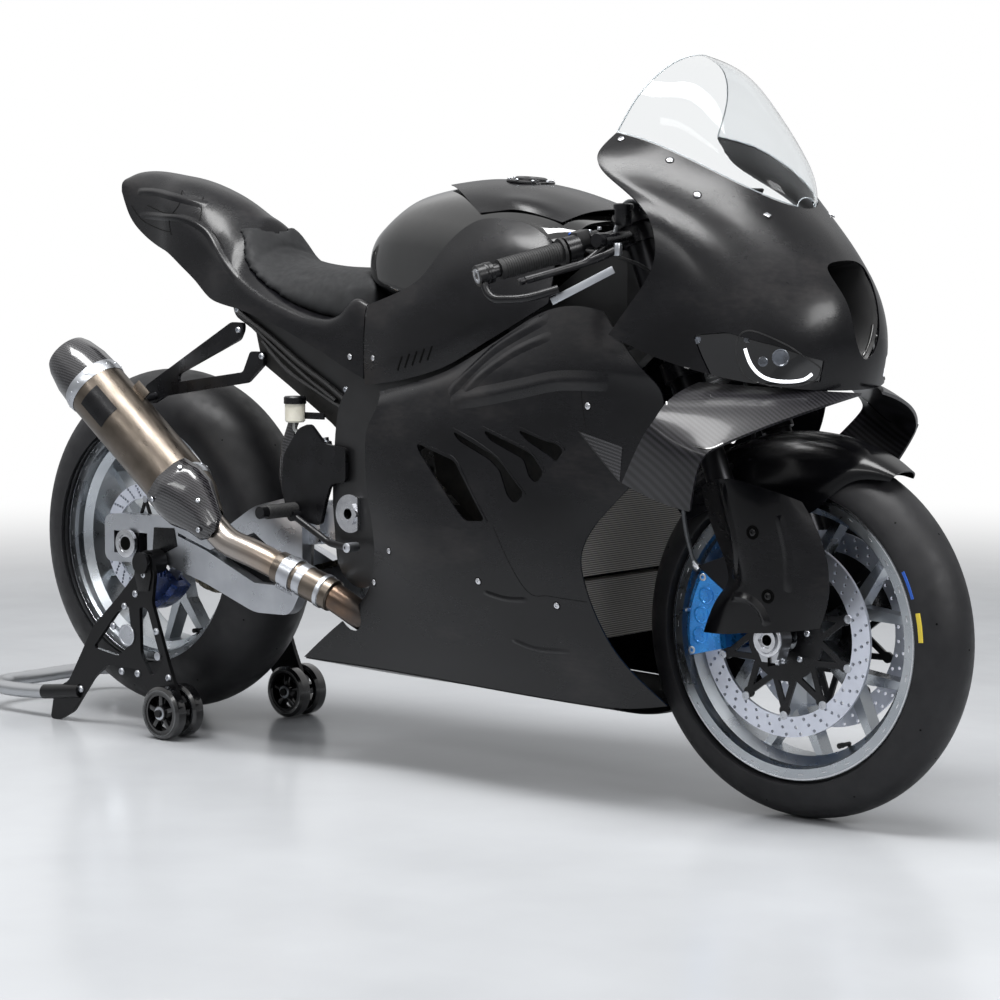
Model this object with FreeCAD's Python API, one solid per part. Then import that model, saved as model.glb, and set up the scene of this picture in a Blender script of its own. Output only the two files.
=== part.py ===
import FreeCAD, Part
import math
import os

# Sport bike held on a paddock stand, built from separate named pieces.
# Millimetres, +X forward, +Y left, +Z up, floor at z = 0.
# Tables of shares are shares of the wheelbase unless their comment says otherwise.

V = FreeCAD.Vector

# Overall sizes
wheelbase = 1457.0
rake_deg = 22.6
fork_offset = 27.8
steer_range_deg = 22.0
stand_lift = 25.0
seat_fit = 0.3
running_gap = 0.6
moving_gap = 5.0
overrun = 5.0
cord_radius = 3.6

# Wheels and tyres
front_tyre_r = 298.0
front_tyre_width = 120.0
rear_tyre_r = 325.0
rear_tyre_width = 190.0
rim_seat_r = 216.0
rim_flange_height = 15.0
front_rim_width = 100.0
rear_rim_width = 150.0
rim_wall = 6.0
tyre_wall = 9.0
tyre_side_steps = 4
tyre_crown_steps = 8
hub_r = 33.0
front_hub_width = 96.0
rear_hub_width = 150.0
spoke_pairs = 6
spoke_width = 13.0
spoke_depth = 30.0
spoke_fork_r = 118.0
spoke_half_angle_deg = 15.0
front_spoke_phase_deg = 25.5
rear_spoke_phase_deg = -21.0

# Brakes
disc_room = 56.0
front_disc_r = rim_seat_r - disc_room
front_disc_band = 33.0
front_disc_thick = 5.5
front_disc_y = 62.0
rear_disc_r = 110.0
rear_disc_band = 28.0
rear_disc_thick = 4.5
rear_disc_y = 84.0
carrier_thick = 5.0
caliper_slot = 15.5
caliper_reach = 26.0

# Fork and steering
fork_half_spacing = 100.0
fork_lower_r = 21.5
fork_upper_r = 27.5
fork_lower_len = 345.0
fork_top_len = 738.0
fork_foot_r = 27.0
front_axle_r = 12.5
front_axle_half = 114.0
axle_head_r = 19.0
axle_head = 7.0
hex_size = 15.5
axle_bore_r = 9.0
upper_clamp_drop = 24.0
clip_on_drop = 56.0
stem_r = 15.0
head_tube_r = 33.0
head_bore_r = stem_r + running_gap
clamp_thick = 26.0
clip_on_r = 11.0
grip_r = 16.5
bar_end_r = 17.0

# Frame, engine, swingarm
frame_inner = 122.0
frame_outer = 146.0
head_inner = 24.0
head_outer = 52.0
engine_half_width = 165.0
engine_head_half_width = 88.0
pivot_bore_r = 9.5
pivot_bolt_r = 16.0
pivot_half_width = 160.0
pivot_inner = 93.0
axle_slot_half = 21.0
axle_slot_reach = 46.0
arm_inner = 101.0
arm_outer = 124.0
left_arm_inner = 124.0
left_arm_outer = 148.0
rear_axle_r = 15.0
spool_r = 12.0
spool_waist_r = 9.6
gearbox_nose_r = 34.0

# Chain
chain_y = 110.0
chain_pitch = 15.875
chain_plate = 3.0
chain_half_width = 8.5
chain_plate_height = 14.0
chain_roller_r = 5.0
rear_sprocket_r = 112.0
front_sprocket_r = 41.0
sprocket_thick = 5.2

# Bodywork
skin_wall = 3.0
screen_wall = 3.0
winglet_thick = 5.0
fender_gap = 14.5
fender_wall = 2.5

# Exhaust
peg_length = 88.0
pipe_r = 25.0
pipe_wall = 1.5
muffler_r = 45.0

stay_half = 22.0
mount_r = 7.0
engine_bolt_r = 10.0

# Stand
stand_plate = 8.0
stand_plate_y = 160.0
stand_tube_r = 14.0
stand_roller_r = 50.0
stand_roller_width = 26.0
roller_axle_r = 7.0

front_axle_z = front_tyre_r
rear_axle_z = rear_tyre_r + stand_lift
front_axle = V(wheelbase, 0, front_axle_z)
rear_axle = V(0, 0, rear_axle_z)
rake = math.radians(rake_deg)
steer_dir = V(-math.sin(rake), 0, math.cos(rake))
ahead_dir = V(math.cos(rake), 0, math.sin(rake))
steer_base = front_axle - ahead_dir * fork_offset
side_dir = V(0, 1, 0)


def place(point_share):
    """A point given in shares of the wheelbase."""
    return V(point_share[0], point_share[1], point_share[2]) * wheelbase


def flat(point_share, y):
    """A point of a side outline, in shares of the wheelbase, at a width y."""
    return V(point_share[0] * wheelbase, y, point_share[1] * wheelbase)


def mirrored(shape):
    """The shape's twin on the other side of the bike."""
    return shape.mirror(V(0, 0, 0), side_dir)


def both(shape):
    """The shape and its twin as one compound."""
    return Part.makeCompound([shape, mirrored(shape)])


def rounded_path(points, reach, closed=False):
    """Straight runs joined by tangent arcs; reach is the longest cut-back at a corner."""
    count = len(points)
    edges = []
    last = None
    first = None
    for i in range(count):
        here = points[i]
        if not closed and i in (0, count - 1):
            if last is not None and last.distanceToPoint(here) > running_gap / 100:
                edges.append(Part.LineSegment(last, here).toShape())
            last = here
            continue
        before, after = points[i - 1] - here, points[(i + 1) % count] - here
        cut = min(reach, 0.45 * min(before.Length, after.Length))
        into = here + before.normalize() * cut
        out = here + after.normalize() * cut
        if last is not None:
            edges.append(Part.LineSegment(last, into).toShape())
        else:
            first = into
        turn = math.pi - before.getAngle(after)
        if turn < 0.01:
            edges.append(Part.LineSegment(into, out).toShape())
        else:
            middle = (into + out) * 0.5
            bulge = math.tan(turn / 4) * into.distanceToPoint(out) / 2
            knee = (here - middle).normalize() * bulge
            edges.append(Part.Arc(into, middle + knee, out).toShape())
        last = out
    if closed:
        edges.append(Part.LineSegment(last, first).toShape())
    return Part.Wire(edges)


def tube(points, radius, reach=None, bore=0.0):
    """A round tube along a route of straight runs joined by arcs."""
    spine = rounded_path(points, reach if reach else wheelbase)
    start = points[0]
    run = points[1] - points[0]
    solid = spine.makePipeShell([Part.Wire(Part.makeCircle(radius, start, run))], True, False)
    if bore:
        core = spine.makePipeShell([Part.Wire(Part.makeCircle(bore, start, run))], True, False)
        solid = solid.cut(core)
    return solid


def rod(start, end, radius):
    """A round bar between two points."""
    return Part.makeCylinder(radius, start.distanceToPoint(end), start, end - start)


def prism(points, y_low, y_high, corner=0.0):
    """A plate: a side outline given as vectors, between two widths."""
    base = [V(p.x, y_low, p.z) for p in points]
    if corner:
        wire = rounded_path(base, corner, closed=True)
    else:
        wire = Part.makePolygon(base + [base[0]])
    return Part.Face(wire).extrude(V(0, y_high - y_low, 0))


def plate(outline_shares, y_low, y_high, corner=0.0):
    """A plate whose side outline is in shares of the wheelbase."""
    return prism([flat(p, y_low) for p in outline_shares], y_low, y_high, corner)


def ring(centre, outer, inner, y_low, y_high):
    """A flat ring around an axis that runs across the bike."""
    base = V(centre.x, y_low, centre.z)
    depth = y_high - y_low
    body = Part.makeCylinder(outer, depth, base, side_dir)
    return body.cut(Part.makeCylinder(inner, depth, base, side_dir)) if inner else body


def spun(profile, centre):
    """A wheel piece: a closed profile of (radius, width) pairs turned about an axle."""
    points = [centre + V(r, y, 0) for r, y in profile]
    face = Part.Face(Part.makePolygon(points + [points[0]]))
    return face.revolve(centre, side_dir, 360)


def biggest(shape):
    """The largest solid of a cut shape."""
    return max(shape.Solids, key=lambda solid: solid.Volume)


def mount_to(start, end, radius, skin):
    """A round mount from a start point out to a skin, which it meets face to face."""
    pieces = rod(start, end, radius).cut(skin).Solids
    return min(pieces, key=lambda piece: piece.distToShape(Part.Vertex(start))[0])


def fused(shapes):
    """All the shapes as one clean solid."""
    first = shapes[0]
    rest = shapes[1:]
    return first.fuse(rest).removeSplitter() if rest else first


def eased(points, steps):
    """More points along a line, on a curve that never overshoots them."""
    marks = [0.0]
    for a, b in zip(points, points[1:]):
        marks.append(marks[-1] + max(a.distanceToPoint(b), running_gap / 10))
    gaps = [b - a for a, b in zip(marks, marks[1:])]
    rates = [(b - a) * (1 / g) for a, b, g in zip(points, points[1:], gaps)]
    slopes = [rates[0]]
    for k in range(1, len(rates)):
        left, right = rates[k - 1], rates[k]
        w1, w2 = 2 * gaps[k] + gaps[k - 1], gaps[k] + 2 * gaps[k - 1]
        slopes.append(V(*[(w1 + w2) / (w1 / l + w2 / r) if l * r > 0 else 0.0
                          for l, r in zip(left, right)]))
    slopes.append(rates[-1])
    line = [points[0]]
    for k, gap in enumerate(gaps):
        a, b = points[k], points[k + 1]
        for n in range(1, steps + 1):
            t = n / steps
            h = t * t * (3 - 2 * t)
            line.append(a * (1 - h) + b * h + slopes[k] * (gap * t * (1 - t) ** 2)
                        - slopes[k + 1] * (gap * t * t * (1 - t)))
    return line


def refined(rows, steps=2):
    """A finer grid through the same points, in both directions."""
    wide = [eased(row, steps) for row in rows]
    columns = [eased(list(column), steps) for column in zip(*wide)]
    return [list(row) for row in zip(*columns)]


def net(rows):
    """A smooth surface pulled by a grid of poles."""
    surface = Part.BSplineSurface()
    marks = []
    for count in (len(rows), len(rows[0])):
        marks.append(([4] + [1] * (count - 4) + [4], [float(k) for k in range(count - 2)]))
    (mults_u, knots_u), (mults_v, knots_v) = marks
    surface.buildFromPolesMultsKnots(rows, mults_u, mults_v, knots_u, knots_v, False, False, 3, 3)
    return surface


def pole_normals(rows):
    """The grid's outward directions, from its neighbours' differences."""
    last_i, last_j = len(rows) - 1, len(rows[0]) - 1
    normals = []
    for i, row in enumerate(rows):
        line = []
        for j in range(len(row)):
            du = rows[min(i + 1, last_i)][j] - rows[max(i - 1, 0)][j]
            dv = row[min(j + 1, last_j)] - row[max(j - 1, 0)]
            line.append(du.cross(dv).normalize())
        normals.append(line)
    return normals


def joined(faces):
    """Faces sewn into one solid."""
    closed = Part.makeShell(faces)
    closed.sewShape()
    solid = Part.makeSolid(closed)
    if solid.Volume < 0:
        solid.reverse()
    return solid


def shell(rows, wall, steps=2):
    """A thin panel: a smooth surface along the points, with its inner face one wall away."""
    fine = refined(rows, steps)
    normals = pole_normals(fine)
    under = [[p - n * wall for p, n in zip(row, turned)] for row, turned in zip(fine, normals)]
    outer, inner = net(fine), net(under)
    faces = [outer.toShape(), inner.toShape()]
    a = outer.bounds()
    for k in (0, 1):
        faces.append(Part.makeRuledSurface(outer.uIso(a[k]).toShape(), inner.uIso(a[k]).toShape()))
        faces.append(Part.makeRuledSurface(outer.vIso(a[2 + k]).toShape(),
                                           inner.vIso(a[2 + k]).toShape()))
    return joined(faces)


def hull(rows, steps=2):
    """A closed body: a smooth surface over the top, flat ends and a ruled underside."""
    skin = net(refined(rows, steps))
    a = skin.bounds()
    right, left = skin.vIso(a[2]).toShape(), skin.vIso(a[3]).toShape()
    faces = [skin.toShape(), Part.makeRuledSurface(right, left)]
    for k in (0, 1):
        curve = skin.uIso(a[k])
        edge = curve.toShape()
        line = Part.LineSegment(curve.value(a[2]), curve.value(a[3])).toShape()
        faces.append(Part.Face(Part.Wire([edge, line])))
    return joined(faces)


# Wheels

def tyre_outline(radius, width, rim_width, inset):
    """Half of a tyre's section, from the rim seat over the side to the crown, one inset inside."""
    foot = rim_width / 2 - rim_wall - seat_fit - inset
    lip = rim_seat_r + rim_flange_height + rim_wall * 0.7
    shoulder_r = width / 2 - inset
    bend = radius - width / 2
    points = [(rim_seat_r + seat_fit, foot), (lip, foot)]
    steps = tyre_side_steps if inset == 0.0 else 2
    for k in range(1, steps + 1):
        t = k / steps
        points.append((lip + (bend - lip) * t, foot + (shoulder_r - foot) * math.sin(math.pi / 2 * t)))
    steps = tyre_crown_steps if inset == 0.0 else 4
    for k in range(1, steps + 1):
        a = math.pi / 2 * k / steps
        points.append((bend + shoulder_r * math.sin(a), shoulder_r * math.cos(a)))
    return points


def tyre(centre, radius, width, rim_width):
    """A slick tyre: round crown, bulging sides, open towards the rim."""
    outer, inner = (tyre_outline(radius, width, rim_width, inset) for inset in (0.0, tyre_wall))
    run = outer + [(r, -y) for r, y in outer[-2::-1]] + [(r, -y) for r, y in inner] + inner[-2::-1]
    return spun(run, centre)


def rim_barrel(centre, rim_width):
    """The rim's hoop: outer flanges, tyre seats and the drop centre."""
    half = rim_width / 2
    flange = rim_seat_r + rim_flange_height
    well = rim_seat_r - 2.4 * rim_wall
    side = [(flange, half), (flange, half - rim_wall), (rim_seat_r, half - rim_wall),
            (rim_seat_r, half - 3.6 * rim_wall), (well, half - 5.4 * rim_wall)]
    under = [(well - rim_wall, half - 5.2 * rim_wall), (rim_seat_r - rim_wall, half - 3.2 * rim_wall),
             (rim_seat_r - rim_wall, half - rim_wall), (rim_seat_r - rim_wall / 2, half)]
    outline = side + [(r, -y) for r, y in side[::-1]] + [(r, -y) for r, y in under[::-1]] + under
    return spun(outline, centre)


def spokes(centre, phase_deg, fork_r, depth):
    """Forked spokes between hub and hoop, each a stem that splits in two arms."""
    end_r = rim_seat_r - 2.9 * rim_wall
    half = math.radians(spoke_half_angle_deg)
    w = spoke_width / 2
    pieces = []
    for k in range(spoke_pairs):
        mid = math.radians(phase_deg + 360 / spoke_pairs * k)

        def at(r, angle, side):
            out = V(math.cos(mid + angle), 0, math.sin(mid + angle))
            across = V(-out.z, 0, out.x)
            return centre + out * r + across * side
        for turn in (half, -half):
            lean = 1 if turn > 0 else -1
            arm = [at(hub_r * 0.9, 0, lean * w * 1.5), at(hub_r * 0.9, 0, -lean * w * 0.3),
                   at(fork_r, 0, -lean * w * 0.4), at(end_r, turn, -lean * w), at(end_r, turn, lean * w),
                   at(fork_r, turn * 0.42, lean * w)]
            pieces.append(prism(arm, -depth / 2, depth / 2))
    return pieces


def rim(centre, rim_width, hub_width, phase_deg, axle_r):
    """A forged rim: hoop, forked spokes and a bored hub."""
    hub = ring(centre, hub_r, 0, -hub_width / 2, hub_width / 2)
    solid = fused([rim_barrel(centre, rim_width), hub]
                  + spokes(centre, phase_deg, spoke_fork_r, spoke_depth))
    bore = ring(centre, axle_r + running_gap, 0, -hub_width, hub_width)
    return solid.cut(bore)


def carrier(centre, y, outer, thick, arms, hub_width):
    """A spider that joins a brake disc to the hub, with its collar."""
    inner = hub_r * 0.72
    side = 1 if y > 0 else -1
    eye = outer * 0.055
    parts = [ring(centre, outer * 0.56, 0, y - thick / 2, y + thick / 2)]
    for k in range(arms):
        a = 2 * math.pi * (k + 0.5) / arms
        spread = math.pi / arms
        mid = centre + V(math.cos(a), 0, math.sin(a)) * (outer - eye * 1.3)
        for turn in (-spread, spread):
            foot = centre + V(math.cos(a + turn), 0, math.sin(a + turn)) * outer * 0.5
            across = (mid - foot).cross(side_dir).normalize() * eye * 0.7
            parts.append(prism([foot - across, foot + across, mid + across, mid - across],
                               y - thick / 2, y + thick / 2))
        parts.append(ring(mid, eye * 1.3, 0, y - thick / 2, y + thick / 2))
    face = side * hub_width / 2
    low, high = sorted((face + side * seat_fit, y))
    parts.append(ring(centre, hub_r * 0.95, 0, low, high))
    return fused(parts).cut(ring(centre, inner, 0, y - hub_width, y + hub_width))


def front_wheel():
    """The front wheel's pieces: tyre, rim, two discs and their carriers."""
    discs = [ring(front_axle, front_disc_r, front_disc_r - front_disc_band,
                  s * front_disc_y - front_disc_thick / 2, s * front_disc_y + front_disc_thick / 2)
             for s in (-1, 1)]
    outer = front_disc_r - front_disc_band - seat_fit
    hubs = [carrier(front_axle, s * front_disc_y, outer, carrier_thick, 10, front_hub_width)
            for s in (-1, 1)]
    return {
        "front_tyre": tyre(front_axle, front_tyre_r, front_tyre_width, front_rim_width),
        "front_rim": rim(front_axle, front_rim_width, front_hub_width, front_spoke_phase_deg,
                         front_axle_r),
        "front_discs": Part.makeCompound(discs),
        "front_disc_carriers": Part.makeCompound(hubs),
    }


def sprocket(centre):
    """The rear sprocket: a toothed ring cut out inside, with its collar to the hub."""
    low, high = chain_y - sprocket_thick / 2, chain_y + sprocket_thick / 2
    teeth = int(round(2 * math.pi * rear_sprocket_r / chain_pitch))
    tip, root = rear_sprocket_r + chain_roller_r * 0.6, rear_sprocket_r - chain_roller_r * 0.8
    points = []
    for k in range(teeth):
        for r, turn_share in ((root, -0.22), (root, 0.22), (tip, 0.42), (tip, 0.58)):
            a = 2 * math.pi * (k + turn_share) / teeth
            points.append(centre + V(math.cos(a), 0, math.sin(a)) * r)
    wheel = prism(points, low, high)
    window_r = rear_sprocket_r * 0.13
    for k in range(12):
        a = 2 * math.pi * k / 12
        spot = centre + V(math.cos(a), 0, math.sin(a)) * rear_sprocket_r * 0.78
        wheel = wheel.cut(ring(spot, window_r, 0, low - overrun, high + overrun))
    start = rear_hub_width / 2 + seat_fit
    collar = ring(centre, hub_r * 1.3, 0, start, high)
    return wheel.fuse(collar).cut(ring(centre, rear_axle_r + running_gap, 0, 0, high + overrun))


def rear_wheel():
    """The rear wheel's pieces: tyre, rim, disc and sprocket."""
    disc = ring(rear_axle, rear_disc_r, rear_disc_r - rear_disc_band,
                -rear_disc_y - rear_disc_thick / 2, -rear_disc_y + rear_disc_thick / 2)
    spider = carrier(rear_axle, -rear_disc_y, rear_disc_r - rear_disc_band + running_gap / 2,
                     rear_disc_thick, 6, rear_hub_width)
    return {
        "rear_tyre": tyre(rear_axle, rear_tyre_r, rear_tyre_width, rear_rim_width),
        "rear_rim": rim(rear_axle, rear_rim_width, rear_hub_width, rear_spoke_phase_deg, rear_axle_r),
        "rear_disc": fused([disc, spider]),
        "rear_sprocket": sprocket(rear_axle),
    }


# Fork and steering

def leg_point(side, up):
    """A point on a fork leg's line, at a distance up from the axle."""
    return front_axle + steer_dir * up + V(0, side * fork_half_spacing, 0)


caliper_angles_deg = (146.0, 194.0)
caliper_chamfer = 18.0
caliper_lug_ups = (150.0, 60.0)
caliper_lug_thick = 19.0


def caliper_radii():
    """Inner and outer radius of the front calipers about the axle."""
    return front_disc_r - front_disc_band * 1.45, front_disc_r + caliper_reach


def around_front(angle_deg, radius):
    """A point around the front axle, the angle counted from straight ahead."""
    a = math.radians(angle_deg)
    return front_axle + V(math.cos(a), 0, math.sin(a)) * radius


def fork_legs():
    """Both fork legs: foot lugs, lower tubes and the wider upper tubes."""
    legs = []
    for side in (-1, 1):
        low, knee, top = leg_point(side, 0), leg_point(side, fork_lower_len), leg_point(side, fork_top_len)
        end = low + V(0, side * (front_axle_half - fork_half_spacing - overrun / 2), 0)
        start = low - V(0, side * overrun * 3.2, 0)
        foot = rod(start, end, fork_foot_r)
        block = prism([low + V(-fork_foot_r * 0.4, 0, -fork_foot_r * 1.3),
                       low + V(fork_foot_r * 0.6, 0, -fork_foot_r * 1.3),
                       low + V(fork_foot_r, 0, 0), low + V(-fork_foot_r, 0, 0)],
                      *sorted((start.y, end.y)))
        lug = prism([leg_point(side, caliper_lug_ups[0]), leg_point(side, caliper_lug_ups[1])]
                    + [around_front(caliper_angles_deg[0], r) for r in caliper_radii()],
                    *sorted((side * (front_disc_y + caliper_slot / 2 + running_gap),
                             side * (front_disc_y + caliper_slot / 2 + caliper_lug_thick))))
        leg = fused([rod(low, knee, fork_lower_r), rod(knee - steer_dir * overrun, top, fork_upper_r),
                     foot, block, lug])
        leg = leg.cut(ring(front_axle, front_axle_r + seat_fit, 0, -frame_outer, frame_outer))
        legs.append(leg.cut(ring(front_axle, axle_head_r + seat_fit, 0, -frame_outer,
                                 -front_axle_half + overrun / 2)))
    return Part.makeCompound(legs)


def front_axle_bar():
    """The hollow front axle; its head on the right holds a hex socket."""
    body = ring(front_axle, front_axle_r, 0, -front_axle_half, front_axle_half)
    head = ring(front_axle, axle_head_r, 0, -front_axle_half - axle_head + overrun / 2,
                -front_axle_half + overrun / 2 - seat_fit)
    socket = [front_axle + V(math.cos(math.pi * k / 3), 0, math.sin(math.pi * k / 3)) * hex_size * 0.9
              for k in range(6)]
    body = fused([body, head]).cut(ring(front_axle, axle_bore_r, 0, -frame_outer * 2, frame_outer * 2))
    return body.cut(prism(socket, -front_axle_half - axle_head - overrun, -front_axle_half))


def clamp(up, thick, width_share):
    """A fork clamp: a yoke between the legs, bored for them, around the steering stem."""
    ear = fork_upper_r + clamp_thick * 0.35
    parts = []
    stem = steer_base + steer_dir * up
    for side in (-1, 1):
        eye = leg_point(side, up) - steer_dir * thick / 2
        parts.append(rod(eye, eye + steer_dir * thick, ear))
    parts.append(rod(stem - steer_dir * thick / 2, stem + steer_dir * thick / 2, head_tube_r))
    ahead = V(ahead_dir)
    a, b = leg_point(-1, up), leg_point(1, up)
    back = ahead * (-fork_offset - head_tube_r * 0.8)
    outline = [a + ahead * ear * 0.6, b + ahead * ear * 0.6, b + back * width_share,
               stem + ahead * -head_tube_r
               + V(0, head_tube_r, 0), stem + ahead * -head_tube_r - V(0, head_tube_r, 0),
               a + back * width_share]
    wire = Part.makePolygon([p - steer_dir * thick / 2 for p in outline + outline[:1]])
    parts.append(Part.Face(wire).extrude(steer_dir * thick))
    yoke = fused(parts)
    for side in (-1, 1):
        low = leg_point(side, up) - steer_dir * thick
        yoke = yoke.cut(rod(low, low + steer_dir * thick * 2, fork_upper_r + seat_fit))
    return yoke


lower_clamp_up = 455.0
upper_clamp_up = fork_top_len - upper_clamp_drop
clip_on_up = fork_top_len - clip_on_drop


def triple_clamps():
    """Lower and upper clamp, joined by the steering stem."""
    low, high = steer_base + steer_dir * lower_clamp_up, steer_base + steer_dir * upper_clamp_up
    stem = rod(low, high + steer_dir * clamp_thick, stem_r)
    nut = rod(high, high + steer_dir * clamp_thick * 0.9, stem_r * 1.4)
    return fused([clamp(lower_clamp_up, clamp_thick * 1.2, 0.5), clamp(upper_clamp_up, clamp_thick, 0.5),
                  stem, nut])


bar_root_share = (0.8203, 0.1180, 0.6370)
bar_tip_share = (0.7543, 0.2471, 0.5998)


def bar_point(side, along):
    """A point on a clip-on bar's line, from its root towards its end."""
    root, tip = place(bar_root_share), place(bar_tip_share)
    p = root + (tip - root) * along
    return V(p.x, side * p.y, p.z)


def clip_ons():
    """Both clip-on bars with their clamps around the fork tops."""
    parts = []
    for side in (-1, 1):
        eye = leg_point(side, clip_on_up)
        half = steer_dir * clamp_thick * 0.45
        ring_out = rod(eye - half, eye + half, fork_upper_r + 7 * running_gap)
        bar = rod(bar_point(side, 0), bar_point(side, 1), clip_on_r)
        neck = rod(eye, bar_point(side, 0.06), clip_on_r)
        joined = fused([ring_out, neck, bar])
        parts.append(joined.cut(rod(eye - half * 2, eye + half * 2, fork_upper_r + seat_fit)))
    return Part.makeCompound(parts)


def grips():
    """Ribbed grips, throttle housing and left switch housing around the bars."""
    parts = []
    for side in (-1, 1):
        a, b = bar_point(side, 0.42), bar_point(side, 0.94)
        run = (b - a).normalize()
        sleeve = fused([rod(a, b, grip_r), rod(a, a + run * grip_r * 0.3, grip_r * 1.35)])
        bar = rod(bar_point(side, 0), bar_point(side, 1), clip_on_r + seat_fit)
        parts.append(sleeve.cut(bar))
    return Part.makeCompound(parts)


def controls():
    """Throttle and switch housings and both lever brackets with their cylinders and levers."""
    parts = []
    for side in (-1, 1):
        a, b = bar_point(side, 0.30), bar_point(side, 0.40)
        house = rod(a, b, grip_r * 1.3)
        c, d = bar_point(side, 0.13), bar_point(side, 0.20)
        collar = rod(c, d, grip_r * 1.15)
        ahead = V(grip_r * 2.2, 0, 0)
        arm = rod(c, c + ahead, clip_on_r * 0.8)
        barrel = rod(c + ahead + V(0, side * -grip_r * 1.8, grip_r * 0.4),
                     c + ahead + V(0, side * grip_r * 2.2, 0), clip_on_r)
        lever = tube([c + ahead + V(0, side * grip_r * 2, -grip_r * 0.5),
                      bar_point(side, 0.45) + V(grip_r * 3.2, 0, -grip_r * 0.9),
                      bar_point(side, 0.93) + V(grip_r * 3.4, 0, -grip_r * 0.9)], clip_on_r * 0.45,
                     grip_r)
        joined = fused([collar, arm, barrel, lever])
        bar = rod(bar_point(side, 0), bar_point(side, 1), clip_on_r + seat_fit)
        parts += [house.cut(bar), joined.cut(bar)]
    return Part.makeCompound(parts)


def lever_guards():
    """Bar-end guards that curl forward in front of the levers."""
    parts = []
    for side in (-1, 1):
        end = bar_point(side, 1.0)
        run = (bar_point(side, 1.0) - bar_point(side, 0.9)).normalize()
        weight = rod(end + run * seat_fit, end + run * bar_end_r * 1.5, bar_end_r)
        mid = end + run * bar_end_r
        arm = tube([mid, mid + V(grip_r * 1.2, side * grip_r * 0.3, -grip_r * 2.3),
                    mid + V(grip_r * 5.2, side * -grip_r * 0.2, -grip_r * 2.2),
                    mid + V(grip_r * 7.4, side * -grip_r * 2.4, -grip_r * 1.3)],
                   clip_on_r * 0.62, grip_r * 1.4)
        parts.append(fused([weight, arm]))
    return Part.makeCompound(parts)


def front_fender():
    """The thin front fender, wrapped over the tyre, with pointed nose and side skirts."""
    top = front_tyre_r + fender_gap
    half = front_tyre_width / 2 + moving_gap + 2 * fender_wall
    angles_deg = (56, 62, 67, 73, 80, 90, 102, 114, 126, 138)
    drop_shares = (0.05, 0.10, 0.18, 0.34, 0.42, 0.42, 0.38, 0.32, 0.27, 0.22)
    width_shares = (0.45, 0.66, 0.80, 0.92, 0.97, 1.0, 1.0, 1.0, 1.0, 0.96)
    rows = []
    for angle, drop, wide in zip(angles_deg, drop_shares, width_shares):
        a = math.radians(angle)
        out = V(math.cos(a), 0, math.sin(a))
        cross = ((0.0, 0.0), (0.42, 0.035), (0.78, 0.28), (0.97, 0.62), (1.0, 1.0))
        line = []
        for w, d in cross:
            r = top + 4 * fender_wall - d * drop * front_tyre_r
            line.append(front_axle + out * r + V(0, w * wide * half, 0))
        rows.append([V(p.x, -p.y, p.z) for p in line[:0:-1]] + line)
    return shell(rows, fender_wall)


cover_share = (
    ((0.9115, 0.0796, 0.3651), (0.9327, 0.0899, 0.3747), (0.9499, 0.0981, 0.3775),
     (0.9671, 0.0981, 0.3789), (1.0103, 0.0933, 0.3686),
     (1.0323, 0.0920, 0.3644), (1.0474, 0.0830, 0.3576)),
    ((0.9279, 0.0796, 0.3191), (0.9492, 0.0899, 0.3212), (0.9664, 0.0981, 0.3233),
     (0.9842, 0.0981, 0.3246), (1.0261, 0.0940, 0.3294),
     (1.0446, 0.0927, 0.3301), (1.0666, 0.0830, 0.3308)),
    ((0.9526, 0.0796, 0.2684), (0.9698, 0.0899, 0.2704), (0.9849, 0.0988, 0.2718),
     (1.0021, 0.0988, 0.2718), (1.0329, 0.0940, 0.2793),
     (1.0577, 0.0920, 0.2848), (1.0824, 0.0830, 0.2876)),
    ((0.9348, 0.0837, 0.2437), (0.9609, 0.0975, 0.2485), (0.9849, 0.0995, 0.2526),
     (1.0048, 0.0988, 0.2539), (1.0336, 0.0947, 0.2526),
     (1.0590, 0.0927, 0.2567), (1.0830, 0.0830, 0.2574)),
    ((0.9211, 0.0858, 0.2073), (0.9581, 0.0981, 0.2093), (0.9856, 0.0995, 0.2135),
     (1.0158, 0.0975, 0.2155), (1.0336, 0.0947, 0.2183),
     (1.0528, 0.0927, 0.2210), (1.0721, 0.0837, 0.2244)),
)


def fork_covers():
    """The ridged covers over the lower fork legs."""
    return both(shell(right_side(cover_share), fender_wall))


def caliper_sector(centre, profile, start_deg, end_deg):
    """A caliper body: a closed (radius, width) profile turned about an axle between two angles."""
    a = math.radians(start_deg)
    out = V(math.cos(a), 0, math.sin(a))
    points = [centre + out * r + V(0, y, 0) for r, y in profile]
    face = Part.Face(Part.makePolygon(points + points[:1]))
    return face.revolve(centre, side_dir * -1, end_deg - start_deg)


def front_calipers():
    """Radial brake calipers behind the legs, straddling the discs."""
    parts = []
    inner, outer = caliper_radii()
    low, high = front_disc_y - caliper_reach * 1.3, front_disc_y + caliper_reach * 1.1
    for side in (-1, 1):
        profile = [(inner, low), (outer - caliper_chamfer / 2, low), (outer, low + caliper_chamfer / 2),
                   (outer, high - caliper_chamfer), (outer - caliper_chamfer, high),
                   (inner + caliper_chamfer / 3, high), (inner, high - caliper_chamfer / 3)]
        body = caliper_sector(front_axle, [(r, side * y) for r, y in profile], *caliper_angles_deg)
        slot = ring(front_axle, front_disc_r + moving_gap, 0, side * front_disc_y - caliper_slot / 2,
                    side * front_disc_y + caliper_slot / 2)
        clear = rod(leg_point(side, -fork_foot_r * 3), leg_point(side, fork_top_len),
                    fork_upper_r + seat_fit)
        parts.append(body.cut(slot).cut(clear))
    return Part.makeCompound(parts)


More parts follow.
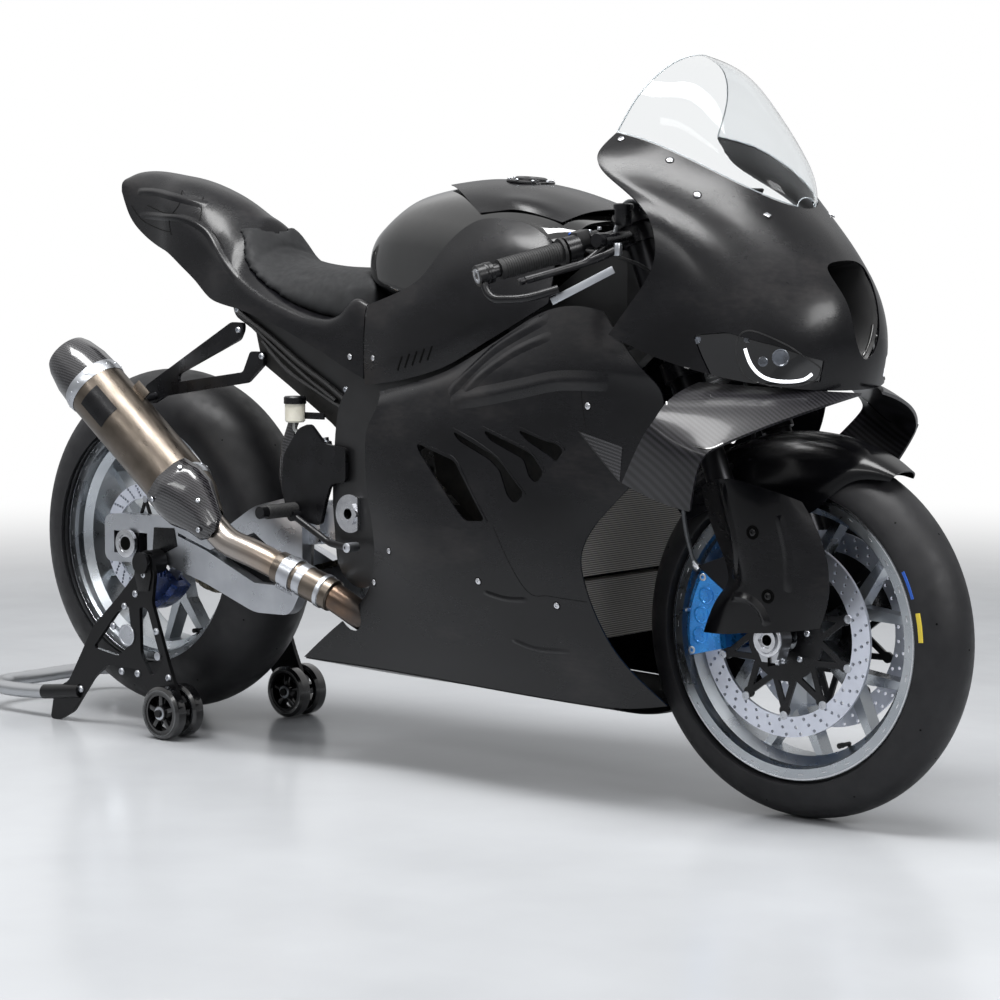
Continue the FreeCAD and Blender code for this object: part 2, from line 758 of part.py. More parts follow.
front_hose_share = ((0.8916, -0.0535, 0.2725), (0.8840, -0.0549, 0.2800), (0.8792, -0.0666, 0.3226),
                    (0.8778, -0.0686, 0.3844),
                    (0.8744, -0.0686, 0.4496))


def brake_hoses():
    """The front brake hoses, from each caliper up behind the leg to the lower clamp."""
    end = leg_point(-1, lower_clamp_up - 0.6 * clamp_thick - seat_fit) - ahead_dir * fork_upper_r * 1.17
    return both(tube([place(p) for p in front_hose_share] + [end], cord_radius))


# Frame, engine and swingarm

spar_share = ((0.8209, 0.6177), (0.7824, 0.6259), (0.7378, 0.6108), (0.6726, 0.5491), (0.5903, 0.5010),
              (0.4942, 0.4736),
              (0.4118, 0.4681), (0.3885, 0.4393), (0.3816, 0.4049), (0.3761, 0.3226), (0.3844, 0.2368),
              (0.4187, 0.2128), (0.4530, 0.2265), (0.4585, 0.2883),
              (0.4736, 0.3569), (0.5216, 0.3981), (0.6177, 0.4393), (0.7138, 0.4804), (0.7893, 0.5202),
              (0.8483, 0.5230))
tie_share = ((0.4427, 0.4475), (0.4200, 0.2299))
engine_share = ((0.4653, 0.2059), (0.4976, 0.1613), (0.6383, 0.1544), (0.6932, 0.1853), (0.7069, 0.2883),
                (0.6863, 0.3281), (0.4873, 0.3281),
                (0.4777, 0.3020))
head_share = ((0.5491, 0.3226), (0.6863, 0.3226), (0.6932, 0.4049), (0.6555, 0.4530), (0.5697, 0.4530),
              (0.5422, 0.3844))
lug_share = ((0.4804, 0.2745), (0.4804, 0.2402), (0.4393, 0.2471), (0.4393, 0.2677))
engine_bolt_share = ((0.4461, 0.2574), (0.5971, 0.4427))
arm_share = ((-0.0494, 0.2745), (-0.0494, 0.2141), (-0.0206, 0.2141), (0.0618, 0.2183), (0.1373, 0.1990),
             (0.2265, 0.1688), (0.2883, 0.1702),
             (0.3102, 0.2059), (0.3102, 0.3020), (0.2883, 0.3171), (0.2265, 0.3020), (0.1579, 0.2608),
             (0.0755, 0.2787), (-0.0206, 0.2773))
arm_hole_share = ((0.0892, 0.2553), (0.1407, 0.2402), (0.2265, 0.2059), (0.2711, 0.2059),
                  (0.2745, 0.2402), (0.2265, 0.2690), (0.1476, 0.2416),
                  (0.0892, 0.2594))
cross_share = ((0.2368, 0.2567), (0.3226, 0.2594), (0.3281, 0.2677), (0.3281, 0.3020), (0.3054, 0.3075),
               (0.2368, 0.3020))
subframe_share = ((0.4187, 0.4640), (0.4159, 0.4393), (0.4049, 0.4221), (0.3885, 0.4200),
                  (0.3775, 0.4461), (0.2608, 0.5045), (0.1949, 0.5381), (0.1901, 0.5573), (0.2073, 0.5655),
                  (0.2883, 0.5422), (0.3844, 0.5113))
rearset_share = ((0.3281, 0.4049), (0.3020, 0.3706), (0.2992, 0.3294), (0.3102, 0.2951),
                 (0.3638, 0.2883), (0.3741, 0.3226), (0.3816, 0.3404),
                 (0.4063, 0.3432), (0.4063, 0.3844), (0.3706, 0.3885), (0.3466, 0.4118))
rearset_bolt_share = ((0.3946, 0.3535), (0.3946, 0.3747))
peg_share = (0.3212, 0.3061)
pedal_share = ((0.3267, 0.2992), (0.3878, 0.2697), (0.4338, 0.2690))
radiator_share = ((0.7330, 0.2553), (0.7536, 0.2553), (0.7467, 0.3706), (0.7261, 0.3706))
cooler_share = ((0.7330, 0.1798), (0.7509, 0.1798), (0.7509, 0.2485), (0.7330, 0.2485))
spar_bend_shares = (0.655, 0.775, 0.87)
subframe_half_share = 0.0837


def spar_plan():
    """The right spar's plan shape, extruded upwards: wide at the pivot, narrow at the head."""
    bend, neck, nose = (wheelbase * s for s in spar_bend_shares)
    outline = [(0.0, -frame_inner), (bend, -frame_inner), (neck, -head_inner), (nose, -head_inner),
               (nose, -head_outer), (neck, -head_outer), (bend, -frame_outer), (0.0, -frame_outer)]
    points = [V(x, y, 0) for x, y in outline]
    return Part.Face(Part.makePolygon(points + points[:1])).extrude(V(0, 0, wheelbase))


def head_ends():
    """The head tube's lower and upper end, one moving gap inside the fork clamps."""
    return (steer_base + steer_dir * (lower_clamp_up + 0.6 * clamp_thick + moving_gap),
            steer_base + steer_dir * (upper_clamp_up - 0.5 * clamp_thick - moving_gap))


def head_tube():
    """The head tube as a plain cylinder."""
    low, high = head_ends()
    return rod(low, high, head_tube_r)


def main_frame():
    """The twin-spar frame: two spars, head tube, cross ties and pivot plates."""
    right = plate(spar_share, -frame_outer, 0, wheelbase * 0.02).common(spar_plan())
    left = mirrored(right)
    low, high = head_ends()
    head = head_tube()
    ties = [prism([low + V(-head_tube_r * 2.6, 0, head_tube_r), low + V(0, 0, head_tube_r),
                   high + V(0, 0, -head_tube_r), high + V(-head_tube_r * 2.6, 0, -head_tube_r * 1.2)],
                  -head_inner - overrun, head_inner + overrun)]
    for spot_share in tie_share:
        ties.append(rod(flat(spot_share, -frame_inner - overrun), flat(spot_share, frame_inner + overrun),
                        pivot_bolt_r))
    body = fused([right, left, head] + ties)
    body = body.cut(rod(low - steer_dir * overrun * 9, high + steer_dir * overrun * 9, head_bore_r))
    sweep = fork_half_spacing + fork_upper_r + clamp_thick * 0.35 + moving_gap * 2
    body = body.cut(rod(low - steer_dir * sweep * 2, low, sweep)).cut(rod(high,
                                                                          high + steer_dir * sweep * 2,
                                                                          sweep))
    pivot = pivot_axis()
    return body.cut(ring(pivot, pivot_bolt_r + seat_fit, 0, -frame_outer * 2, frame_outer * 2))


pivot_share = (0.4104, 0.3061)
sprocket_share = (0.4600, 0.3080)


def pivot_axis():
    """The swingarm pivot's centre."""
    return flat(pivot_share, 0)


def engine_block():
    """The engine as one plain block: crankcase and the forward-leaning cylinders."""
    case = plate(engine_share, -engine_half_width, engine_half_width, wheelbase * 0.02)
    head = plate(head_share, -engine_head_half_width, engine_head_half_width, wheelbase * 0.02)
    lug = plate(lug_share, -engine_head_half_width / 2, engine_head_half_width / 2)
    bolts = [rod(flat(spot_share, -frame_inner), flat(spot_share, frame_inner), engine_bolt_r)
             for spot_share in engine_bolt_share]
    pocket = ring(sprocket_centre(), front_sprocket_r + chain_plate_height + moving_gap, 0,
                  chain_y - chain_half_width - moving_gap, engine_half_width + overrun)
    shaft_face = chain_y - chain_half_width - moving_gap
    nose = ring(sprocket_centre(), gearbox_nose_r, 0, engine_head_half_width / 2, shaft_face)
    return fused([case, head, lug, nose] + bolts).cut(pocket)


def sprocket_centre():
    """The front sprocket's centre."""
    return flat(sprocket_share, 0)


def axle_slot(reach, half):
    """A box outline around the rear axle."""
    return [rear_axle + V(x, 0, z) for x, z in ((-reach, -half), (reach, -half), (reach, half),
                                                (-reach, half))]


def swingarm():
    """The braced swingarm: two deep arms, a cross box and the pivot barrels."""
    right = plate(arm_share, -arm_outer, -arm_inner, wheelbase * 0.012)
    window = plate(arm_hole_share, -arm_outer - overrun, -arm_inner + overrun)
    left = plate(arm_share, left_arm_inner, left_arm_outer, wheelbase * 0.012)
    left_window = plate(arm_hole_share, left_arm_inner - overrun, left_arm_outer + overrun)
    box = plate(cross_share, -arm_inner - overrun, left_arm_inner + overrun, wheelbase * 0.008)
    pivot = pivot_axis()
    barrel_r = pivot_bolt_r * 1.9
    horns = []
    for side in (-1, 1):
        y0, y1 = sorted((side * pivot_inner, side * pivot_inner * 0.62))
        neck = [flat(cross_share[1], 0), flat(cross_share[1], 0) + V(-overrun * 8, 0, 0),
                flat(cross_share[4], 0) + V(-overrun * 8, 0, 0), flat(cross_share[4], 0),
                pivot + V(-overrun, 0, barrel_r), pivot + V(-overrun, 0, -barrel_r)]
        horns += [ring(pivot, barrel_r, 0, y0, y1), prism(neck, y0, y1)]
    body = fused([right, left, box] + horns)
    body = body.cut(window).cut(left_window)
    body = body.cut(ring(pivot, pivot_bolt_r + seat_fit, 0, -frame_outer, frame_outer))
    slot = axle_slot(axle_slot_reach, axle_slot_half)
    body = body.cut(prism(slot, -arm_outer - overrun, -arm_inner + overrun))
    return body.cut(prism(slot, left_arm_inner - overrun, left_arm_outer + overrun))


rear_caliper_angles_deg = (286.0, 324.0)
rear_caliper_half = 20.0
rear_caliper_lug_share = ((0.0494, -0.0755, 0.1990), (0.0494, -0.0755, 0.2368))


def rear_caliper():
    """The rear brake caliper, hung under the right arm around the disc."""
    inner, outer = rear_disc_r - rear_disc_band * 1.25, rear_disc_r + caliper_reach * 0.8
    middle = -rear_disc_y - seat_fit
    profile = [(inner, middle + rear_caliper_half * 0.75), (outer, middle + rear_caliper_half * 0.75),
               (outer, middle - rear_caliper_half), (outer - caliper_chamfer / 2,
                                                     middle - rear_caliper_half * 1.4),
               (inner, middle - rear_caliper_half * 1.4)]
    body = caliper_sector(rear_axle, profile, *rear_caliper_angles_deg)
    return body.cut(ring(rear_axle, rear_disc_r + moving_gap, 0, -rear_disc_y - caliper_slot / 2,
                         -rear_disc_y + caliper_slot / 2))


def swingarm_pivot():
    """The hollow pivot bolt through frame and swingarm, with its faceted head plate."""
    pivot = pivot_axis()
    bolt = ring(pivot, pivot_bolt_r, 0, -pivot_half_width, pivot_half_width)
    plate_r = pivot_bolt_r * 2.1
    heads = []
    for side in (-1, 1):
        y0, y1 = sorted((side * (frame_outer + seat_fit), side * (pivot_half_width - overrun)))
        disc = ring(pivot, plate_r, 0, y0, y1)
        cut = prism([pivot + V(plate_r * 0.55, 0, -plate_r), pivot + V(plate_r * 1.2, 0, -plate_r),
                     pivot + V(plate_r * 1.2, 0, plate_r), pivot + V(plate_r * 0.55, 0, plate_r)],
                    y0 - overrun, y1 + overrun)
        heads.append(disc.cut(cut))
        hexagon = [pivot + V(math.cos(math.pi * k / 3), 0, math.sin(math.pi * k / 3)) * pivot_bolt_r * 1.3
                   for k in range(6)]
        heads.append(prism(hexagon, *sorted((y0 if side < 0 else y1, side * pivot_half_width))))
    return fused([bolt] + heads).cut(ring(pivot, pivot_bore_r, 0, -frame_outer * 2, frame_outer * 2))


def rear_axle_set():
    """The hollow rear axle with its blocks in the swingarm slots, nuts and stand spools."""
    solid = ring(rear_axle, rear_axle_r, 0, -arm_outer - overrun * 2, left_arm_outer + overrun * 2)
    parts = [solid]
    half = axle_slot_half - seat_fit
    for y0, y1 in ((-arm_outer - overrun * 0.6, -arm_inner),
                   (left_arm_inner, left_arm_outer + overrun * 0.6)):
        parts.append(prism(axle_slot(half * 1.3, half), y0, y1))
    for y0, y1 in ((-arm_outer - overrun * 2.6, -arm_outer - overrun * 0.6),
                   (left_arm_outer + overrun * 0.6, left_arm_outer + overrun * 2.6)):
        parts.append(ring(rear_axle, rear_axle_r * 1.6, 0, y0, y1))
    body = fused(parts)
    return body.cut(ring(rear_axle, rear_axle_r * 0.7, 0, -left_arm_outer * 2, left_arm_outer * 2))


def chain():
    """The drive chain's fixed loop, its pins on the straight runs, and the front sprocket."""
    rear, front = rear_axle, sprocket_centre()
    gap = front - rear
    reach = gap.Length
    along = gap * (1 / reach)
    up = V(-along.z, 0, along.x)
    lean = math.asin((rear_sprocket_r - front_sprocket_r) / reach)

    def loop(grow):
        """The chain's closed outline, grown outwards by a length."""
        r0, r1 = rear_sprocket_r + grow, front_sprocket_r + grow
        top = (up * math.cos(lean) + along * math.sin(lean))
        low = (up * -math.cos(lean) + along * math.sin(lean))
        a, b, c, d = rear + top * r0, front + top * r1, front + low * r1, rear + low * r0
        return Part.Wire([Part.LineSegment(a, b).toShape(), Part.Arc(b, front + along * r1, c).toShape(),
                          Part.LineSegment(c, d).toShape(),
                          Part.Arc(d, rear - along * r0, a).toShape()]), a, b
    big, a, b = loop(chain_plate_height / 2)
    small, _, _ = loop(-chain_plate_height / 2)
    depth = V(0, chain_plate, 0)
    band = Part.Face(big).extrude(depth).cut(Part.Face(small).extrude(depth))
    parts = [band.translated(V(0, y, 0)) for y in (chain_y - chain_half_width,
                                                   chain_y + chain_half_width - chain_plate)]
    _, a, b = loop(0)
    run = (b - a)
    count = int(run.Length / chain_pitch) - 4
    top = up * math.cos(lean) + along * math.sin(lean)
    low = up * -math.cos(lean) + along * math.sin(lean)
    for normal in (top, low):
        start = rear + normal * rear_sprocket_r
        line = (front + normal * front_sprocket_r) - start
        step = line.normalize() * chain_pitch
        for k in range(3, count):
            spot = start + step * k
            parts.append(ring(spot, chain_roller_r, 0, chain_y - chain_half_width,
                              chain_y + chain_half_width))
    parts.append(ring(front, front_sprocket_r, 0, chain_y - chain_half_width + chain_plate,
                      chain_y + chain_half_width - chain_plate))
    parts.append(ring(front, rear_axle_r, 0, chain_y - chain_half_width - moving_gap, chain_y))
    return fused(parts)


def subframe():
    """The tail subframe: two side plates and their cross tubes."""
    y = wheelbase * subframe_half_share
    right = plate(subframe_share, -y, -y + stand_plate, wheelbase * 0.008)
    parts = [right, mirrored(right)]
    for share in ((0.2150, 0.5450), (0.3950, 0.4850)):
        spot = flat(share, 0)
        parts.append(rod(spot + V(0, -y + stand_plate / 2, 0), spot + V(0, y - stand_plate / 2, 0),
                         stand_plate))
    return fused(parts)


def radiators():
    """The wide water radiator and the oil cooler under it, each with end tanks."""
    water = plate(radiator_share, -wheelbase * 0.112, wheelbase * 0.112)
    oil = plate(cooler_share, -wheelbase * 0.088, wheelbase * 0.088)
    return water, oil


def rearset(side):
    """A foot-control set: plate, peg and lever."""
    y0, y1 = side * (frame_outer + moving_gap), side * (frame_outer + moving_gap + stand_plate)
    body = plate(rearset_share, *sorted((y0, y1)), wheelbase * 0.006)
    peg_root = flat(peg_share, y1)
    peg = rod(peg_root - V(0, side * overrun, 0), peg_root + V(0, side * peg_length, 0), clip_on_r)
    start = flat(pedal_share[0], y1 + side * clip_on_r)
    pedal = tube([start, flat(pedal_share[1], start.y),
                  flat(pedal_share[2], start.y + side * clip_on_r * 2.4)],
                 clip_on_r * 0.55, clip_on_r)
    boss = rod(V(start.x, y1 - side * overrun, start.z), start + V(0, side * clip_on_r * 0.6, 0),
               clip_on_r * 0.9)
    bolts = [rod(flat(s, side * frame_outer), flat(s, y1 - side * overrun / 2), clip_on_r * 0.7)
             for s in rearset_bolt_share]
    return fused([body, peg, pedal, boss] + bolts)


# Exhaust

pipe_share = ((0.5251, 0.1383, 0.0), (0.4804, 0.1383, -0.0480), (0.4338, 0.1798, -0.1030),
              (0.4022, 0.2066, -0.1235),
              (0.2924, 0.2491, -0.1407))
muffler_axis_share = ((0.2141, 0.2835, -0.1455), (-0.0254, 0.4894, -0.1682))
hanger_share = ((0.1935, 0.5305), (0.2141, 0.5299), (0.2141, 0.5209), (0.2073, 0.5086), (0.0975, 0.4626),
                (0.0954, 0.4523), (0.2135, 0.4688), (0.2265, 0.4949),
                (0.2505, 0.4949), (0.2491, 0.4784), (0.2210, 0.4557), (0.0721, 0.4338), (0.0501, 0.4228),
                (0.0316, 0.4296), (0.0371, 0.4461))


def exhaust_point(point_share):
    """A point of the exhaust's route, given as (x, z, y) shares."""
    return V(point_share[0], point_share[2], point_share[1]) * wheelbase


def exhaust_route():
    """The link pipe's route, which ends a little way inside the muffler's mouth."""
    a, b = (exhaust_point(p) for p in muffler_axis_share)
    unit = (b - a).normalize()
    return [exhaust_point(p) for p in pipe_share] + [a - unit * pipe_r * 1.8, a + unit * pipe_r * 0.4]


def exhaust_pipe():
    """The link pipe from under the engine up to the muffler."""
    return tube(exhaust_route(), pipe_r, pipe_r * 1.5, pipe_r - pipe_wall)


def muffler():
    """The muffler: cone, oval can and the slash-cut end cap."""
    a, b = (exhaust_point(p) for p in muffler_axis_share)
    run = b - a
    unit = run * (1 / run.Length)
    stations_share = ((0.0, 0.68), (0.10, 0.80), (0.22, 1.0), (0.30, 1.0), (0.84, 1.0), (0.92, 0.94),
                      (1.0, 0.68))
    wires = [Part.Wire(Part.makeCircle(muffler_r * r, a + run * t, unit)) for t, r in stations_share]
    body = Part.makeLoft(wires, True, True)
    mouth = rod(b - unit * muffler_r, b + unit * overrun, muffler_r * 0.52)
    entry = rod(a - unit * overrun, a + unit * pipe_r * 0.5, pipe_r + seat_fit)
    return body.cut(mouth).cut(entry)


def muffler_hanger():
    """The tail bracket that carries the muffler, with its strap."""
    y = subframe_half_share * wheelbase
    return plate(hanger_share, -y - seat_fit - stand_plate, -y - seat_fit, wheelbase * 0.004)


# Stand

stand_outer_share = ((0.0426, 0.2320), (0.0714, 0.2320), (0.0769, 0.2059), (0.0714, 0.1716),
                     (0.1030, 0.0892), (0.1249, 0.0412), (0.1222, 0.0206), (0.0961, 0.0165),
                     (0.0810, 0.0316), (0.0412, 0.0824), (-0.0137, 0.0824), (-0.0412, 0.0631),
                     (-0.0824, 0.0137), (-0.1098, 0.0), (-0.1270, 0.0),
                     (-0.1181, 0.0398), (-0.0892, 0.0549), (-0.0412, 0.1304), (0.0137, 0.1784),
                     (0.0412, 0.2059))
stand_window_share = ((0.0480, 0.1647), (0.0631, 0.1620), (0.0906, 0.0892), (0.0686, 0.0755),
                      (0.0494, 0.1030))
stand_window2_share = ((-0.0412, 0.1030), (0.0069, 0.1544), (0.0275, 0.1647), (0.0343, 0.1167),
                       (0.0069, 0.0961))
handle_share = ((-0.0686, 0.0426), (-0.1647, 0.0309), (-0.2649, 0.0309))
hook_share = (0.0570, 0.2210)
stand_axle_share = (0.1057, 0.0343)


def stand_frame():
    """The paddock stand: two side plates with rollers' axles, hooks and the tube handle."""
    parts = []
    axle = stand_axle_share[0] * wheelbase
    for side in (-1, 1):
        y0, y1 = sorted((side * stand_plate_y, side * (stand_plate_y + stand_plate)))
        leaf = plate(stand_outer_share, y0, y1, wheelbase * 0.006)
        for hole in (stand_window_share, stand_window2_share):
            leaf = leaf.cut(plate(hole, y0 - overrun, y1 + overrun, wheelbase * 0.006))
        spot = flat(stand_axle_share, 0)
        spot.z = stand_roller_r
        inner = side * (stand_plate_y - stand_roller_width - moving_gap * 2)
        outer = side * (stand_plate_y + stand_plate + stand_roller_width + moving_gap * 2)
        bar = rod(spot + V(0, inner, 0), spot + V(0, outer, 0), roller_axle_r)
        hook = flat(hook_share, 0)
        cup = rod(hook + V(0, side * (left_arm_outer + overrun if side > 0 else arm_outer + overrun), 0),
                  hook + V(0, side * stand_plate_y, 0), spool_r * 1.9)
        parts += [leaf, bar, cup]
    a, b, c = (flat(p, -(stand_plate_y + stand_plate / 2)) for p in handle_share)
    d, e, f = (V(p.x, -p.y, p.z) for p in (c, b, a))
    parts.append(tube([a, b, c, d, e, f], stand_tube_r, wheelbase * 0.05))
    body = fused(parts)
    hook = flat(hook_share, 0)
    for side in (-1, 1):
        body = body.cut(rod(hook + V(0, side * arm_outer, 0), hook + V(0, side * stand_plate_y * 2, 0),
                            spool_waist_r + seat_fit))
    return body


def spools():
    """The swingarm spools on which the stand carries the bike."""
    parts = []
    hook = flat(hook_share, 0)
    for start, side in ((arm_outer + seat_fit, -1), (left_arm_outer + seat_fit, 1)):
        end = stand_plate_y + stand_plate + overrun
        parts.append(fused([rod(hook + V(0, side * start, 0), hook + V(0, side * end, 0), spool_waist_r),
                            rod(hook + V(0, side * (end - overrun / 2), 0),
                                hook + V(0, side * (end + overrun), 0),
                                spool_r * 1.7)]))
    return Part.makeCompound(parts)


def stand_rollers(side):
    """A pair of rollers on a stand axle, joined by their sleeve."""
    spot = flat(stand_axle_share, 0)
    spot.z = stand_roller_r
    inner_face = stand_plate_y - moving_gap
    outer_face = stand_plate_y + stand_plate + moving_gap
    wheels = []
    for low, high in ((inner_face - stand_roller_width, inner_face),
                      (outer_face, outer_face + stand_roller_width)):
        y0, y1 = sorted((side * low, side * high))
        wheels.append(ring(spot, stand_roller_r, roller_axle_r + running_gap, y0, y1))
    return Part.makeCompound(wheels)


# Bodywork. Each row is a line of (x, y, z) points on the right side, y being positive outwards.

pad_sink_share = 0.02
nose_share = (
    ((0.8051, 0.0947, 0.7515), (0.8497, 0.0975, 0.7412), (0.8950, 0.0892, 0.7227),
     (0.9389, 0.0721, 0.7001), (0.9780, 0.0446, 0.6781),
     (0.9931, 0.0165, 0.6692), (0.9952, 0.0, 0.6678)),
    ((0.7989, 0.1270, 0.7261), (0.8408, 0.1318, 0.7104), (0.8922, 0.1235, 0.6932),
     (0.9417, 0.1030, 0.6692), (0.9883, 0.0721, 0.6486),
     (1.0172, 0.0309, 0.6417), (1.0226, 0.0, 0.6417)),
    ((0.8504, 0.1455, 0.6925), (0.8854, 0.1407, 0.6760), (0.9231, 0.1304, 0.6555),
     (0.9609, 0.1132, 0.6314), (1.0055, 0.0858, 0.6108),
     (1.0432, 0.0412, 0.6040), (1.0515, 0.0, 0.6040)),
    ((0.8957, 0.1510, 0.6568), (0.9231, 0.1441, 0.6383), (0.9506, 0.1338, 0.6177),
     (0.9815, 0.1181, 0.5971), (1.0226, 0.0892, 0.5765),
     (1.0625, 0.0426, 0.5697), (1.0707, 0.0, 0.5697)),
    ((0.9073, 0.1565, 0.6136), (0.9334, 0.1496, 0.5957), (0.9609, 0.1393, 0.5765),
     (0.9918, 0.1235, 0.5573), (1.0329, 0.0947, 0.5422),
     (1.0679, 0.0453, 0.5353), (1.0762, 0.0, 0.5353)),
    ((0.8717, 0.1647, 0.5587), (0.9128, 0.1592, 0.5491), (0.9540, 0.1469, 0.5388),
     (0.9918, 0.1290, 0.5285), (1.0329, 0.0995, 0.5148),
     (1.0659, 0.0467, 0.5079), (1.0734, 0.0, 0.5065)),
    ((0.8511, 0.1668, 0.5326), (0.8991, 0.1633, 0.5134), (0.9506, 0.1510, 0.4976),
     (0.9918, 0.1318, 0.4873), (1.0295, 0.1030, 0.4798),
     (1.0570, 0.0467, 0.4743), (1.0652, 0.0, 0.4736)),
)
screen_share = (
    ((0.8051, 0.0947, 0.7515), (0.8511, 0.0, 0.8394)),
    ((0.8497, 0.0975, 0.7412), (0.8854, 0.0, 0.8270)),
    ((0.8950, 0.0892, 0.7227), (0.9231, 0.0, 0.7879)),
    ((0.9389, 0.0721, 0.7001), (0.9574, 0.0, 0.7447)),
    ((0.9780, 0.0446, 0.6781), (0.9815, 0.0, 0.7104)),
    ((0.9931, 0.0165, 0.6692), (0.9931, 0.0, 0.6795)),
)
side_share = (
    ((0.4770, 0.1249, 0.4557), (0.5765, 0.1345, 0.4784), (0.6328, 0.1393, 0.5017),
     (0.6884, 0.1414, 0.5292), (0.7447, 0.1421, 0.5566),
     (0.7893, 0.1455, 0.5628), (0.8270, 0.1455, 0.5573)),
    ((0.4859, 0.1345, 0.4496), (0.5800, 0.1469, 0.4667), (0.6555, 0.1565, 0.4846),
     (0.7275, 0.1620, 0.4955), (0.7893, 0.1661, 0.4983),
     (0.8511, 0.1675, 0.4997), (0.8922, 0.1647, 0.4969)),
    ((0.4887, 0.1414, 0.4393), (0.5868, 0.1524, 0.4502), (0.6692, 0.1606, 0.4667),
     (0.7481, 0.1647, 0.4770), (0.8099, 0.1661, 0.4791),
     (0.8717, 0.1633, 0.4763), (0.9197, 0.1565, 0.4695)),
    ((0.4695, 0.1428, 0.4084), (0.5491, 0.1565, 0.4118), (0.6314, 0.1633, 0.4152),
     (0.7138, 0.1668, 0.4187), (0.7893, 0.1668, 0.4200),
     (0.8579, 0.1620, 0.4187), (0.9101, 0.1537, 0.4118)),
    ((0.4695, 0.1407, 0.3432), (0.5491, 0.1579, 0.3432), (0.6314, 0.1647, 0.3432),
     (0.7138, 0.1682, 0.3466), (0.7687, 0.1675, 0.3466),
     (0.8140, 0.1647, 0.3466), (0.8531, 0.1592, 0.3487)),
    ((0.4763, 0.1338, 0.2828), (0.5422, 0.1524, 0.2780), (0.6177, 0.1620, 0.2780),
     (0.6863, 0.1647, 0.2814), (0.7412, 0.1647, 0.2828),
     (0.7756, 0.1633, 0.2855), (0.8058, 0.1606, 0.2910)),
    ((0.4585, 0.1235, 0.2183), (0.5285, 0.1407, 0.2183), (0.6040, 0.1496, 0.2183),
     (0.6795, 0.1524, 0.2196), (0.7412, 0.1524, 0.2231),
     (0.7797, 0.1524, 0.2299), (0.8140, 0.1510, 0.2368)),
    ((0.3844, 0.1132, 0.1633), (0.4804, 0.1235, 0.1613), (0.5834, 0.1304, 0.1579),
     (0.6795, 0.1318, 0.1592), (0.7550, 0.1304, 0.1620),
     (0.7962, 0.1297, 0.1647), (0.8387, 0.1277, 0.1716)),
    ((0.3294, 0.1030, 0.1249), (0.4393, 0.1084, 0.1249), (0.5491, 0.1112, 0.1222),
     (0.6589, 0.1112, 0.1181), (0.7481, 0.1098, 0.1153),
     (0.8236, 0.1071, 0.1139), (0.8854, 0.1030, 0.1235)),
)
vent_shares = (
    ((0.5642, 0.4015), (0.6273, 0.3844), (0.6754, 0.3191), (0.6445, 0.3171), (0.6328, 0.3267),
     (0.5690, 0.3919)),
    ((0.6225, 0.4187), (0.6877, 0.3940), (0.7008, 0.3850), (0.7337, 0.3535), (0.7207, 0.3411),
     (0.7090, 0.3493), (0.6973, 0.3775),
     (0.6809, 0.3892), (0.6328, 0.4077)),
    ((0.6706, 0.4221), (0.7275, 0.4043), (0.7440, 0.3981), (0.7618, 0.3782), (0.7509, 0.3658),
     (0.7406, 0.3720), (0.7323, 0.3919), (0.6809, 0.4111)),
    ((0.7227, 0.4248), (0.7605, 0.4139), (0.7797, 0.4111), (0.7893, 0.4043), (0.7783, 0.3905),
     (0.7701, 0.3967), (0.7344, 0.4139)),
)
cover_side_share = (
    ((0.4441, 0.1084, 0.5566), (0.4914, 0.1153, 0.5697), (0.5388, 0.1201, 0.5889),
     (0.5710, 0.1119, 0.6294), (0.6108, 0.0954, 0.6589), (0.6692, 0.0954, 0.6561),
     (0.7248, 0.1098, 0.6328)),
    ((0.4413, 0.1105, 0.5388), (0.4942, 0.1215, 0.5477), (0.5491, 0.1304, 0.5614),
     (0.5889, 0.1311, 0.5903), (0.6280, 0.1249, 0.6198), (0.6781, 0.1215, 0.6280),
     (0.7358, 0.1187, 0.6156)),
    ((0.4399, 0.1112, 0.5148), (0.4955, 0.1256, 0.5202), (0.5546, 0.1338, 0.5319),
     (0.6040, 0.1373, 0.5546), (0.6452, 0.1373, 0.5779), (0.6918, 0.1332, 0.5916),
     (0.7426, 0.1277, 0.5944)),
    ((0.4393, 0.1112, 0.4887), (0.4955, 0.1277, 0.4914), (0.5525, 0.1352, 0.5045),
     (0.6040, 0.1400, 0.5216), (0.6507, 0.1421, 0.5422), (0.6932, 0.1407, 0.5594),
     (0.7447, 0.1359, 0.5779)),
    ((0.4393, 0.1098, 0.4612), (0.4942, 0.1249, 0.4674), (0.5491, 0.1318, 0.4777),
     (0.5957, 0.1352, 0.4914), (0.6452, 0.1393, 0.5148), (0.6863, 0.1414, 0.5340),
     (0.7447, 0.1393, 0.5642)),
)
cover_top_share = (
    ((0.5957, 0.0824, 0.6644), (0.5731, 0.0714, 0.6754), (0.5456, 0.0549, 0.6877),
     (0.5079, 0.0275, 0.6973), (0.4818, 0.0, 0.6987)),
    ((0.6177, 0.0810, 0.6658), (0.6040, 0.0714, 0.6781), (0.5868, 0.0549, 0.6898),
     (0.5628, 0.0275, 0.7014), (0.5491, 0.0, 0.7056)),
    ((0.6452, 0.0803, 0.6685), (0.6383, 0.0714, 0.6802), (0.6314, 0.0549, 0.6870),
     (0.6177, 0.0275, 0.6980), (0.6108, 0.0, 0.7014)),
    ((0.6795, 0.0810, 0.6630), (0.6781, 0.0714, 0.6733), (0.6781, 0.0549, 0.6788),
     (0.6760, 0.0275, 0.6863), (0.6740, 0.0, 0.6891)),
    ((0.7207, 0.0851, 0.6534), (0.7241, 0.0741, 0.6575), (0.7275, 0.0549, 0.6630),
     (0.7310, 0.0275, 0.6671), (0.7330, 0.0, 0.6685)),
)
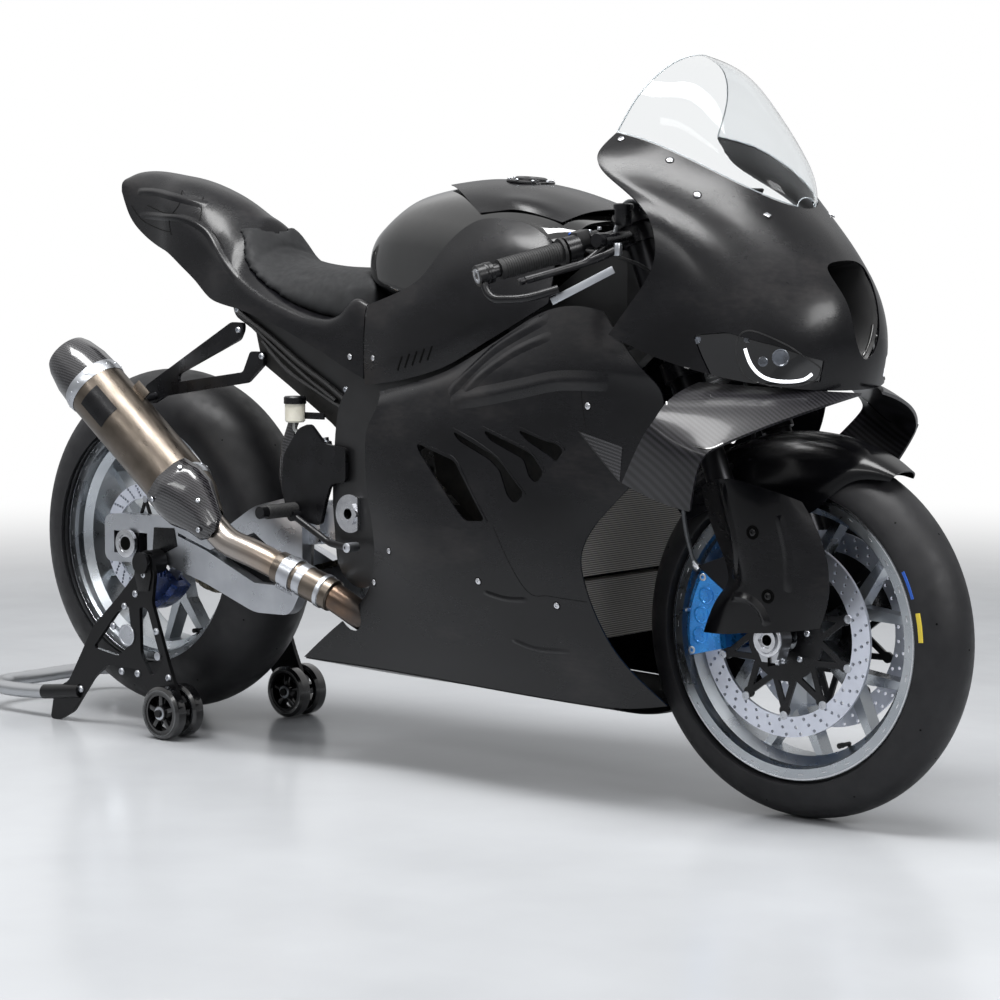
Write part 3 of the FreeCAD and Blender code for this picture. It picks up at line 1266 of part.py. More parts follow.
tank_share = ((0.3795, 0.6301, 0.0309, 0.6122, 0.5971), (0.3926, 0.6438, 0.0494, 0.6040, 0.5779),
              (0.4118, 0.6589, 0.0631, 0.5971, 0.5642),
              (0.4393, 0.6781, 0.0728, 0.5937, 0.5532), (0.4633, 0.6891, 0.0789, 0.5903, 0.5422),
              (0.5456, 0.7001, 0.0961, 0.5834, 0.5251), (0.6417, 0.6918, 0.1064, 0.5937, 0.5594),
              (0.7138, 0.6692, 0.1030, 0.6280, 0.6108),
              (0.7412, 0.6555, 0.0824, 0.6383, 0.6280))
tail_share = ((-0.0769, 0.7138, 0.6946, 0.0233, 0.7069, 0.0117),
              (-0.0604, 0.7207, 0.6637, 0.0261, 0.7014, 0.0130),
              (-0.0309, 0.7220, 0.6417, 0.0323, 0.6966, 0.0165),
              (0.0137, 0.7165, 0.6232, 0.0439, 0.6863, 0.0220),
              (0.0412, 0.7124, 0.6170, 0.0549, 0.6760, 0.0275),
              (0.0721, 0.7049, 0.6005, 0.0618, 0.6623, 0.0275),
              (0.1078, 0.6925, 0.5800, 0.0673, 0.6452, 0.0268),
              (0.1380, 0.6795, 0.5587, 0.0728, 0.6232, 0.0233),
              (0.1620, 0.6658, 0.5532, 0.0796, 0.6108, 0.0220),
              (0.1798, 0.6575, 0.5504, 0.0837, 0.6012, 0.0220),
              (0.1894, 0.6280, 0.5491, 0.0858, 0.5944, 0.0261),
              (0.2059, 0.6026, 0.5470, 0.0892, 0.5848, 0.0398),
              (0.2457, 0.5779, 0.5374, 0.0954, 0.5669, 0.0570),
              (0.2883, 0.5587, 0.5264, 0.0995, 0.5532, 0.0597),
              (0.3294, 0.5463, 0.5113, 0.1023, 0.5422, 0.0611),
              (0.3638, 0.5408, 0.4990, 0.1043, 0.5381, 0.0625),
              (0.3912, 0.5436, 0.4859, 0.1057, 0.5477, 0.0631),
              (0.4152, 0.5491, 0.4770, 0.1078, 0.5697, 0.0645),
              (0.4365, 0.5436, 0.4688, 0.1091, 0.5614, 0.0652))
pad_share = ((0.1469, 0.6520, 0.0439, 0.6177), (0.1551, 0.6555, 0.0480, 0.6150),
             (0.1682, 0.6555, 0.0535, 0.6081), (0.1798, 0.6520, 0.0590, 0.6012),
             (0.1922, 0.6349, 0.0645, 0.5937),
             (0.2032, 0.6177, 0.0686, 0.5868), (0.2265, 0.6054, 0.0741, 0.5752),
             (0.2608, 0.5992, 0.0782, 0.5628), (0.3020, 0.5964, 0.0810, 0.5491),
             (0.3432, 0.5957, 0.0810, 0.5388), (0.3775, 0.5957, 0.0782, 0.5395),
             (0.4015, 0.5978, 0.0728, 0.5491), (0.4159, 0.5999, 0.0673, 0.5594))
belly_share = (
    ((0.3308, 0.1009, 0.1229), (0.3294, 0.0686, 0.1153), (0.3281, 0.0343, 0.1098), (0.3281, 0.0, 0.1078)),
    ((0.4393, 0.1064, 0.1229), (0.4393, 0.0686, 0.1112), (0.4393, 0.0343, 0.1057), (0.4393, 0.0, 0.1036)),
    ((0.5491, 0.1091, 0.1201), (0.5491, 0.0686, 0.1098), (0.5491, 0.0343, 0.1043), (0.5491, 0.0, 0.1023)),
    ((0.6589, 0.1091, 0.1160), (0.6589, 0.0686, 0.1071), (0.6589, 0.0343, 0.1016), (0.6589, 0.0, 0.0995)),
    ((0.7481, 0.1078, 0.1132), (0.7481, 0.0686, 0.1043), (0.7481, 0.0343, 0.0988), (0.7481, 0.0, 0.0968)),
    ((0.8126, 0.1050, 0.1119), (0.8126, 0.0686, 0.1030), (0.8126, 0.0343, 0.0975), (0.8126, 0.0, 0.0954)),
)
winglet_share = (
    ((0.9417, 0.1235, 0.4798), (0.9815, 0.1187, 0.4784), (1.0364, 0.0892, 0.4736),
     (1.0789, 0.0206, 0.4688)),
    ((0.9375, 0.1476, 0.4736), (0.9746, 0.1407, 0.4729), (1.0261, 0.1201, 0.4674),
     (1.0707, 0.0755, 0.4592)),
    ((0.9375, 0.1798, 0.4612), (0.9691, 0.1750, 0.4578), (1.0089, 0.1633, 0.4489),
     (1.0432, 0.1476, 0.4393)),
    ((0.9403, 0.1990, 0.4441), (0.9609, 0.2004, 0.4324), (0.9828, 0.2004, 0.4228),
     (1.0144, 0.1935, 0.4187)),
    ((0.9321, 0.2045, 0.4338), (0.9554, 0.2059, 0.4187), (0.9780, 0.2066, 0.4104),
     (1.0034, 0.2045, 0.4111)),
    ((0.9073, 0.1922, 0.4049), (0.9348, 0.1942, 0.3898), (0.9609, 0.1956, 0.3795),
     (0.9883, 0.1949, 0.3809)),
    ((0.8813, 0.1771, 0.3761), (0.9115, 0.1784, 0.3638), (0.9430, 0.1798, 0.3548),
     (0.9732, 0.1798, 0.3514)),
)
lamp_share = ((0.9506, 0.5340), (0.9828, 0.5374), (1.0295, 0.5223), (1.0618, 0.5045), (1.0686, 0.4962),
              (1.0542, 0.4839), (0.9897, 0.4818),
              (0.9698, 0.4907), (0.9595, 0.5120))
intake_share = ((0.0329, 0.6067), (0.0206, 0.6108), (0.0, 0.6122), (-0.0206, 0.6108), (-0.0329, 0.6067),
                (-0.0316, 0.5765), (-0.0261, 0.5491),
                (-0.0151, 0.5161), (0.0, 0.5065), (0.0151, 0.5161), (0.0261, 0.5491), (0.0316, 0.5765))
stay_share = ((0.8257, 0.6040), (0.8785, 0.6108), (0.8909, 0.6417), (0.9128, 0.6520), (0.9231, 0.6129),
              (1.0089, 0.6005), (1.0158, 0.5800), (0.9609, 0.5642), (0.8305, 0.5765))
dash_share = ((0.8703, 0.6760), (0.8922, 0.6863), (0.9128, 0.6520), (0.8909, 0.6417))


def across(row, outward=0.0):
    """A full row from the right edge over the middle to the left edge."""
    right = [V(p.x, -p.y, p.z) for p in row]
    left = [V(p.x, p.y, p.z) for p in row if abs(p.y) > running_gap]
    return right + left[::-1]


def right_side(rows):
    """Rows of shares as points on the bike's right side."""
    return [[V(p[0], -p[1], p[2]) * wheelbase for p in row] for row in rows]


def nose_fairing():
    """The upper fairing: one smooth shell with its air intake and lamp openings."""
    body = shell([across([place(p) for p in row]) for row in nose_share], skin_wall)
    mouth = [V(wheelbase, y * wheelbase, z * wheelbase) for y, z in intake_share]
    curve = Part.BSplineCurve()
    curve.interpolate(mouth, PeriodicFlag=True)
    hole = Part.Face(Part.Wire(curve.toShape())).extrude(V(wheelbase / 4, 0, 0))
    body = body.cut(hole)
    lamp = plate(lamp_share, -wheelbase * 0.2, -wheelbase * 0.06, wheelbase * 0.005)
    return body.cut(lamp).cut(mirrored(lamp))


def headlights():
    """Two headlight bodies in the nose openings."""
    body = shell([across([place(p) - V(skin_wall, 0, 0) for p in row]) for row in nose_share],
                 skin_wall * 4)
    inset = wheelbase * 0.0012
    points = [flat(p, 0) for p in lamp_share]
    mid = V(sum(p.x for p in points) / len(points), 0, sum(p.z for p in points) / len(points))
    small = [p + (mid - p).normalize() * inset for p in points]
    lamp = prism(small, -wheelbase * 0.2, -wheelbase * 0.06, wheelbase * 0.004)
    right = body.common(lamp)
    return both(right)


def windscreen():
    """The clear bubble screen."""
    rows = []
    for low_share, top_share in screen_share:
        low, top = place(low_share) + V(0, 0, running_gap * 1.4), place(top_share)
        line = []
        for k in range(5):
            a = math.pi / 2 * k / 4
            line.append(V(low.x + (top.x - low.x) * math.sin(a), low.y * math.cos(a),
                          low.z + (top.z - low.z) * math.sin(a)))
        rows.append(across(line))
    return shell([r[::-1] for r in rows][::-1], screen_wall)


def pipe_clearance():
    """The space that the link pipe needs where it leaves the fairing."""
    return tube(exhaust_route(), pipe_r + moving_gap, pipe_r * 1.5)


def side_fairing():
    """The right side fairing with its slanted vents."""
    body = shell(right_side(side_share), skin_wall)
    for outline in vent_shares:
        body = body.cut(plate(outline, -wheelbase * 0.3, -frame_outer, wheelbase * 0.006))
    return body.cut(pipe_clearance())


def belly_fairing():
    """The belly pan that joins both side fairings underneath."""
    rows = [across([place(p) for p in row]) for row in belly_share]
    return shell(rows[::-1], skin_wall)


def tank_section(x, top, half, widest, low):
    """One cross-section of the tank, all sizes in shares."""
    rise = top - widest
    right = [(half * 0.55, low), (half, widest - (widest - low) * 0.45), (half, widest),
             (half * 0.93, widest + rise * 0.42), (half * 0.66, widest + rise * 0.84), (0.0, top)]
    line = [V(x, -y, z) * wheelbase for y, z in right]
    return line + [V(p.x, -p.y, p.z) for p in line[-2::-1]]


def fuel_tank():
    """The fuel tank's painted body."""
    return hull([tank_section(*row) for row in tank_share])


def tank_cover():
    """The matte covers of the tank: a knee panel either side and the top cover."""
    knee = biggest(shell(right_side(cover_side_share), skin_wall).cut(fuel_tank()))
    top = shell([across([place(p) for p in row]) for row in cover_top_share], skin_wall / 2)
    return Part.makeCompound([knee, mirrored(knee), top])


def seat_rows():
    """The seat unit's cross-sections, from the tail to the front."""
    rows = []
    for x, top, low, half, lip, ridge in tail_share:
        right = [(half, low), (half, low + (lip - low) * 0.55), (half * 0.93, lip),
                 (ridge, top - (top - low) * 0.06), (0.0, top)]
        line = [V(x, -y, z) * wheelbase for y, z in right]
        rows.append(line + [V(p.x, -p.y, p.z) for p in line[-2::-1]])
    return rows


def seat_unit():
    """The seat unit: tail hump and the pan under the pad, open underneath."""
    return shell(seat_rows(), skin_wall)


def seat_pad():
    """The foam seat pad, a plain closed solid on the pan."""
    rows = []
    for x, top, half, low in pad_share:
        foot = low - pad_sink_share
        right = [(half, foot), (half, foot + (top - foot) * 0.55), (half * 0.75, top - (top - foot) * 0.08),
                 (0.0, top)]
        line = [V(x, -y, z) * wheelbase for y, z in right]
        rows.append(line + [V(p.x, -p.y, p.z) for p in line[-2::-1]])
    pan = hull(seat_rows()).translated(V(0, 0, seat_fit))
    tank = fuel_tank().translated(V(-seat_fit, 0, -seat_fit))
    return biggest(hull(rows).cut(pan).cut(tank))


def winglet():
    """The right winglet: a plate from the nose, bent down and back in to the side."""
    return shell([r[::-1] for r in right_side(winglet_share)], winglet_thick, 1)


def fairing_stay():
    """The stay inside the nose that carries fairing, screen and instruments."""
    body = plate(stay_share, -stay_half, stay_half, wheelbase * 0.004).cut(head_tube())
    dash = plate(dash_share, -wheelbase * 0.055, wheelbase * 0.055, wheelbase * 0.004)
    return body, dash


mount_shares = (
    ("engine_block", "side_fairing_right", (0.5216, -0.1098, 0.2368), (0.5216, -0.1853, 0.2368)),
    ("engine_block", "side_fairing_right", (0.6589, -0.1098, 0.2745), (0.6589, -0.1990, 0.2745)),
    ("engine_block", "belly_fairing", (0.5491, -0.0618, 0.1647), (0.5491, -0.0618, 0.0892)),
    ("engine_block", "belly_fairing", (0.6177, -0.0618, 0.1647), (0.6177, -0.0618, 0.0892)),
    ("engine_block", "radiator", (0.6829, -0.0755, 0.3020), (0.7481, -0.0755, 0.3020)),
    ("engine_block", "oil_cooler", (0.6863, -0.0618, 0.2196), (0.7447, -0.0618, 0.2196)),
    ("main_frame", "side_fairing_right", (0.6349, -0.0961, 0.4667), (0.6349, -0.1990, 0.4667)),
    ("main_frame", "fuel_tank", (0.5903, -0.0906, 0.4942), (0.5903, -0.0906, 0.5903)),
    ("main_frame", "fuel_tank", (0.4427, -0.0275, 0.4475), (0.4427, -0.0275, 0.5903)),
    ("fuel_tank", "tank_cover", (0.5148, -0.0549, 0.5594), (0.5148, -0.1716, 0.5594)),
    ("fuel_tank", "tank_cover", (0.6383, -0.0549, 0.5903), (0.6383, -0.1716, 0.5903)),
    ("fuel_tank", "tank_cover", (0.6589, -0.0343, 0.6589), (0.6589, -0.0343, 0.7275)),
    ("subframe", "seat_unit", (0.2148, -0.0412, 0.5450), (0.2148, -0.0412, 0.6589)),
    ("subframe", "seat_unit", (0.3946, -0.0412, 0.4852), (0.3946, -0.0412, 0.5697)),
    ("fairing_stay", "nose_fairing", (0.9952, -0.0137, 0.5889), (0.9952, -0.1579, 0.5889)),
)


strap_share = ((0.0549, -0.0851, 0.4338), (0.0549, -0.1716, 0.4200))
cover_mount_ups = (130.0, 200.0)
fender_mount_ups = (245.0, 285.0)


def joined_pairs(pair, extras):
    """A pair of solids, each with the extra piece that touches it."""
    return Part.makeCompound([fused([solid] + [e for e in extras if e.distToShape(solid)[0] < seat_fit])
                              for solid in pair.Solids])


def mount(nodes, held):
    """Add to each carrier the mounts that reach the piece it holds, the same on both sides."""
    for carrier, skin, start, end in held:
        peg = mount_to(place(start), place(end), mount_r, nodes[skin])
        nodes[carrier] = fused([nodes[carrier], peg, mirrored(peg)])


def build():
    """Every node of the bike by name, in the bike's own frame."""
    water, oil = radiators()
    stay, dash = fairing_stay()
    side, wing = side_fairing(), winglet()
    nodes = {}
    nodes.update(front_wheel())
    nodes.update(rear_wheel())
    nodes.update({
        "fork_legs": fork_legs(), "front_axle": front_axle_bar(), "triple_clamps": triple_clamps(),
        "clip_on_bars": clip_ons(), "grips": grips(), "bar_controls": controls(),
        "lever_guards": lever_guards(), "front_fender": front_fender(), "fork_covers": fork_covers(),
        "front_calipers": front_calipers(),
        "main_frame": main_frame(), "engine_block": engine_block(), "swingarm": swingarm(),
        "rear_caliper": rear_caliper(), "brake_hoses": brake_hoses(),
        "swingarm_pivot": swingarm_pivot(), "rear_axle": rear_axle_set(), "drive_chain": chain(),
        "subframe": subframe(), "radiator": water, "oil_cooler": oil,
        "rearset_right": rearset(-1), "rearset_left": rearset(1),
        "exhaust_pipe": exhaust_pipe(), "muffler": muffler(), "muffler_hanger": muffler_hanger(),
        "nose_fairing": nose_fairing(), "headlights": headlights(), "windscreen": windscreen(),
        "side_fairing_right": side, "side_fairing_left": mirrored(side),
        "belly_fairing": belly_fairing(), "fuel_tank": fuel_tank(), "tank_cover": tank_cover(),
        "seat_unit": seat_unit(), "seat_pad": seat_pad(),
        "winglet_right": wing, "winglet_left": mirrored(wing),
        "fairing_stay": stay, "dashboard": dash,
        "stand_frame": stand_frame(), "stand_spools": spools(),
        "stand_rollers_right": stand_rollers(-1), "stand_rollers_left": stand_rollers(1),
    })
    mount(nodes, mount_shares)
    strap = mount_to(place(strap_share[0]), place(strap_share[1]), mount_r, nodes["muffler"])
    nodes["muffler_hanger"] = fused([nodes["muffler_hanger"], strap])
    lug = mount_to(place(rear_caliper_lug_share[0]), place(rear_caliper_lug_share[1]), mount_r,
                   nodes["swingarm"])
    nodes["rear_caliper"] = fused([nodes["rear_caliper"], lug])
    for up in cover_mount_ups:
        peg = mount_to(leg_point(-1, up), leg_point(-1, up) - side_dir * wheelbase / 20, mount_r,
                       nodes["fork_covers"].Solids[0])
        nodes["fork_legs"] = joined_pairs(nodes["fork_legs"], [peg, mirrored(peg)])
    for up in fender_mount_ups:
        peg = mount_to(leg_point(-1, up), leg_point(-1, up) + side_dir * wheelbase / 20, mount_r,
                       nodes["front_fender"])
        nodes["fork_legs"] = joined_pairs(nodes["fork_legs"], [peg, mirrored(peg)])
    return nodes


def main():
    """Build, shift to the footprint's middle and write one STEP file a node."""
    os.makedirs("parts", exist_ok=True)
    nodes = build()
    front = wheelbase + front_tyre_r
    back = wheelbase * handle_share[-1][0] - stand_tube_r
    shift = V(-(front + back) / 2, 0, 0)
    for name, shape in nodes.items():
        shape.translated(shift).exportStep(f"parts/{name}.step")


main()
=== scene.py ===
"""A faired sport bike on a paddock stand, dressed over its CAD frame."""
import logging
import math
from dataclasses import dataclass, field
from enum import Enum
from typing import Iterable, Sequence

import bmesh
import bpy
from bpy.types import Material, Mesh, Node, NodeSocket, NodeTree, Object
from mathutils import Matrix, Vector
from mathutils.bvhtree import BVHTree


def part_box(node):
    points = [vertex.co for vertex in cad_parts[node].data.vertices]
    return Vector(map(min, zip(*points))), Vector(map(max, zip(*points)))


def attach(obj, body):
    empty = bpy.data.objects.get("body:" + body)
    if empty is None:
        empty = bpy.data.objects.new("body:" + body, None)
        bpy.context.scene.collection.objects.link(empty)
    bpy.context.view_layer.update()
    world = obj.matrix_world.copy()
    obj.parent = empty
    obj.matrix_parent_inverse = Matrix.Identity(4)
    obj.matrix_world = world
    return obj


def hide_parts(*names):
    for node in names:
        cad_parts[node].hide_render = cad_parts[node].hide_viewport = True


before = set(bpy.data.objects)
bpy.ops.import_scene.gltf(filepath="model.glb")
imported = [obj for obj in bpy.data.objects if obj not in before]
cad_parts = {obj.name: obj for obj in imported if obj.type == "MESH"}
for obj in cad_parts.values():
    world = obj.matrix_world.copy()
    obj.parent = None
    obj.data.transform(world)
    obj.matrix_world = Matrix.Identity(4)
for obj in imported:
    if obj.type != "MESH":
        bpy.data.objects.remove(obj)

log = logging.getLogger("sport_bike")

Pair = tuple[float, float]
Triple = tuple[float, float, float]

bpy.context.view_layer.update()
RAKE = math.radians(22.6)
SHIFT = -0.6775
FRONT_AXLE = Vector((1.457 + SHIFT, 0.0, 0.298))
REAR_AXLE = Vector((SHIFT, 0.0, 0.350))
STEER = Vector((-math.sin(RAKE), 0.0, math.cos(RAKE)))
AHEAD = Vector((math.cos(RAKE), 0.0, math.sin(RAKE)))
ACROSS = Vector((0.0, 1.0, 0.0))
FORWARD = Vector((1.0, 0.0, 0.0))
UP = Vector((0.0, 0.0, 1.0))
ORIGIN = Vector((0.0, 0.0, 0.0))


def at(x: float, y: float, z: float) -> Vector:
    """A point from millimetres behind or ahead of the rear axle to the frame's metres.

    Args:
        x: Millimetres ahead of the rear axle.
        y: Millimetres to the bike's left.
        z: Millimetres above the floor.

    Returns:
        The point in metres in the CAD frame.
    """
    return Vector((x / 1000 + SHIFT, y / 1000, z / 1000))


def linear(hex_colour: str) -> tuple[float, float, float, float]:
    """An sRGB hex colour as the linear colour that a shader socket takes.

    Args:
        hex_colour: Six hex digits after a hash.

    Returns:
        Red, green, blue and alpha.
    """
    parts = [int(hex_colour[k:k + 2], 16) / 255 for k in (1, 3, 5)]
    rgb = [c / 12.92 if c <= 0.04045 else ((c + 0.055) / 1.055) ** 2.4 for c in parts]
    return rgb[0], rgb[1], rgb[2], 1.0


def add_node(tree: NodeTree, kind: str, settings: dict | None = None,
             links: dict | None = None) -> Node:
    """Adds one node to a tree with its settings, values and links.

    Args:
        tree: The shader or geometry tree.
        kind: The node's type name.
        settings: Attributes of the node, or input values by socket name or index.
        links: Sockets to link from, by the name or index of the input.

    Returns:
        The new node.
    """
    node = tree.nodes.new(kind)
    for key, value in (settings or {}).items():
        if isinstance(key, str) and hasattr(node, key):
            setattr(node, key, value)
        else:
            node.inputs[key].default_value = value
    for key, socket in (links or {}).items():
        tree.links.new(socket, node.inputs[key])
    return node


def ramp(tree: NodeTree, source: NodeSocket,
         stops: Sequence[tuple[float, str | float]]) -> NodeSocket:
    """A colour ramp over a value.

    Args:
        tree: The shader tree.
        source: The value that drives the ramp.
        stops: Place and colour of each stop, a colour being hex or a grey level.

    Returns:
        The ramp's colour output.
    """
    node = add_node(tree, "ShaderNodeValToRGB", links={"Fac": source})
    band = node.color_ramp
    while len(band.elements) < len(stops):
        band.elements.new(1.0)
    for element, (place, colour) in zip(band.elements, stops):
        element.position = place
        element.color = linear(colour) if isinstance(colour, str) else (colour, colour, colour, 1.0)
    return node.outputs["Color"]


def add_bump(tree: NodeTree, shader: Node, height: NodeSocket, strength: float, distance: float = 0.0004) -> None:
    """Joins a height to a shader's normal.

    Args:
        tree: The shader tree.
        shader: The shader that it roughens.
        height: The height's socket.
        strength: 0 for flat, 1 for full.
        distance: Metres that a height of one stands for.
    """
    bump = add_node(tree, "ShaderNodeBump", {"Strength": strength, "Distance": distance}, {"Height": height})
    tree.links.new(bump.outputs["Normal"], shader.inputs["Normal"])


# Finishes

# A Wave texture's bands are this many millimetres apart, over its scale.
WAVE_MM = 1000 * math.pi / 10


@dataclass(frozen=True)
class Finish:
    """A real material: what it is called, how it reflects, and how its surface was made."""

    name: str
    colour: str
    roughness: float = 0.5
    metallic: float = 0.0
    coat: float = 0.0
    coat_roughness: float = 0.03
    tint: str = ""
    tint_size_mm: float = 60.0
    rough_spread: float = 0.08
    grain_size_mm: float = 1.2
    grain_depth: float = 0.05
    transmission: float = 0.0
    ior: float = 1.45
    specular: float = 0.5
    glow: float = 0.0
    stretch: Triple = (1.0, 1.0, 1.0)

    def noise(self, tree: NodeTree, size_mm: float, detail: float = 4.0,
              stretch: Triple | None = None) -> NodeSocket:
        """Noise over Object coordinates whose features are size_mm across.

        Args:
            tree: The shader tree.
            size_mm: Size of the pattern's features in millimetres.
            detail: Noise detail.
            stretch: Scale along each axis.

        Returns:
            The noise value.
        """
        place = add_node(tree, "ShaderNodeTexCoord").outputs["Object"]
        turned = add_node(tree, "ShaderNodeMapping", {"Scale": stretch or self.stretch}, {"Vector": place})
        made = add_node(tree, "ShaderNodeTexNoise", {"Scale": 1000 / size_mm, "Detail": detail},
                        {"Vector": turned.outputs["Vector"]})
        return made.outputs["Fac"]

    def pattern(self, tree: NodeTree, shader: Node) -> None:
        """Colour, roughness and bump of the surface; finishes with a pattern of their own override it.

        Args:
            tree: The shader tree.
            shader: Its main shader.
        """
        if self.tint:
            spots = self.noise(tree, self.tint_size_mm)
            tree.links.new(ramp(tree, spots, ((0.38, self.colour), (0.68, self.tint))), shader.inputs["Base Color"])
        self.surface(tree, shader)

    def surface(self, tree: NodeTree, shader: Node) -> None:
        """Uneven roughness and a fine grain.

        Args:
            tree: The shader tree.
            shader: Its main shader.
        """
        blotch = self.noise(tree, self.tint_size_mm * 0.6)
        low, high = max(0.02, self.roughness - self.rough_spread), min(1.0, self.roughness + self.rough_spread)
        tree.links.new(ramp(tree, blotch, ((0.3, low), (0.7, high))), shader.inputs["Roughness"])
        if self.grain_depth:
            add_bump(tree, shader, self.noise(tree, self.grain_size_mm, 2.0), self.grain_depth)

    def material(self) -> Material:
        """The finish as a node material, made once and then reused.

        Returns:
            The material.
        """
        made = bpy.data.materials.get(self.name)
        if made:
            return made
        made = bpy.data.materials.new(self.name)
        made.use_nodes = True
        tree = made.node_tree
        shader = tree.nodes["Principled BSDF"]
        for socket, value in (("Base Color", linear(self.colour)), ("Roughness", self.roughness),
                              ("Metallic", self.metallic), ("Coat Weight", self.coat),
                              ("Coat Roughness", self.coat_roughness), ("Transmission Weight", self.transmission),
                              ("Emission Color", linear(self.colour)), ("Emission Strength", self.glow),
                              ("Specular IOR Level", self.specular)):
            shader.inputs[socket].default_value = value
        if not self.metallic:
            shader.inputs["IOR"].default_value = self.ior
        self.pattern(tree, shader)
        return made


@dataclass(frozen=True)
class Zoned(Finish):
    """One part finished two ways: the main finish, and another inside a ball around a point."""

    centre_mm: Triple = (0.0, 0.0, 0.0)
    reach_mm: float = 60.0
    inner: str = "#b5b7bb"
    inner_roughness: float = 0.3
    inner_metallic: float = 1.0
    mirrored: bool = True

    def pattern(self, tree: NodeTree, shader: Node) -> None:
        """Colour, roughness and metal by distance from the ball's middle, alike on both sides.

        Args:
            tree: The shader tree.
            shader: Its main shader.
        """
        place = add_node(tree, "ShaderNodeTexCoord").outputs["Object"]
        if self.mirrored:
            place = add_node(tree, "ShaderNodeVectorMath", {"operation": "MULTIPLY", 1: (1.0, 0.0, 1.0)},
                             {0: place}).outputs[0]
        x, y, z = self.centre_mm
        gap = add_node(tree, "ShaderNodeVectorMath", {"operation": "DISTANCE", 1: tuple(at(x, y, z))}, {0: place})
        inside = add_node(tree, "ShaderNodeMath", {"operation": "LESS_THAN", 1: self.reach_mm / 1000},
                          {0: gap.outputs["Value"]}).outputs[0]
        for name, stops in (("Base Color", (self.colour, self.inner)),
                            ("Roughness", (self.roughness, self.inner_roughness)),
                            ("Metallic", (self.metallic, self.inner_metallic))):
            tree.links.new(ramp(tree, inside, ((0.2, stops[0]), (0.8, stops[1]))), shader.inputs[name])
        add_bump(tree, shader, self.noise(tree, self.grain_size_mm, 2.0), self.grain_depth)


@dataclass(frozen=True)
class Sanded(Finish):
    """Bare black laminate rubbed down for paint: dark, with brown-grey hazes in broad soft strokes."""

    haze: str = "#39322b"
    haze_size_mm: float = 210.0

    def pattern(self, tree: NodeTree, shader: Node) -> None:
        """Broad hazes, finer scuffs and a roughness that follows both.

        Args:
            tree: The shader tree.
            shader: Its main shader.
        """
        broad = self.noise(tree, self.haze_size_mm, 3.0, (0.8, 1.0, 1.7))
        fine = self.noise(tree, 9.0, 6.0, (0.5, 1.0, 1.6))
        both = add_node(tree, "ShaderNodeMath", {"operation": "MULTIPLY_ADD", 1: 0.22, 2: -0.11}, {0: fine})
        total = add_node(tree, "ShaderNodeMath", {"operation": "ADD"}, {0: broad, 1: both.outputs[0]}).outputs[0]
        tree.links.new(ramp(tree, total, ((0.36, self.colour), (0.55, self.tint), (0.78, self.haze))),
                       shader.inputs["Base Color"])
        low, high = self.roughness - self.rough_spread, self.roughness + self.rough_spread
        tree.links.new(ramp(tree, total, ((0.35, low), (0.7, high))), shader.inputs["Roughness"])
        add_bump(tree, shader, self.noise(tree, self.grain_size_mm, 2.0), self.grain_depth, 0.0003)


@dataclass(frozen=True)
class Carbon(Finish):
    """Twill-woven carbon laminate under clear resin: diagonal bands that catch the light by turns."""

    tow_mm: float = 3.0
    tows_a_band: float = 2.0
    light: str = "#232226"
    lean: Triple = (0.0, 0.0, 0.0)

    def pattern(self, tree: NodeTree, shader: Node) -> None:
        """Diagonal twill bands, each broken into tows, over Object coordinates.

        Args:
            tree: The shader tree.
            shader: Its main shader.
        """
        place = add_node(tree, "ShaderNodeTexCoord").outputs["Object"]
        turned = add_node(tree, "ShaderNodeMapping", {"Rotation": self.lean}, {"Vector": place})
        rate = WAVE_MM / self.tow_mm
        bands = add_node(tree, "ShaderNodeTexWave", {"bands_direction": "DIAGONAL", "Scale": rate / self.tows_a_band,
                                                     "Distortion": 0.4, "Detail": 1.0, "Detail Scale": 0.5},
                         {"Vector": turned.outputs["Vector"]})
        tows = add_node(tree, "ShaderNodeTexWave", {"bands_direction": "X", "Scale": rate, "Distortion": 0.0},
                        {"Vector": turned.outputs["Vector"]})
        mixed = add_node(tree, "ShaderNodeMath", {"operation": "MULTIPLY_ADD", 1: 0.35},
                         {0: tows.outputs["Fac"], 2: bands.outputs["Fac"]})
        tree.links.new(ramp(tree, mixed.outputs[0], ((0.35, self.colour), (1.0, self.light))),
                       shader.inputs["Base Color"])


@dataclass(frozen=True)
class Heated(Finish):
    """Titanium tube coloured by heat: straw and bronze close to the engine, clean towards the can."""

    hot_x_mm: float = 640.0
    cool_x_mm: float = 380.0

    def pattern(self, tree: NodeTree, shader: Node) -> None:
        """Heat colours along the bike's length, broken up by noise.

        Args:
            tree: The shader tree.
            shader: Its main shader.
        """
        place = add_node(tree, "ShaderNodeTexCoord").outputs["Object"]
        split = add_node(tree, "ShaderNodeSeparateXYZ", links={"Vector": place})
        span = add_node(tree, "ShaderNodeMapRange", {"From Min": self.cool_x_mm / 1000 + SHIFT,
                                                     "From Max": self.hot_x_mm / 1000 + SHIFT},
                        {"Value": split.outputs["X"]})
        spots = self.noise(tree, 30.0)
        total = add_node(tree, "ShaderNodeMath", {"operation": "MULTIPLY_ADD", 1: 0.35, 2: -0.17}, {0: spots})
        mixed = add_node(tree, "ShaderNodeMath", {"operation": "ADD"}, {0: span.outputs[0], 1: total.outputs[0]})
        colours = ((0.0, "#97908a"), (0.35, "#928579"), (0.6, "#86735f"), (0.8, "#675548"), (1.0, "#47423f"))
        tree.links.new(ramp(tree, mixed.outputs[0], colours), shader.inputs["Base Color"])
        add_bump(tree, shader, self.noise(tree, 0.8, 2.0, (1.0, 6.0, 6.0)), 0.05, 0.0003)


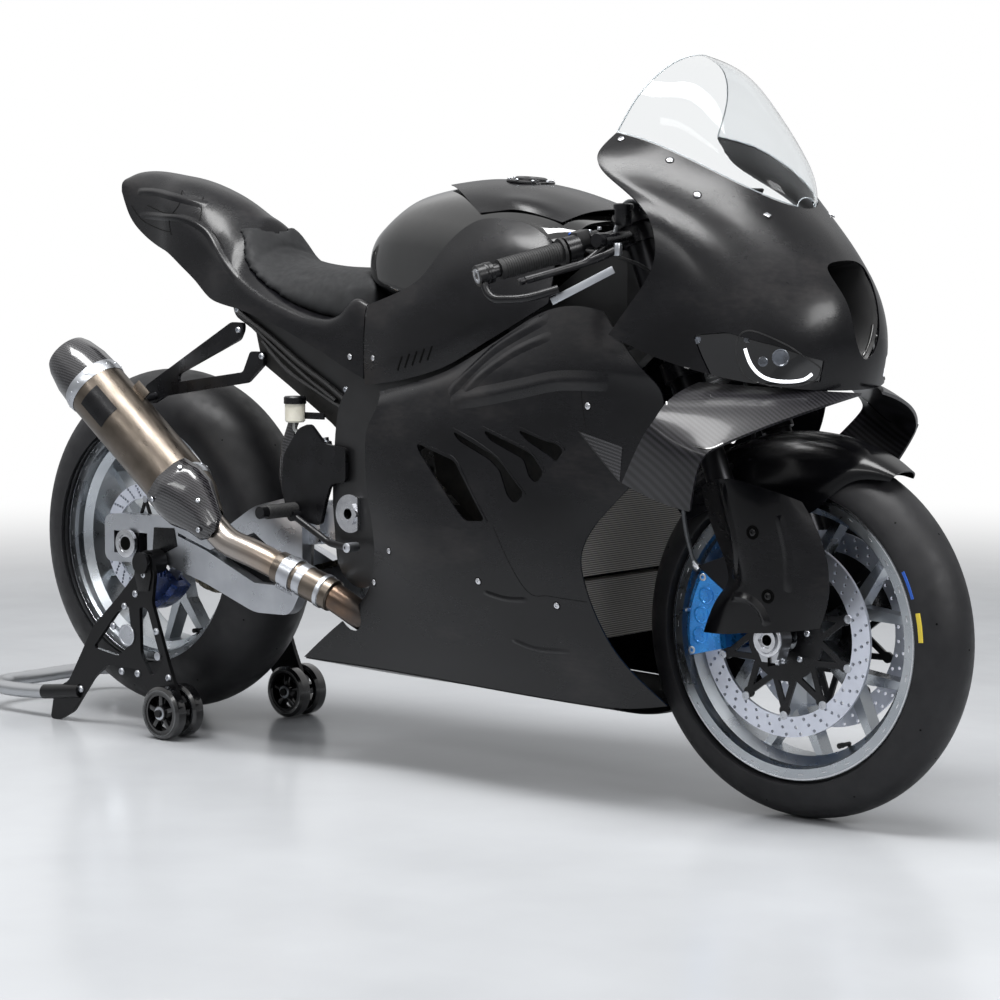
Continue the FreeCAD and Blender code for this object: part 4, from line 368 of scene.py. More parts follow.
@dataclass(frozen=True)
class Core(Finish):
    """Radiator core: flat water tubes with folded fins between them, behind a fine guard mesh."""

    pitch_mm: float = 3.6
    fin_mm: float = 1.8

    def pattern(self, tree: NodeTree, shader: Node) -> None:
        """Level tubes against fine upright fins, over Object coordinates.

        Args:
            tree: The shader tree.
            shader: Its main shader.
        """
        place = add_node(tree, "ShaderNodeTexCoord").outputs["Object"]
        tubes = add_node(tree, "ShaderNodeTexWave", {"bands_direction": "Z", "Scale": WAVE_MM / self.pitch_mm,
                                                     "Distortion": 0.0}, {"Vector": place})
        fins = add_node(tree, "ShaderNodeTexWave", {"bands_direction": "Y", "Scale": WAVE_MM / self.fin_mm,
                                                    "Distortion": 0.0}, {"Vector": place})
        mixed = add_node(tree, "ShaderNodeMath", {"operation": "MULTIPLY_ADD", 1: 0.4},
                         {0: fins.outputs["Fac"], 2: tubes.outputs["Fac"]})
        tree.links.new(ramp(tree, mixed.outputs[0], ((0.2, self.colour), (1.0, self.tint))),
                       shader.inputs["Base Color"])
        add_bump(tree, shader, mixed.outputs[0], 0.7, 0.001)


# Bare laminate sanded for paint: satin black with a brown haze where the abrasive cut it.
BODY = Sanded("SandedBlackLaminate", "#050507", 0.28, 0.0, 0.12, 0.14, "#0b0b0e", rough_spread=0.08,
              grain_size_mm=0.8,
              grain_depth=0.02, specular=0.27, haze="#262424")
# Lacquer straight from the gun: deep black with sharp reflections.
GLOSS = Finish("GlossBlackLacquer", "#050505", 0.08, 0.0, 1.0, 0.03, rough_spread=0.02, grain_depth=0.0)
# Twill of 2 mm tows, drawn 3 mm wide so that the render shows it.
CARBON = Carbon("TwillCarbonLaminate", "#08080a", 0.32, 0.0, 0.2, 0.1, specular=0.22, lean=(0.2, 0.3, 0.0))
SIDE_CARBON = Carbon("FineTwillCarbon", "#0a0a0b", 0.25, 0.0, 0.8, 0.06, tow_mm=2.4, light="#353437",
                     lean=(0.0, 0.6, 0.0), tows_a_band=1.6)
# Soft slick compound, scrubbed: dull grey-black with a fine open grain.
SLICK = Finish("SlickRaceRubber", "#101013", 0.5, 0.0, tint="#19191b", tint_size_mm=35.0, grain_size_mm=0.9,
               grain_depth=0.25, specular=0.4)
# Near-black patches laid over holes, slits, slots and recesses: painted shade.
RECESS_SHADE = Finish("PaintedRecessShade", "#030303", 0.9, grain_depth=0.0, specular=0.1)
RIM = Finish("GreyAnodisedForging", "#a3a8ad", 0.28, 1.0, tint="#b2b6ba", tint_size_mm=90.0, grain_depth=0.03)
DISC = Finish("GroundBrakeSteel", "#d9dde8", 0.45, 1.0, tint="#cfd3de", tint_size_mm=60.0, rough_spread=0.04,
              grain_size_mm=0.5, grain_depth=0.02)
BLACK_ALLOY = Finish("BlackAnodisedAlloy", "#0a0a0c", 0.3, 0.2, specular=0.35, tint="#131316", tint_size_mm=40.0,
                     grain_depth=0.04)
BLACK_PAINT = Finish("SatinBlackFramePaint", "#0c0c0d", 0.42, 0.0, 0.25, 0.25, "#141416", 50.0)
SILVER = Finish("SilverAnodisedAlloy", "#c0c3c8", 0.32, 1.0, tint="#b0b3b9", tint_size_mm=70.0, grain_depth=0.04)
BRIGHT = Finish("TurnedBrightAlloy", "#cdced1", 0.2, 1.0, tint="#bcbdc1", tint_size_mm=12.0, grain_depth=0.03)
BLUE = Finish("BlueAnodisedCaliper", "#2a8fe0", 0.28, 0.45, 0.4, 0.1, "#2079c8", 25.0)
NAVY = Finish("NavyAnodisedCaliper", "#10306e", 0.3, 0.6, 0.3, 0.1, "#0c2450", 20.0)
ORANGE = Finish("OrangeAnodisedAlloy", "#c86a14", 0.3, 0.8, tint="#a85810", tint_size_mm=10.0)
CAST = Finish("DarkCastMagnesium", "#161615", 0.6, 0.3, tint="#23211f", tint_size_mm=15.0, grain_size_mm=1.5,
              grain_depth=0.5)
# Tubes and fins are drawn coarser than the real ones so that the render shows them.
CORE = Core("FinnedRadiatorCore", "#3a3938", 0.5, 0.4, tint="#a5a29d", tint_size_mm=3.0)
TITANIUM = Finish("BrushedTitanium", "#6c645c", 0.34, 1.0, tint="#5c554d", tint_size_mm=50.0, grain_size_mm=0.6,
                  grain_depth=0.08, stretch=(1.0, 4.0, 1.0))
HEATED = Heated("HeatColouredTitanium", "#8e8377", 0.28, 1.0)
LAMP = Finish("SmokedLampCover", "#07080b", 0.05, 0.0, 1.0, 0.02, rough_spread=0.02, grain_depth=0.0)
LIGHT_STRIP = Finish("FrostedLightGuide", "#f4f6fb", 0.3, glow=0.9, grain_depth=0.0)
LAMP_GREY = Finish("SmokedLampInner", "#5d626b", 0.2, 0.5, 1.0, 0.05, "#23252a", 30.0, grain_depth=0.0)
SCREEN = Finish("ClearAcrylicScreen", "#f1f3f4", 0.01, 0.0, transmission=1.0, ior=1.2, rough_spread=0.005,
                grain_depth=0.0)
CLEAR = Finish("ClearMouldedPlastic", "#e9ebea", 0.15, 0.0, transmission=0.6, ior=1.3, grain_depth=0.0)
MILKY = Finish("TranslucentReservoir", "#dcd9cc", 0.35, tint="#cfcaba", tint_size_mm=20.0, grain_depth=0.0)
FOAM = Finish("ClosedCellSeatFoam", "#0f1012", 0.7, tint="#151618", tint_size_mm=20.0, grain_size_mm=1.4,
              grain_depth=0.25, specular=0.4)
GRIP = Finish("SoftGripRubber", "#0e0e0f", 0.65, grain_size_mm=1.0, grain_depth=0.3)
PLASTIC = Finish("MouldedBlackNylon", "#121213", 0.5, grain_size_mm=0.9, grain_depth=0.2)
# Near-black strips and rings: painted shadow in seams and under screw heads.
PAINTED_SHADOW = Finish("SeamShadow", "#040404", 0.8, grain_depth=0.0, specular=0.2)
ROLLER = Finish("HardRollerPlastic", "#0c0c0e", 0.22, 0.0, 0.6, 0.08, grain_depth=0.02)
CHAIN = Finish("OiledChainSteel", "#7a7468", 0.35, 1.0, tint="#4f493e", tint_size_mm=6.0)
HOSE = Finish("GreyBraidedHose", "#5b5d60", 0.45, 0.3, tint="#46484b", tint_size_mm=4.0, grain_size_mm=1.5,
              grain_depth=0.6)
BLUE_MARK = Finish("BluePaintMark", "#2050a8", 0.5)
YELLOW_MARK = Finish("YellowPaintMark", "#c8b23a", 0.5)
# Black anodised legs whose machined feet are left silver.
FORK_LEG = Zoned("ForkLegAnodising", "#17171a", 0.3, 0.7, centre_mm=(1457, 0, 298), reach_mm=66.0, inner="#b4b6ba",
                 grain_depth=0.03)
# Black stand plates, and the handle tube left clear anodised.
STAND = Zoned("StandPlateAnodising", "#101012", 0.34, 0.5, centre_mm=(-560, 0, 40), reach_mm=355.0, inner="#b4b6b9",
              grain_depth=0.03)
# Pale grey tubes on the clear screen's edges: painted highlight where the polished edge catches the light.
EDGE = Finish("PaintedScreenEdgeHighlight", "#b9c0c4", 0.15, grain_depth=0.0)
CLEAR_RIM = Finish("ClearRollerRim", "#55585a", 0.1, 0.0, 1.0, 0.03, grain_depth=0.0)


class Body(Enum):
    """The moving bodies of the bike."""

    CHASSIS = "chassis"
    FORK = "front_fork"
    FRONT_WHEEL = "front_wheel"
    REAR_WHEEL = "rear_wheel"
    ROLLERS_RIGHT = "right_stand_rollers"
    ROLLERS_LEFT = "left_stand_rollers"


# Mesh building


def basis(axis: Vector) -> tuple[Vector, Vector, Vector]:
    """Two directions square to an axis, and the axis, all of unit length.

    Args:
        axis: Any direction.

    Returns:
        The two cross directions and the unit axis.
    """
    unit = axis.normalized()
    side = unit.cross(UP) if abs(unit.z) < 0.95 else unit.cross(FORWARD)
    side.normalize()
    return side, unit.cross(side), unit


def smooth_path(points: Sequence[Vector], steps: int = 6, closed: bool = False) -> list[Vector]:
    """Points along a smooth curve through the given ones.

    Args:
        points: The points that the curve passes.
        steps: Points on each span.
        closed: Whether the curve returns to its start.

    Returns:
        The finer points.
    """
    count = len(points)
    line = []
    spans = count if closed else count - 1
    for k in range(spans):
        if closed:
            a, b, c, d = (points[(k + n) % count] for n in (-1, 0, 1, 2))
        else:
            a, b, c, d = (points[min(max(k + n, 0), count - 1)] for n in (-1, 0, 1, 2))
        for n in range(steps):
            t = n / steps
            line.append(0.5 * ((2 * b) + (c - a) * t + (2 * a - 5 * b + 4 * c - d) * t * t
                               + (3 * b - a - 3 * c + d) * t ** 3))
    return line if closed else line + [points[-1].copy()]


class Form:
    """A mesh in the making, in metres, whose faces carry one or more finishes."""

    def __init__(self) -> None:
        """Starts with no faces."""
        self.mesh = bmesh.new()
        self.finishes: list[Finish] = []

    def index(self, finish: Finish) -> int:
        """The material slot of a finish."""
        if finish not in self.finishes:
            self.finishes.append(finish)
        return self.finishes.index(finish)

    def faces(self, points: Sequence[Vector], loops: Iterable[Sequence[int]], finish: Finish) -> None:
        """Adds faces over new vertices.

        Args:
            points: The vertices.
            loops: Vertex numbers of each face.
            finish: Their finish.
        """
        verts = [self.mesh.verts.new(p) for p in points]
        slot = self.index(finish)
        for loop in loops:
            self.mesh.faces.new([verts[k] for k in loop]).material_index = slot

    def lathe(self, base: Vector, axis: Vector, profile: Sequence[Pair], finish: Finish,
              turns: int = 24, closed: bool = False) -> None:
        """Adds a turned shape.

        Args:
            base: A point on the axis.
            axis: The axis' direction.
            profile: Pairs of (millimetres along the axis, radius in millimetres).
            finish: Its finish.
            turns: Faces around.
            closed: Whether the profile closes on itself, as a ring's does.
        """
        side, up, unit = basis(axis)
        points: list[Vector] = []
        rings = []
        for along, radius in profile:
            centre = base + unit * along / 1000
            if radius < 1e-6:
                rings.append([len(points)] * turns)
                points.append(centre)
                continue
            rings.append([len(points) + k for k in range(turns)])
            points += [centre + (side * math.cos(a) + up * math.sin(a)) * radius / 1000
                       for a in (2 * math.pi * k / turns for k in range(turns))]
        loops = []
        pairs = list(zip(rings, rings[1:])) + ([(rings[-1], rings[0])] if closed else [])
        for low, high in pairs:
            for k in range(turns):
                n = (k + 1) % turns
                loop = list(dict.fromkeys((low[k], low[n], high[n], high[k])))
                if len(loop) > 2:
                    loops.append(loop)
        self.faces(points, loops, finish)

    def tube(self, path: Sequence[Vector], radius: float, finish: Finish, sides: int = 12,
             closed: bool = False, flat: float = 1.0) -> None:
        """Adds a round rod along a path.

        Args:
            path: Its centre line.
            radius: Millimetres.
            finish: Its finish.
            sides: Faces around.
            closed: Whether the path returns to its start.
            flat: Squeezes the section across its first direction.
        """
        count = len(path)
        points, loops = [], []
        turn = None
        for k, here in enumerate(path):
            after = path[(k + 1) % count] if closed or k < count - 1 else here
            before = path[k - 1] if closed or k else here
            unit = (after - before).normalized()
            if turn is None:
                turn = basis(unit)[0]
            turn = (turn - unit * turn.dot(unit)).normalized()
            up = unit.cross(turn)
            points += [here + (turn * math.cos(a) * flat + up * math.sin(a)) * radius / 1000
                       for a in (2 * math.pi * n / sides for n in range(sides))]
        for k in range(count if closed else count - 1):
            low, high = k * sides, ((k + 1) % count) * sides
            loops += [(low + n, low + (n + 1) % sides, high + (n + 1) % sides, high + n) for n in range(sides)]
        if not closed:
            loops += [list(range(sides))[::-1], list(range((count - 1) * sides, count * sides))]
        self.faces(points, loops, finish)

    def plate(self, outline: Sequence[Vector], depth: Vector, finish: Finish, bevel: float = 0.0,
              holes: Sequence[Sequence[Vector]] = ()) -> None:
        """Adds a flat plate.

        Args:
            outline: Its edge, in order.
            depth: From its first face to its second.
            finish: Its finish.
            bevel: Edge bevel in millimetres.
            holes: Edges of its openings.
        """
        made = bmesh.new()
        edges = []
        for loop in (outline, *holes):
            verts = [made.verts.new(p) for p in loop]
            edges += [made.edges.new((a, b)) for a, b in zip(verts, verts[1:] + verts[:1])]
        bmesh.ops.triangle_fill(made, use_beauty=True, use_dissolve=False, edges=edges)
        if not holes:
            bmesh.ops.dissolve_faces(made, faces=made.faces[:])
        top = bmesh.ops.extrude_face_region(made, geom=made.faces[:])
        bmesh.ops.translate(made, verts=[v for v in top["geom"] if isinstance(v, bmesh.types.BMVert)], vec=depth)
        if bevel:
            bmesh.ops.recalc_face_normals(made, faces=made.faces[:])
            sharp = [e for e in made.edges if len(e.link_faces) == 2 and e.calc_face_angle(0.0) > 0.9]
            bmesh.ops.bevel(made, geom=sharp, offset=bevel / 1000, segments=2, profile=0.6, affect="EDGES",
                            clamp_overlap=True)
        self.take(made, finish)

    def block(self, centre: Vector, along: Vector, up: Vector, size: Triple, finish: Finish,
              bevel: float = 1.0) -> None:
        """Adds a block with eased edges.

        Args:
            centre: Its middle.
            along: The direction of its first size.
            up: Roughly the direction of its third size.
            size: Millimetres along, across and up.
            finish: Its finish.
            bevel: Edge bevel in millimetres.
        """
        made = bmesh.new()
        bmesh.ops.create_cube(made, size=1.0)
        x = along.normalized()
        y = up.cross(x).normalized()
        z = x.cross(y)
        turn = Matrix((x, y, z)).transposed().to_4x4()
        bmesh.ops.transform(made, matrix=Matrix.Translation(centre) @ turn
                            @ Matrix.Diagonal((size[0] / 1000, size[1] / 1000, size[2] / 1000, 1.0)),
                            verts=made.verts)
        if bevel:
            bmesh.ops.bevel(made, geom=made.edges[:], offset=bevel / 1000, segments=2, profile=0.6,
                            affect="EDGES", clamp_overlap=True)
        self.take(made, finish)

    def take(self, made: bmesh.types.BMesh, finish: Finish) -> None:
        """Moves the faces of another mesh in the making into this one.

        Args:
            made: The other mesh, which is freed.
            finish: Its finish.
        """
        made.verts.index_update()
        self.faces([v.co.copy() for v in made.verts], [[v.index for v in f.verts] for f in made.faces], finish)
        made.free()

    def ribbon(self, path: Sequence[Vector], normals: Sequence[Vector], width: float, height: float,
               finish: Finish, closed: bool = False) -> None:
        """Adds a thin raised strip along a path on a skin.

        Args:
            path: Its middle line, on the skin.
            normals: The skin's outward direction at each point.
            width: Millimetres across.
            height: Millimetres proud of the skin.
            finish: Its finish.
            closed: Whether the strip returns to its start.
        """
        points, loops = [], []
        count = len(path)
        for k, (here, out) in enumerate(zip(path, normals)):
            run = path[(k + 1) % count if closed else min(k + 1, count - 1)] - path[k - 1 if closed or k else 0]
            across = run.cross(out).normalized() * width / 2000
            low, high = out * -0.0006, out * height / 1000
            points += [here - across + low, here - across * 0.7 + high, here + across * 0.7 + high,
                       here + across + low]
        for k in range(count if closed else count - 1):
            a, b = 4 * k, 4 * ((k + 1) % count)
            loops += [(a + n, a + n + 1, b + n + 1, b + n) for n in range(3)] + [(a + 3, a, b, b + 3)]
        if not closed:
            loops += [(0, 3, 2, 1), tuple(4 * (count - 1) + n for n in range(4))]
        self.faces(points, loops, finish)

    def crease(self, skin: "Skin", places: Sequence[Pair], side: int, half: float, height: float,
               finish: Finish) -> None:
        """Adds a soft moulded ridge that grows out of a skin and dies away at both ends.

        Args:
            skin: The skin that it lies on.
            places: Pairs of (x, z) in millimetres along its crest.
            side: -1 for the right, 1 for the left.
            half: Millimetres from its crest to its foot.
            height: Millimetres proud of the skin at the crest.
            finish: Its finish.
        """
        crest = smooth_path([Vector((x, 0.0, z)) for x, z in places], 8)
        section = ((-1.0, -0.2), (-0.62, 0.3), (-0.25, 0.85), (0.0, 1.0), (0.3, 0.6), (0.65, 0.15), (1.0, -0.2))
        last, wide = len(crest) - 1, len(section)
        points = []
        for k, here in enumerate(crest):
            run = crest[min(k + 1, last)] - crest[max(k - 1, 0)]
            across = Vector((-run.z, 0.0, run.x)).normalized() * half
            fade = math.sin(math.pi * min(0.5, 2.5 * k / last, 2.5 * (last - k) / last))
            for share, rise in section:
                place = here + across * share
                point, normal = skin.from_side(place.x, place.z, side)
                points.append(point + normal * (rise * height * fade - 0.15 * (1 - fade)) / 1000)
        self.faces(points, [(wide * k + n, wide * k + n + 1, wide * (k + 1) + n + 1, wide * (k + 1) + n)
                            for k in range(last) for n in range(wide - 1)], finish)

    def make(self, name: str, body: Body, slot: str, sharp_deg: float = 35.0) -> Object:
        """Turns the form into a finished object that rides on a body.

        Args:
            name: The object's name.
            body: The body that it moves with.
            slot: Not used.
            sharp_deg: Edges sharper than this stay crisp.

        Returns:
            The new object.
        """
        bmesh.ops.recalc_face_normals(self.mesh, faces=self.mesh.faces[:])
        data = bpy.data.meshes.new(name)
        self.mesh.to_mesh(data)
        self.mesh.free()
        for finish in self.finishes:
            data.materials.append(finish.material())
        return settle(name, data, body, sharp_deg)


def settle(name: str, data: Mesh, body: Body, sharp_deg: float = 35.0) -> Object:
    """Shades a mesh and puts it in the scene as a piece that rides on a body.

    Args:
        name: The object's name.
        data: Its mesh.
        body: The body that it moves with.
        sharp_deg: Edges sharper than this stay crisp.

    Returns:
        The new object.
    """
    data.shade_smooth()
    data.set_sharp_from_angle(angle=math.radians(sharp_deg))
    made = bpy.data.objects.new(name, data)
    bpy.context.scene.collection.objects.link(made)
    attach(made, body.value)
    log.info("made %s: %d faces on %s", name, len(data.polygons), body.value)
    return made


@dataclass
class Spot:
    """A place for one copy: a point, the direction it faces, a second direction, and its size."""

    point: Vector
    facing: Vector
    along: Vector = field(default_factory=UP.copy)
    size: float = 1.0

    def turn(self) -> tuple[float, float, float, float]:
        """The rotation that takes a shape's Z to facing and its X towards along.

        Returns:
            The quaternion's w, x, y and z.
        """
        z = self.facing.normalized()
        x = self.along - z * self.along.dot(z)
        x = x.normalized() if x.length > 1e-6 else basis(z)[0]
        quaternion = Matrix((x, z.cross(x), z)).transposed().to_quaternion()
        return quaternion.w, quaternion.x, quaternion.y, quaternion.z


class Scatter:
    """Geometry Nodes that set one small shape at many spots and realise the copies."""

    def __init__(self, name: str, shape: Form, finish: Finish) -> None:
        """Keeps the shape, built around the origin and facing +Z.

        Args:
            name: The scatter's name.
            shape: The shape to repeat.
            finish: The finish of every copy.
        """
        self.name, self.finish = name, finish
        bmesh.ops.recalc_face_normals(shape.mesh, faces=shape.mesh.faces[:])
        self.data = bpy.data.meshes.new(name + "_shape")
        shape.mesh.to_mesh(self.data)
        shape.mesh.free()

    def tree(self) -> tuple[NodeTree, dict[str, str]]:
        """The node tree, and the identifier of each of its named inputs.

        Returns:
            The tree, and identifiers by input name.
        """
        tree = bpy.data.node_groups.new(self.name + "_scatter", "GeometryNodeTree")
        face = tree.interface
        spots = face.new_socket("Spots", in_out="INPUT", socket_type="NodeSocketGeometry")
        named = {spots.name: spots.identifier}
        for label, kind in (("Shape", "NodeSocketObject"), ("Scale", "NodeSocketFloat"),
                            ("Finish", "NodeSocketMaterial")):
            socket = face.new_socket(label, in_out="INPUT", socket_type=kind)
            named[label] = socket.identifier
        face.new_socket("Copies", in_out="OUTPUT", socket_type="NodeSocketGeometry")
        entry = tree.nodes.new("NodeGroupInput")
        leave = tree.nodes.new("NodeGroupOutput")
        shape = add_node(tree, "GeometryNodeObjectInfo", links={"Object": entry.outputs["Shape"]})
        turn = add_node(tree, "GeometryNodeInputNamedAttribute", {"data_type": "QUATERNION", "Name": "turn"})
        size = add_node(tree, "GeometryNodeInputNamedAttribute", {"data_type": "FLOAT", "Name": "size"})
        scale = add_node(tree, "ShaderNodeMath", {"operation": "MULTIPLY"},
                         {0: size.outputs["Attribute"], 1: entry.outputs["Scale"]})
        points = add_node(tree, "GeometryNodeMeshToPoints", links={"Mesh": entry.outputs["Spots"]})
        copies = add_node(tree, "GeometryNodeInstanceOnPoints",
                          links={"Points": points.outputs[0], "Instance": shape.outputs["Geometry"],
                                 "Rotation": turn.outputs["Attribute"], "Scale": scale.outputs[0]})
        real = add_node(tree, "GeometryNodeRealizeInstances", links={"Geometry": copies.outputs[0]})
        dressed = add_node(tree, "GeometryNodeSetMaterial",
                           links={"Geometry": real.outputs[0], "Material": entry.outputs["Finish"]})
        tree.links.new(dressed.outputs[0], leave.inputs["Copies"])
        return tree, named

    def place(self, spots: Sequence[Spot], body: Body, slot: str, name: str = "",
              sharp_deg: float = 35.0) -> Object:
        """Sets a copy at every spot and makes one plain mesh of them.

        Args:
            spots: Where the copies go.
            body: The body that they move with.
            slot: Not used.
            name: The object's name, where it isn't the scatter's.
            sharp_deg: Edges sharper than this stay crisp.

        Returns:
            The object with all the copies.
        """
        cloud = bpy.data.meshes.new(self.name + "_spots")
        cloud.from_pydata([tuple(s.point) for s in spots], [], [])
        cloud.attributes.new("turn", "QUATERNION", "POINT").data.foreach_set(
            "value", [v for s in spots for v in s.turn()])
        cloud.attributes.new("size", "FLOAT", "POINT").data.foreach_set("value", [s.size for s in spots])
        holder = bpy.data.objects.new(self.name + "_spots", cloud)
        shape = bpy.data.objects.new(self.name + "_shape", self.data)
        for made in (holder, shape):
            bpy.context.scene.collection.objects.link(made)
        modifier = holder.modifiers.new("copies", "NODES")
        tree, named = self.tree()
        modifier.node_group = tree
        modifier[named["Shape"]] = shape
        modifier[named["Scale"]] = 1.0
        modifier[named["Finish"]] = self.finish.material()
        graph = bpy.context.evaluated_depsgraph_get()
        data = bpy.data.meshes.new_from_object(holder.evaluated_get(graph), depsgraph=graph)
        holder.modifiers.remove(modifier)
        for made in (holder, shape):
            bpy.data.objects.remove(made)
        if not data.materials:
            data.materials.append(self.finish.material())
        return settle(name or self.name, data, body, sharp_deg)


class Skin:
    """The outside of some CAD nodes, to lay seams and screws on."""

    def __init__(self, *nodes: str) -> None:
        """Gathers the nodes' faces into one search tree.

        Args:
            nodes: Names of CAD nodes.
        """
        points: list[Vector] = []
        faces: list[list[int]] = []
        for name in nodes:
            base = len(points)
            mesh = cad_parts[name].data
            points += [v.co.copy() for v in mesh.vertices]
            faces += [[base + k for k in p.vertices] for p in mesh.polygons]
        self.tree = BVHTree.FromPolygons(points, faces)

    def hit(self, start: Vector, direction: Vector) -> tuple[Vector, Vector]:
        """Where a ray meets the skin, with the outward direction there.

        Args:
            start: The ray's start, outside the skin.
            direction: The ray's direction.

        Returns:
            The point and the outward normal; the start itself where nothing is met.
        """
        point, normal, _, _ = self.tree.ray_cast(start, direction.normalized())
        if point is None:
            near, normal, _, _ = self.tree.find_nearest(start)
            point = near
        return point, normal if normal.dot(direction) < 0 else -normal

    def from_side(self, x: float, z: float, side: int = -1) -> tuple[Vector, Vector]:
        """The skin's outermost point at a place seen square from one side, in millimetres."""
        return self.hit(at(x, side * 600, z), Vector((0.0, -side, 0.0)))

    def line(self, places: Sequence[Pair], side: int = -1,
             steps: int = 8) -> tuple[list[Vector], list[Vector]]:
        """A smooth line over the skin through places seen from one side.

        Args:
            places: Pairs of (x, z) in millimetres.
            side: -1 for the right, 1 for the left.
            steps: Points on each span.

        Returns:
            The points and their outward directions.
        """
        path = smooth_path([Vector((x, 0.0, z)) for x, z in places], steps)
        found = [self.from_side(p.x, p.z, side) for p in path]
        return [p for p, _ in found], [n for _, n in found]


def around(centre: Vector, radius: float, angle_deg: float, y: float) -> Vector:
    """A point on a wheel, in metres.

    Args:
        centre: The axle's middle.
        radius: Millimetres from the axle.
        angle_deg: Degrees from straight ahead, upwards.
        y: Millimetres to the left.

    Returns:
        The point.
    """
    a = math.radians(angle_deg)
    return centre + Vector((math.cos(a) * radius, y, math.sin(a) * radius)) / 1000


def outwards(angle_deg: float) -> Vector:
    """The direction away from an axle at an angle."""
    a = math.radians(angle_deg)
    return Vector((math.cos(a), 0.0, math.sin(a)))


def button_head(radius: float, height: float, finish: Finish, socket: bool = True, sides: int = 14) -> Form:
    """A button-head screw around the origin, facing +Z.

    Args:
        radius: Head radius in millimetres.
        height: Head height in millimetres.
        finish: Its finish.
        socket: Whether it has a sunk drive socket.
        sides: Faces around.

    Returns:
        The form.
    """
    form = Form()
    profile = [(-0.6, radius * 0.9), (0.0, radius), (height * 0.45, radius * 0.97), (height * 0.85, radius * 0.78),
               (height, radius * 0.5)]
    if socket:
        profile += [(height, radius * 0.36), (height * 0.35, radius * 0.33), (height * 0.35, 0.0)]
    else:
        profile += [(height, 0.0)]
    form.lathe(ORIGIN, UP, profile, finish, sides)
    return form


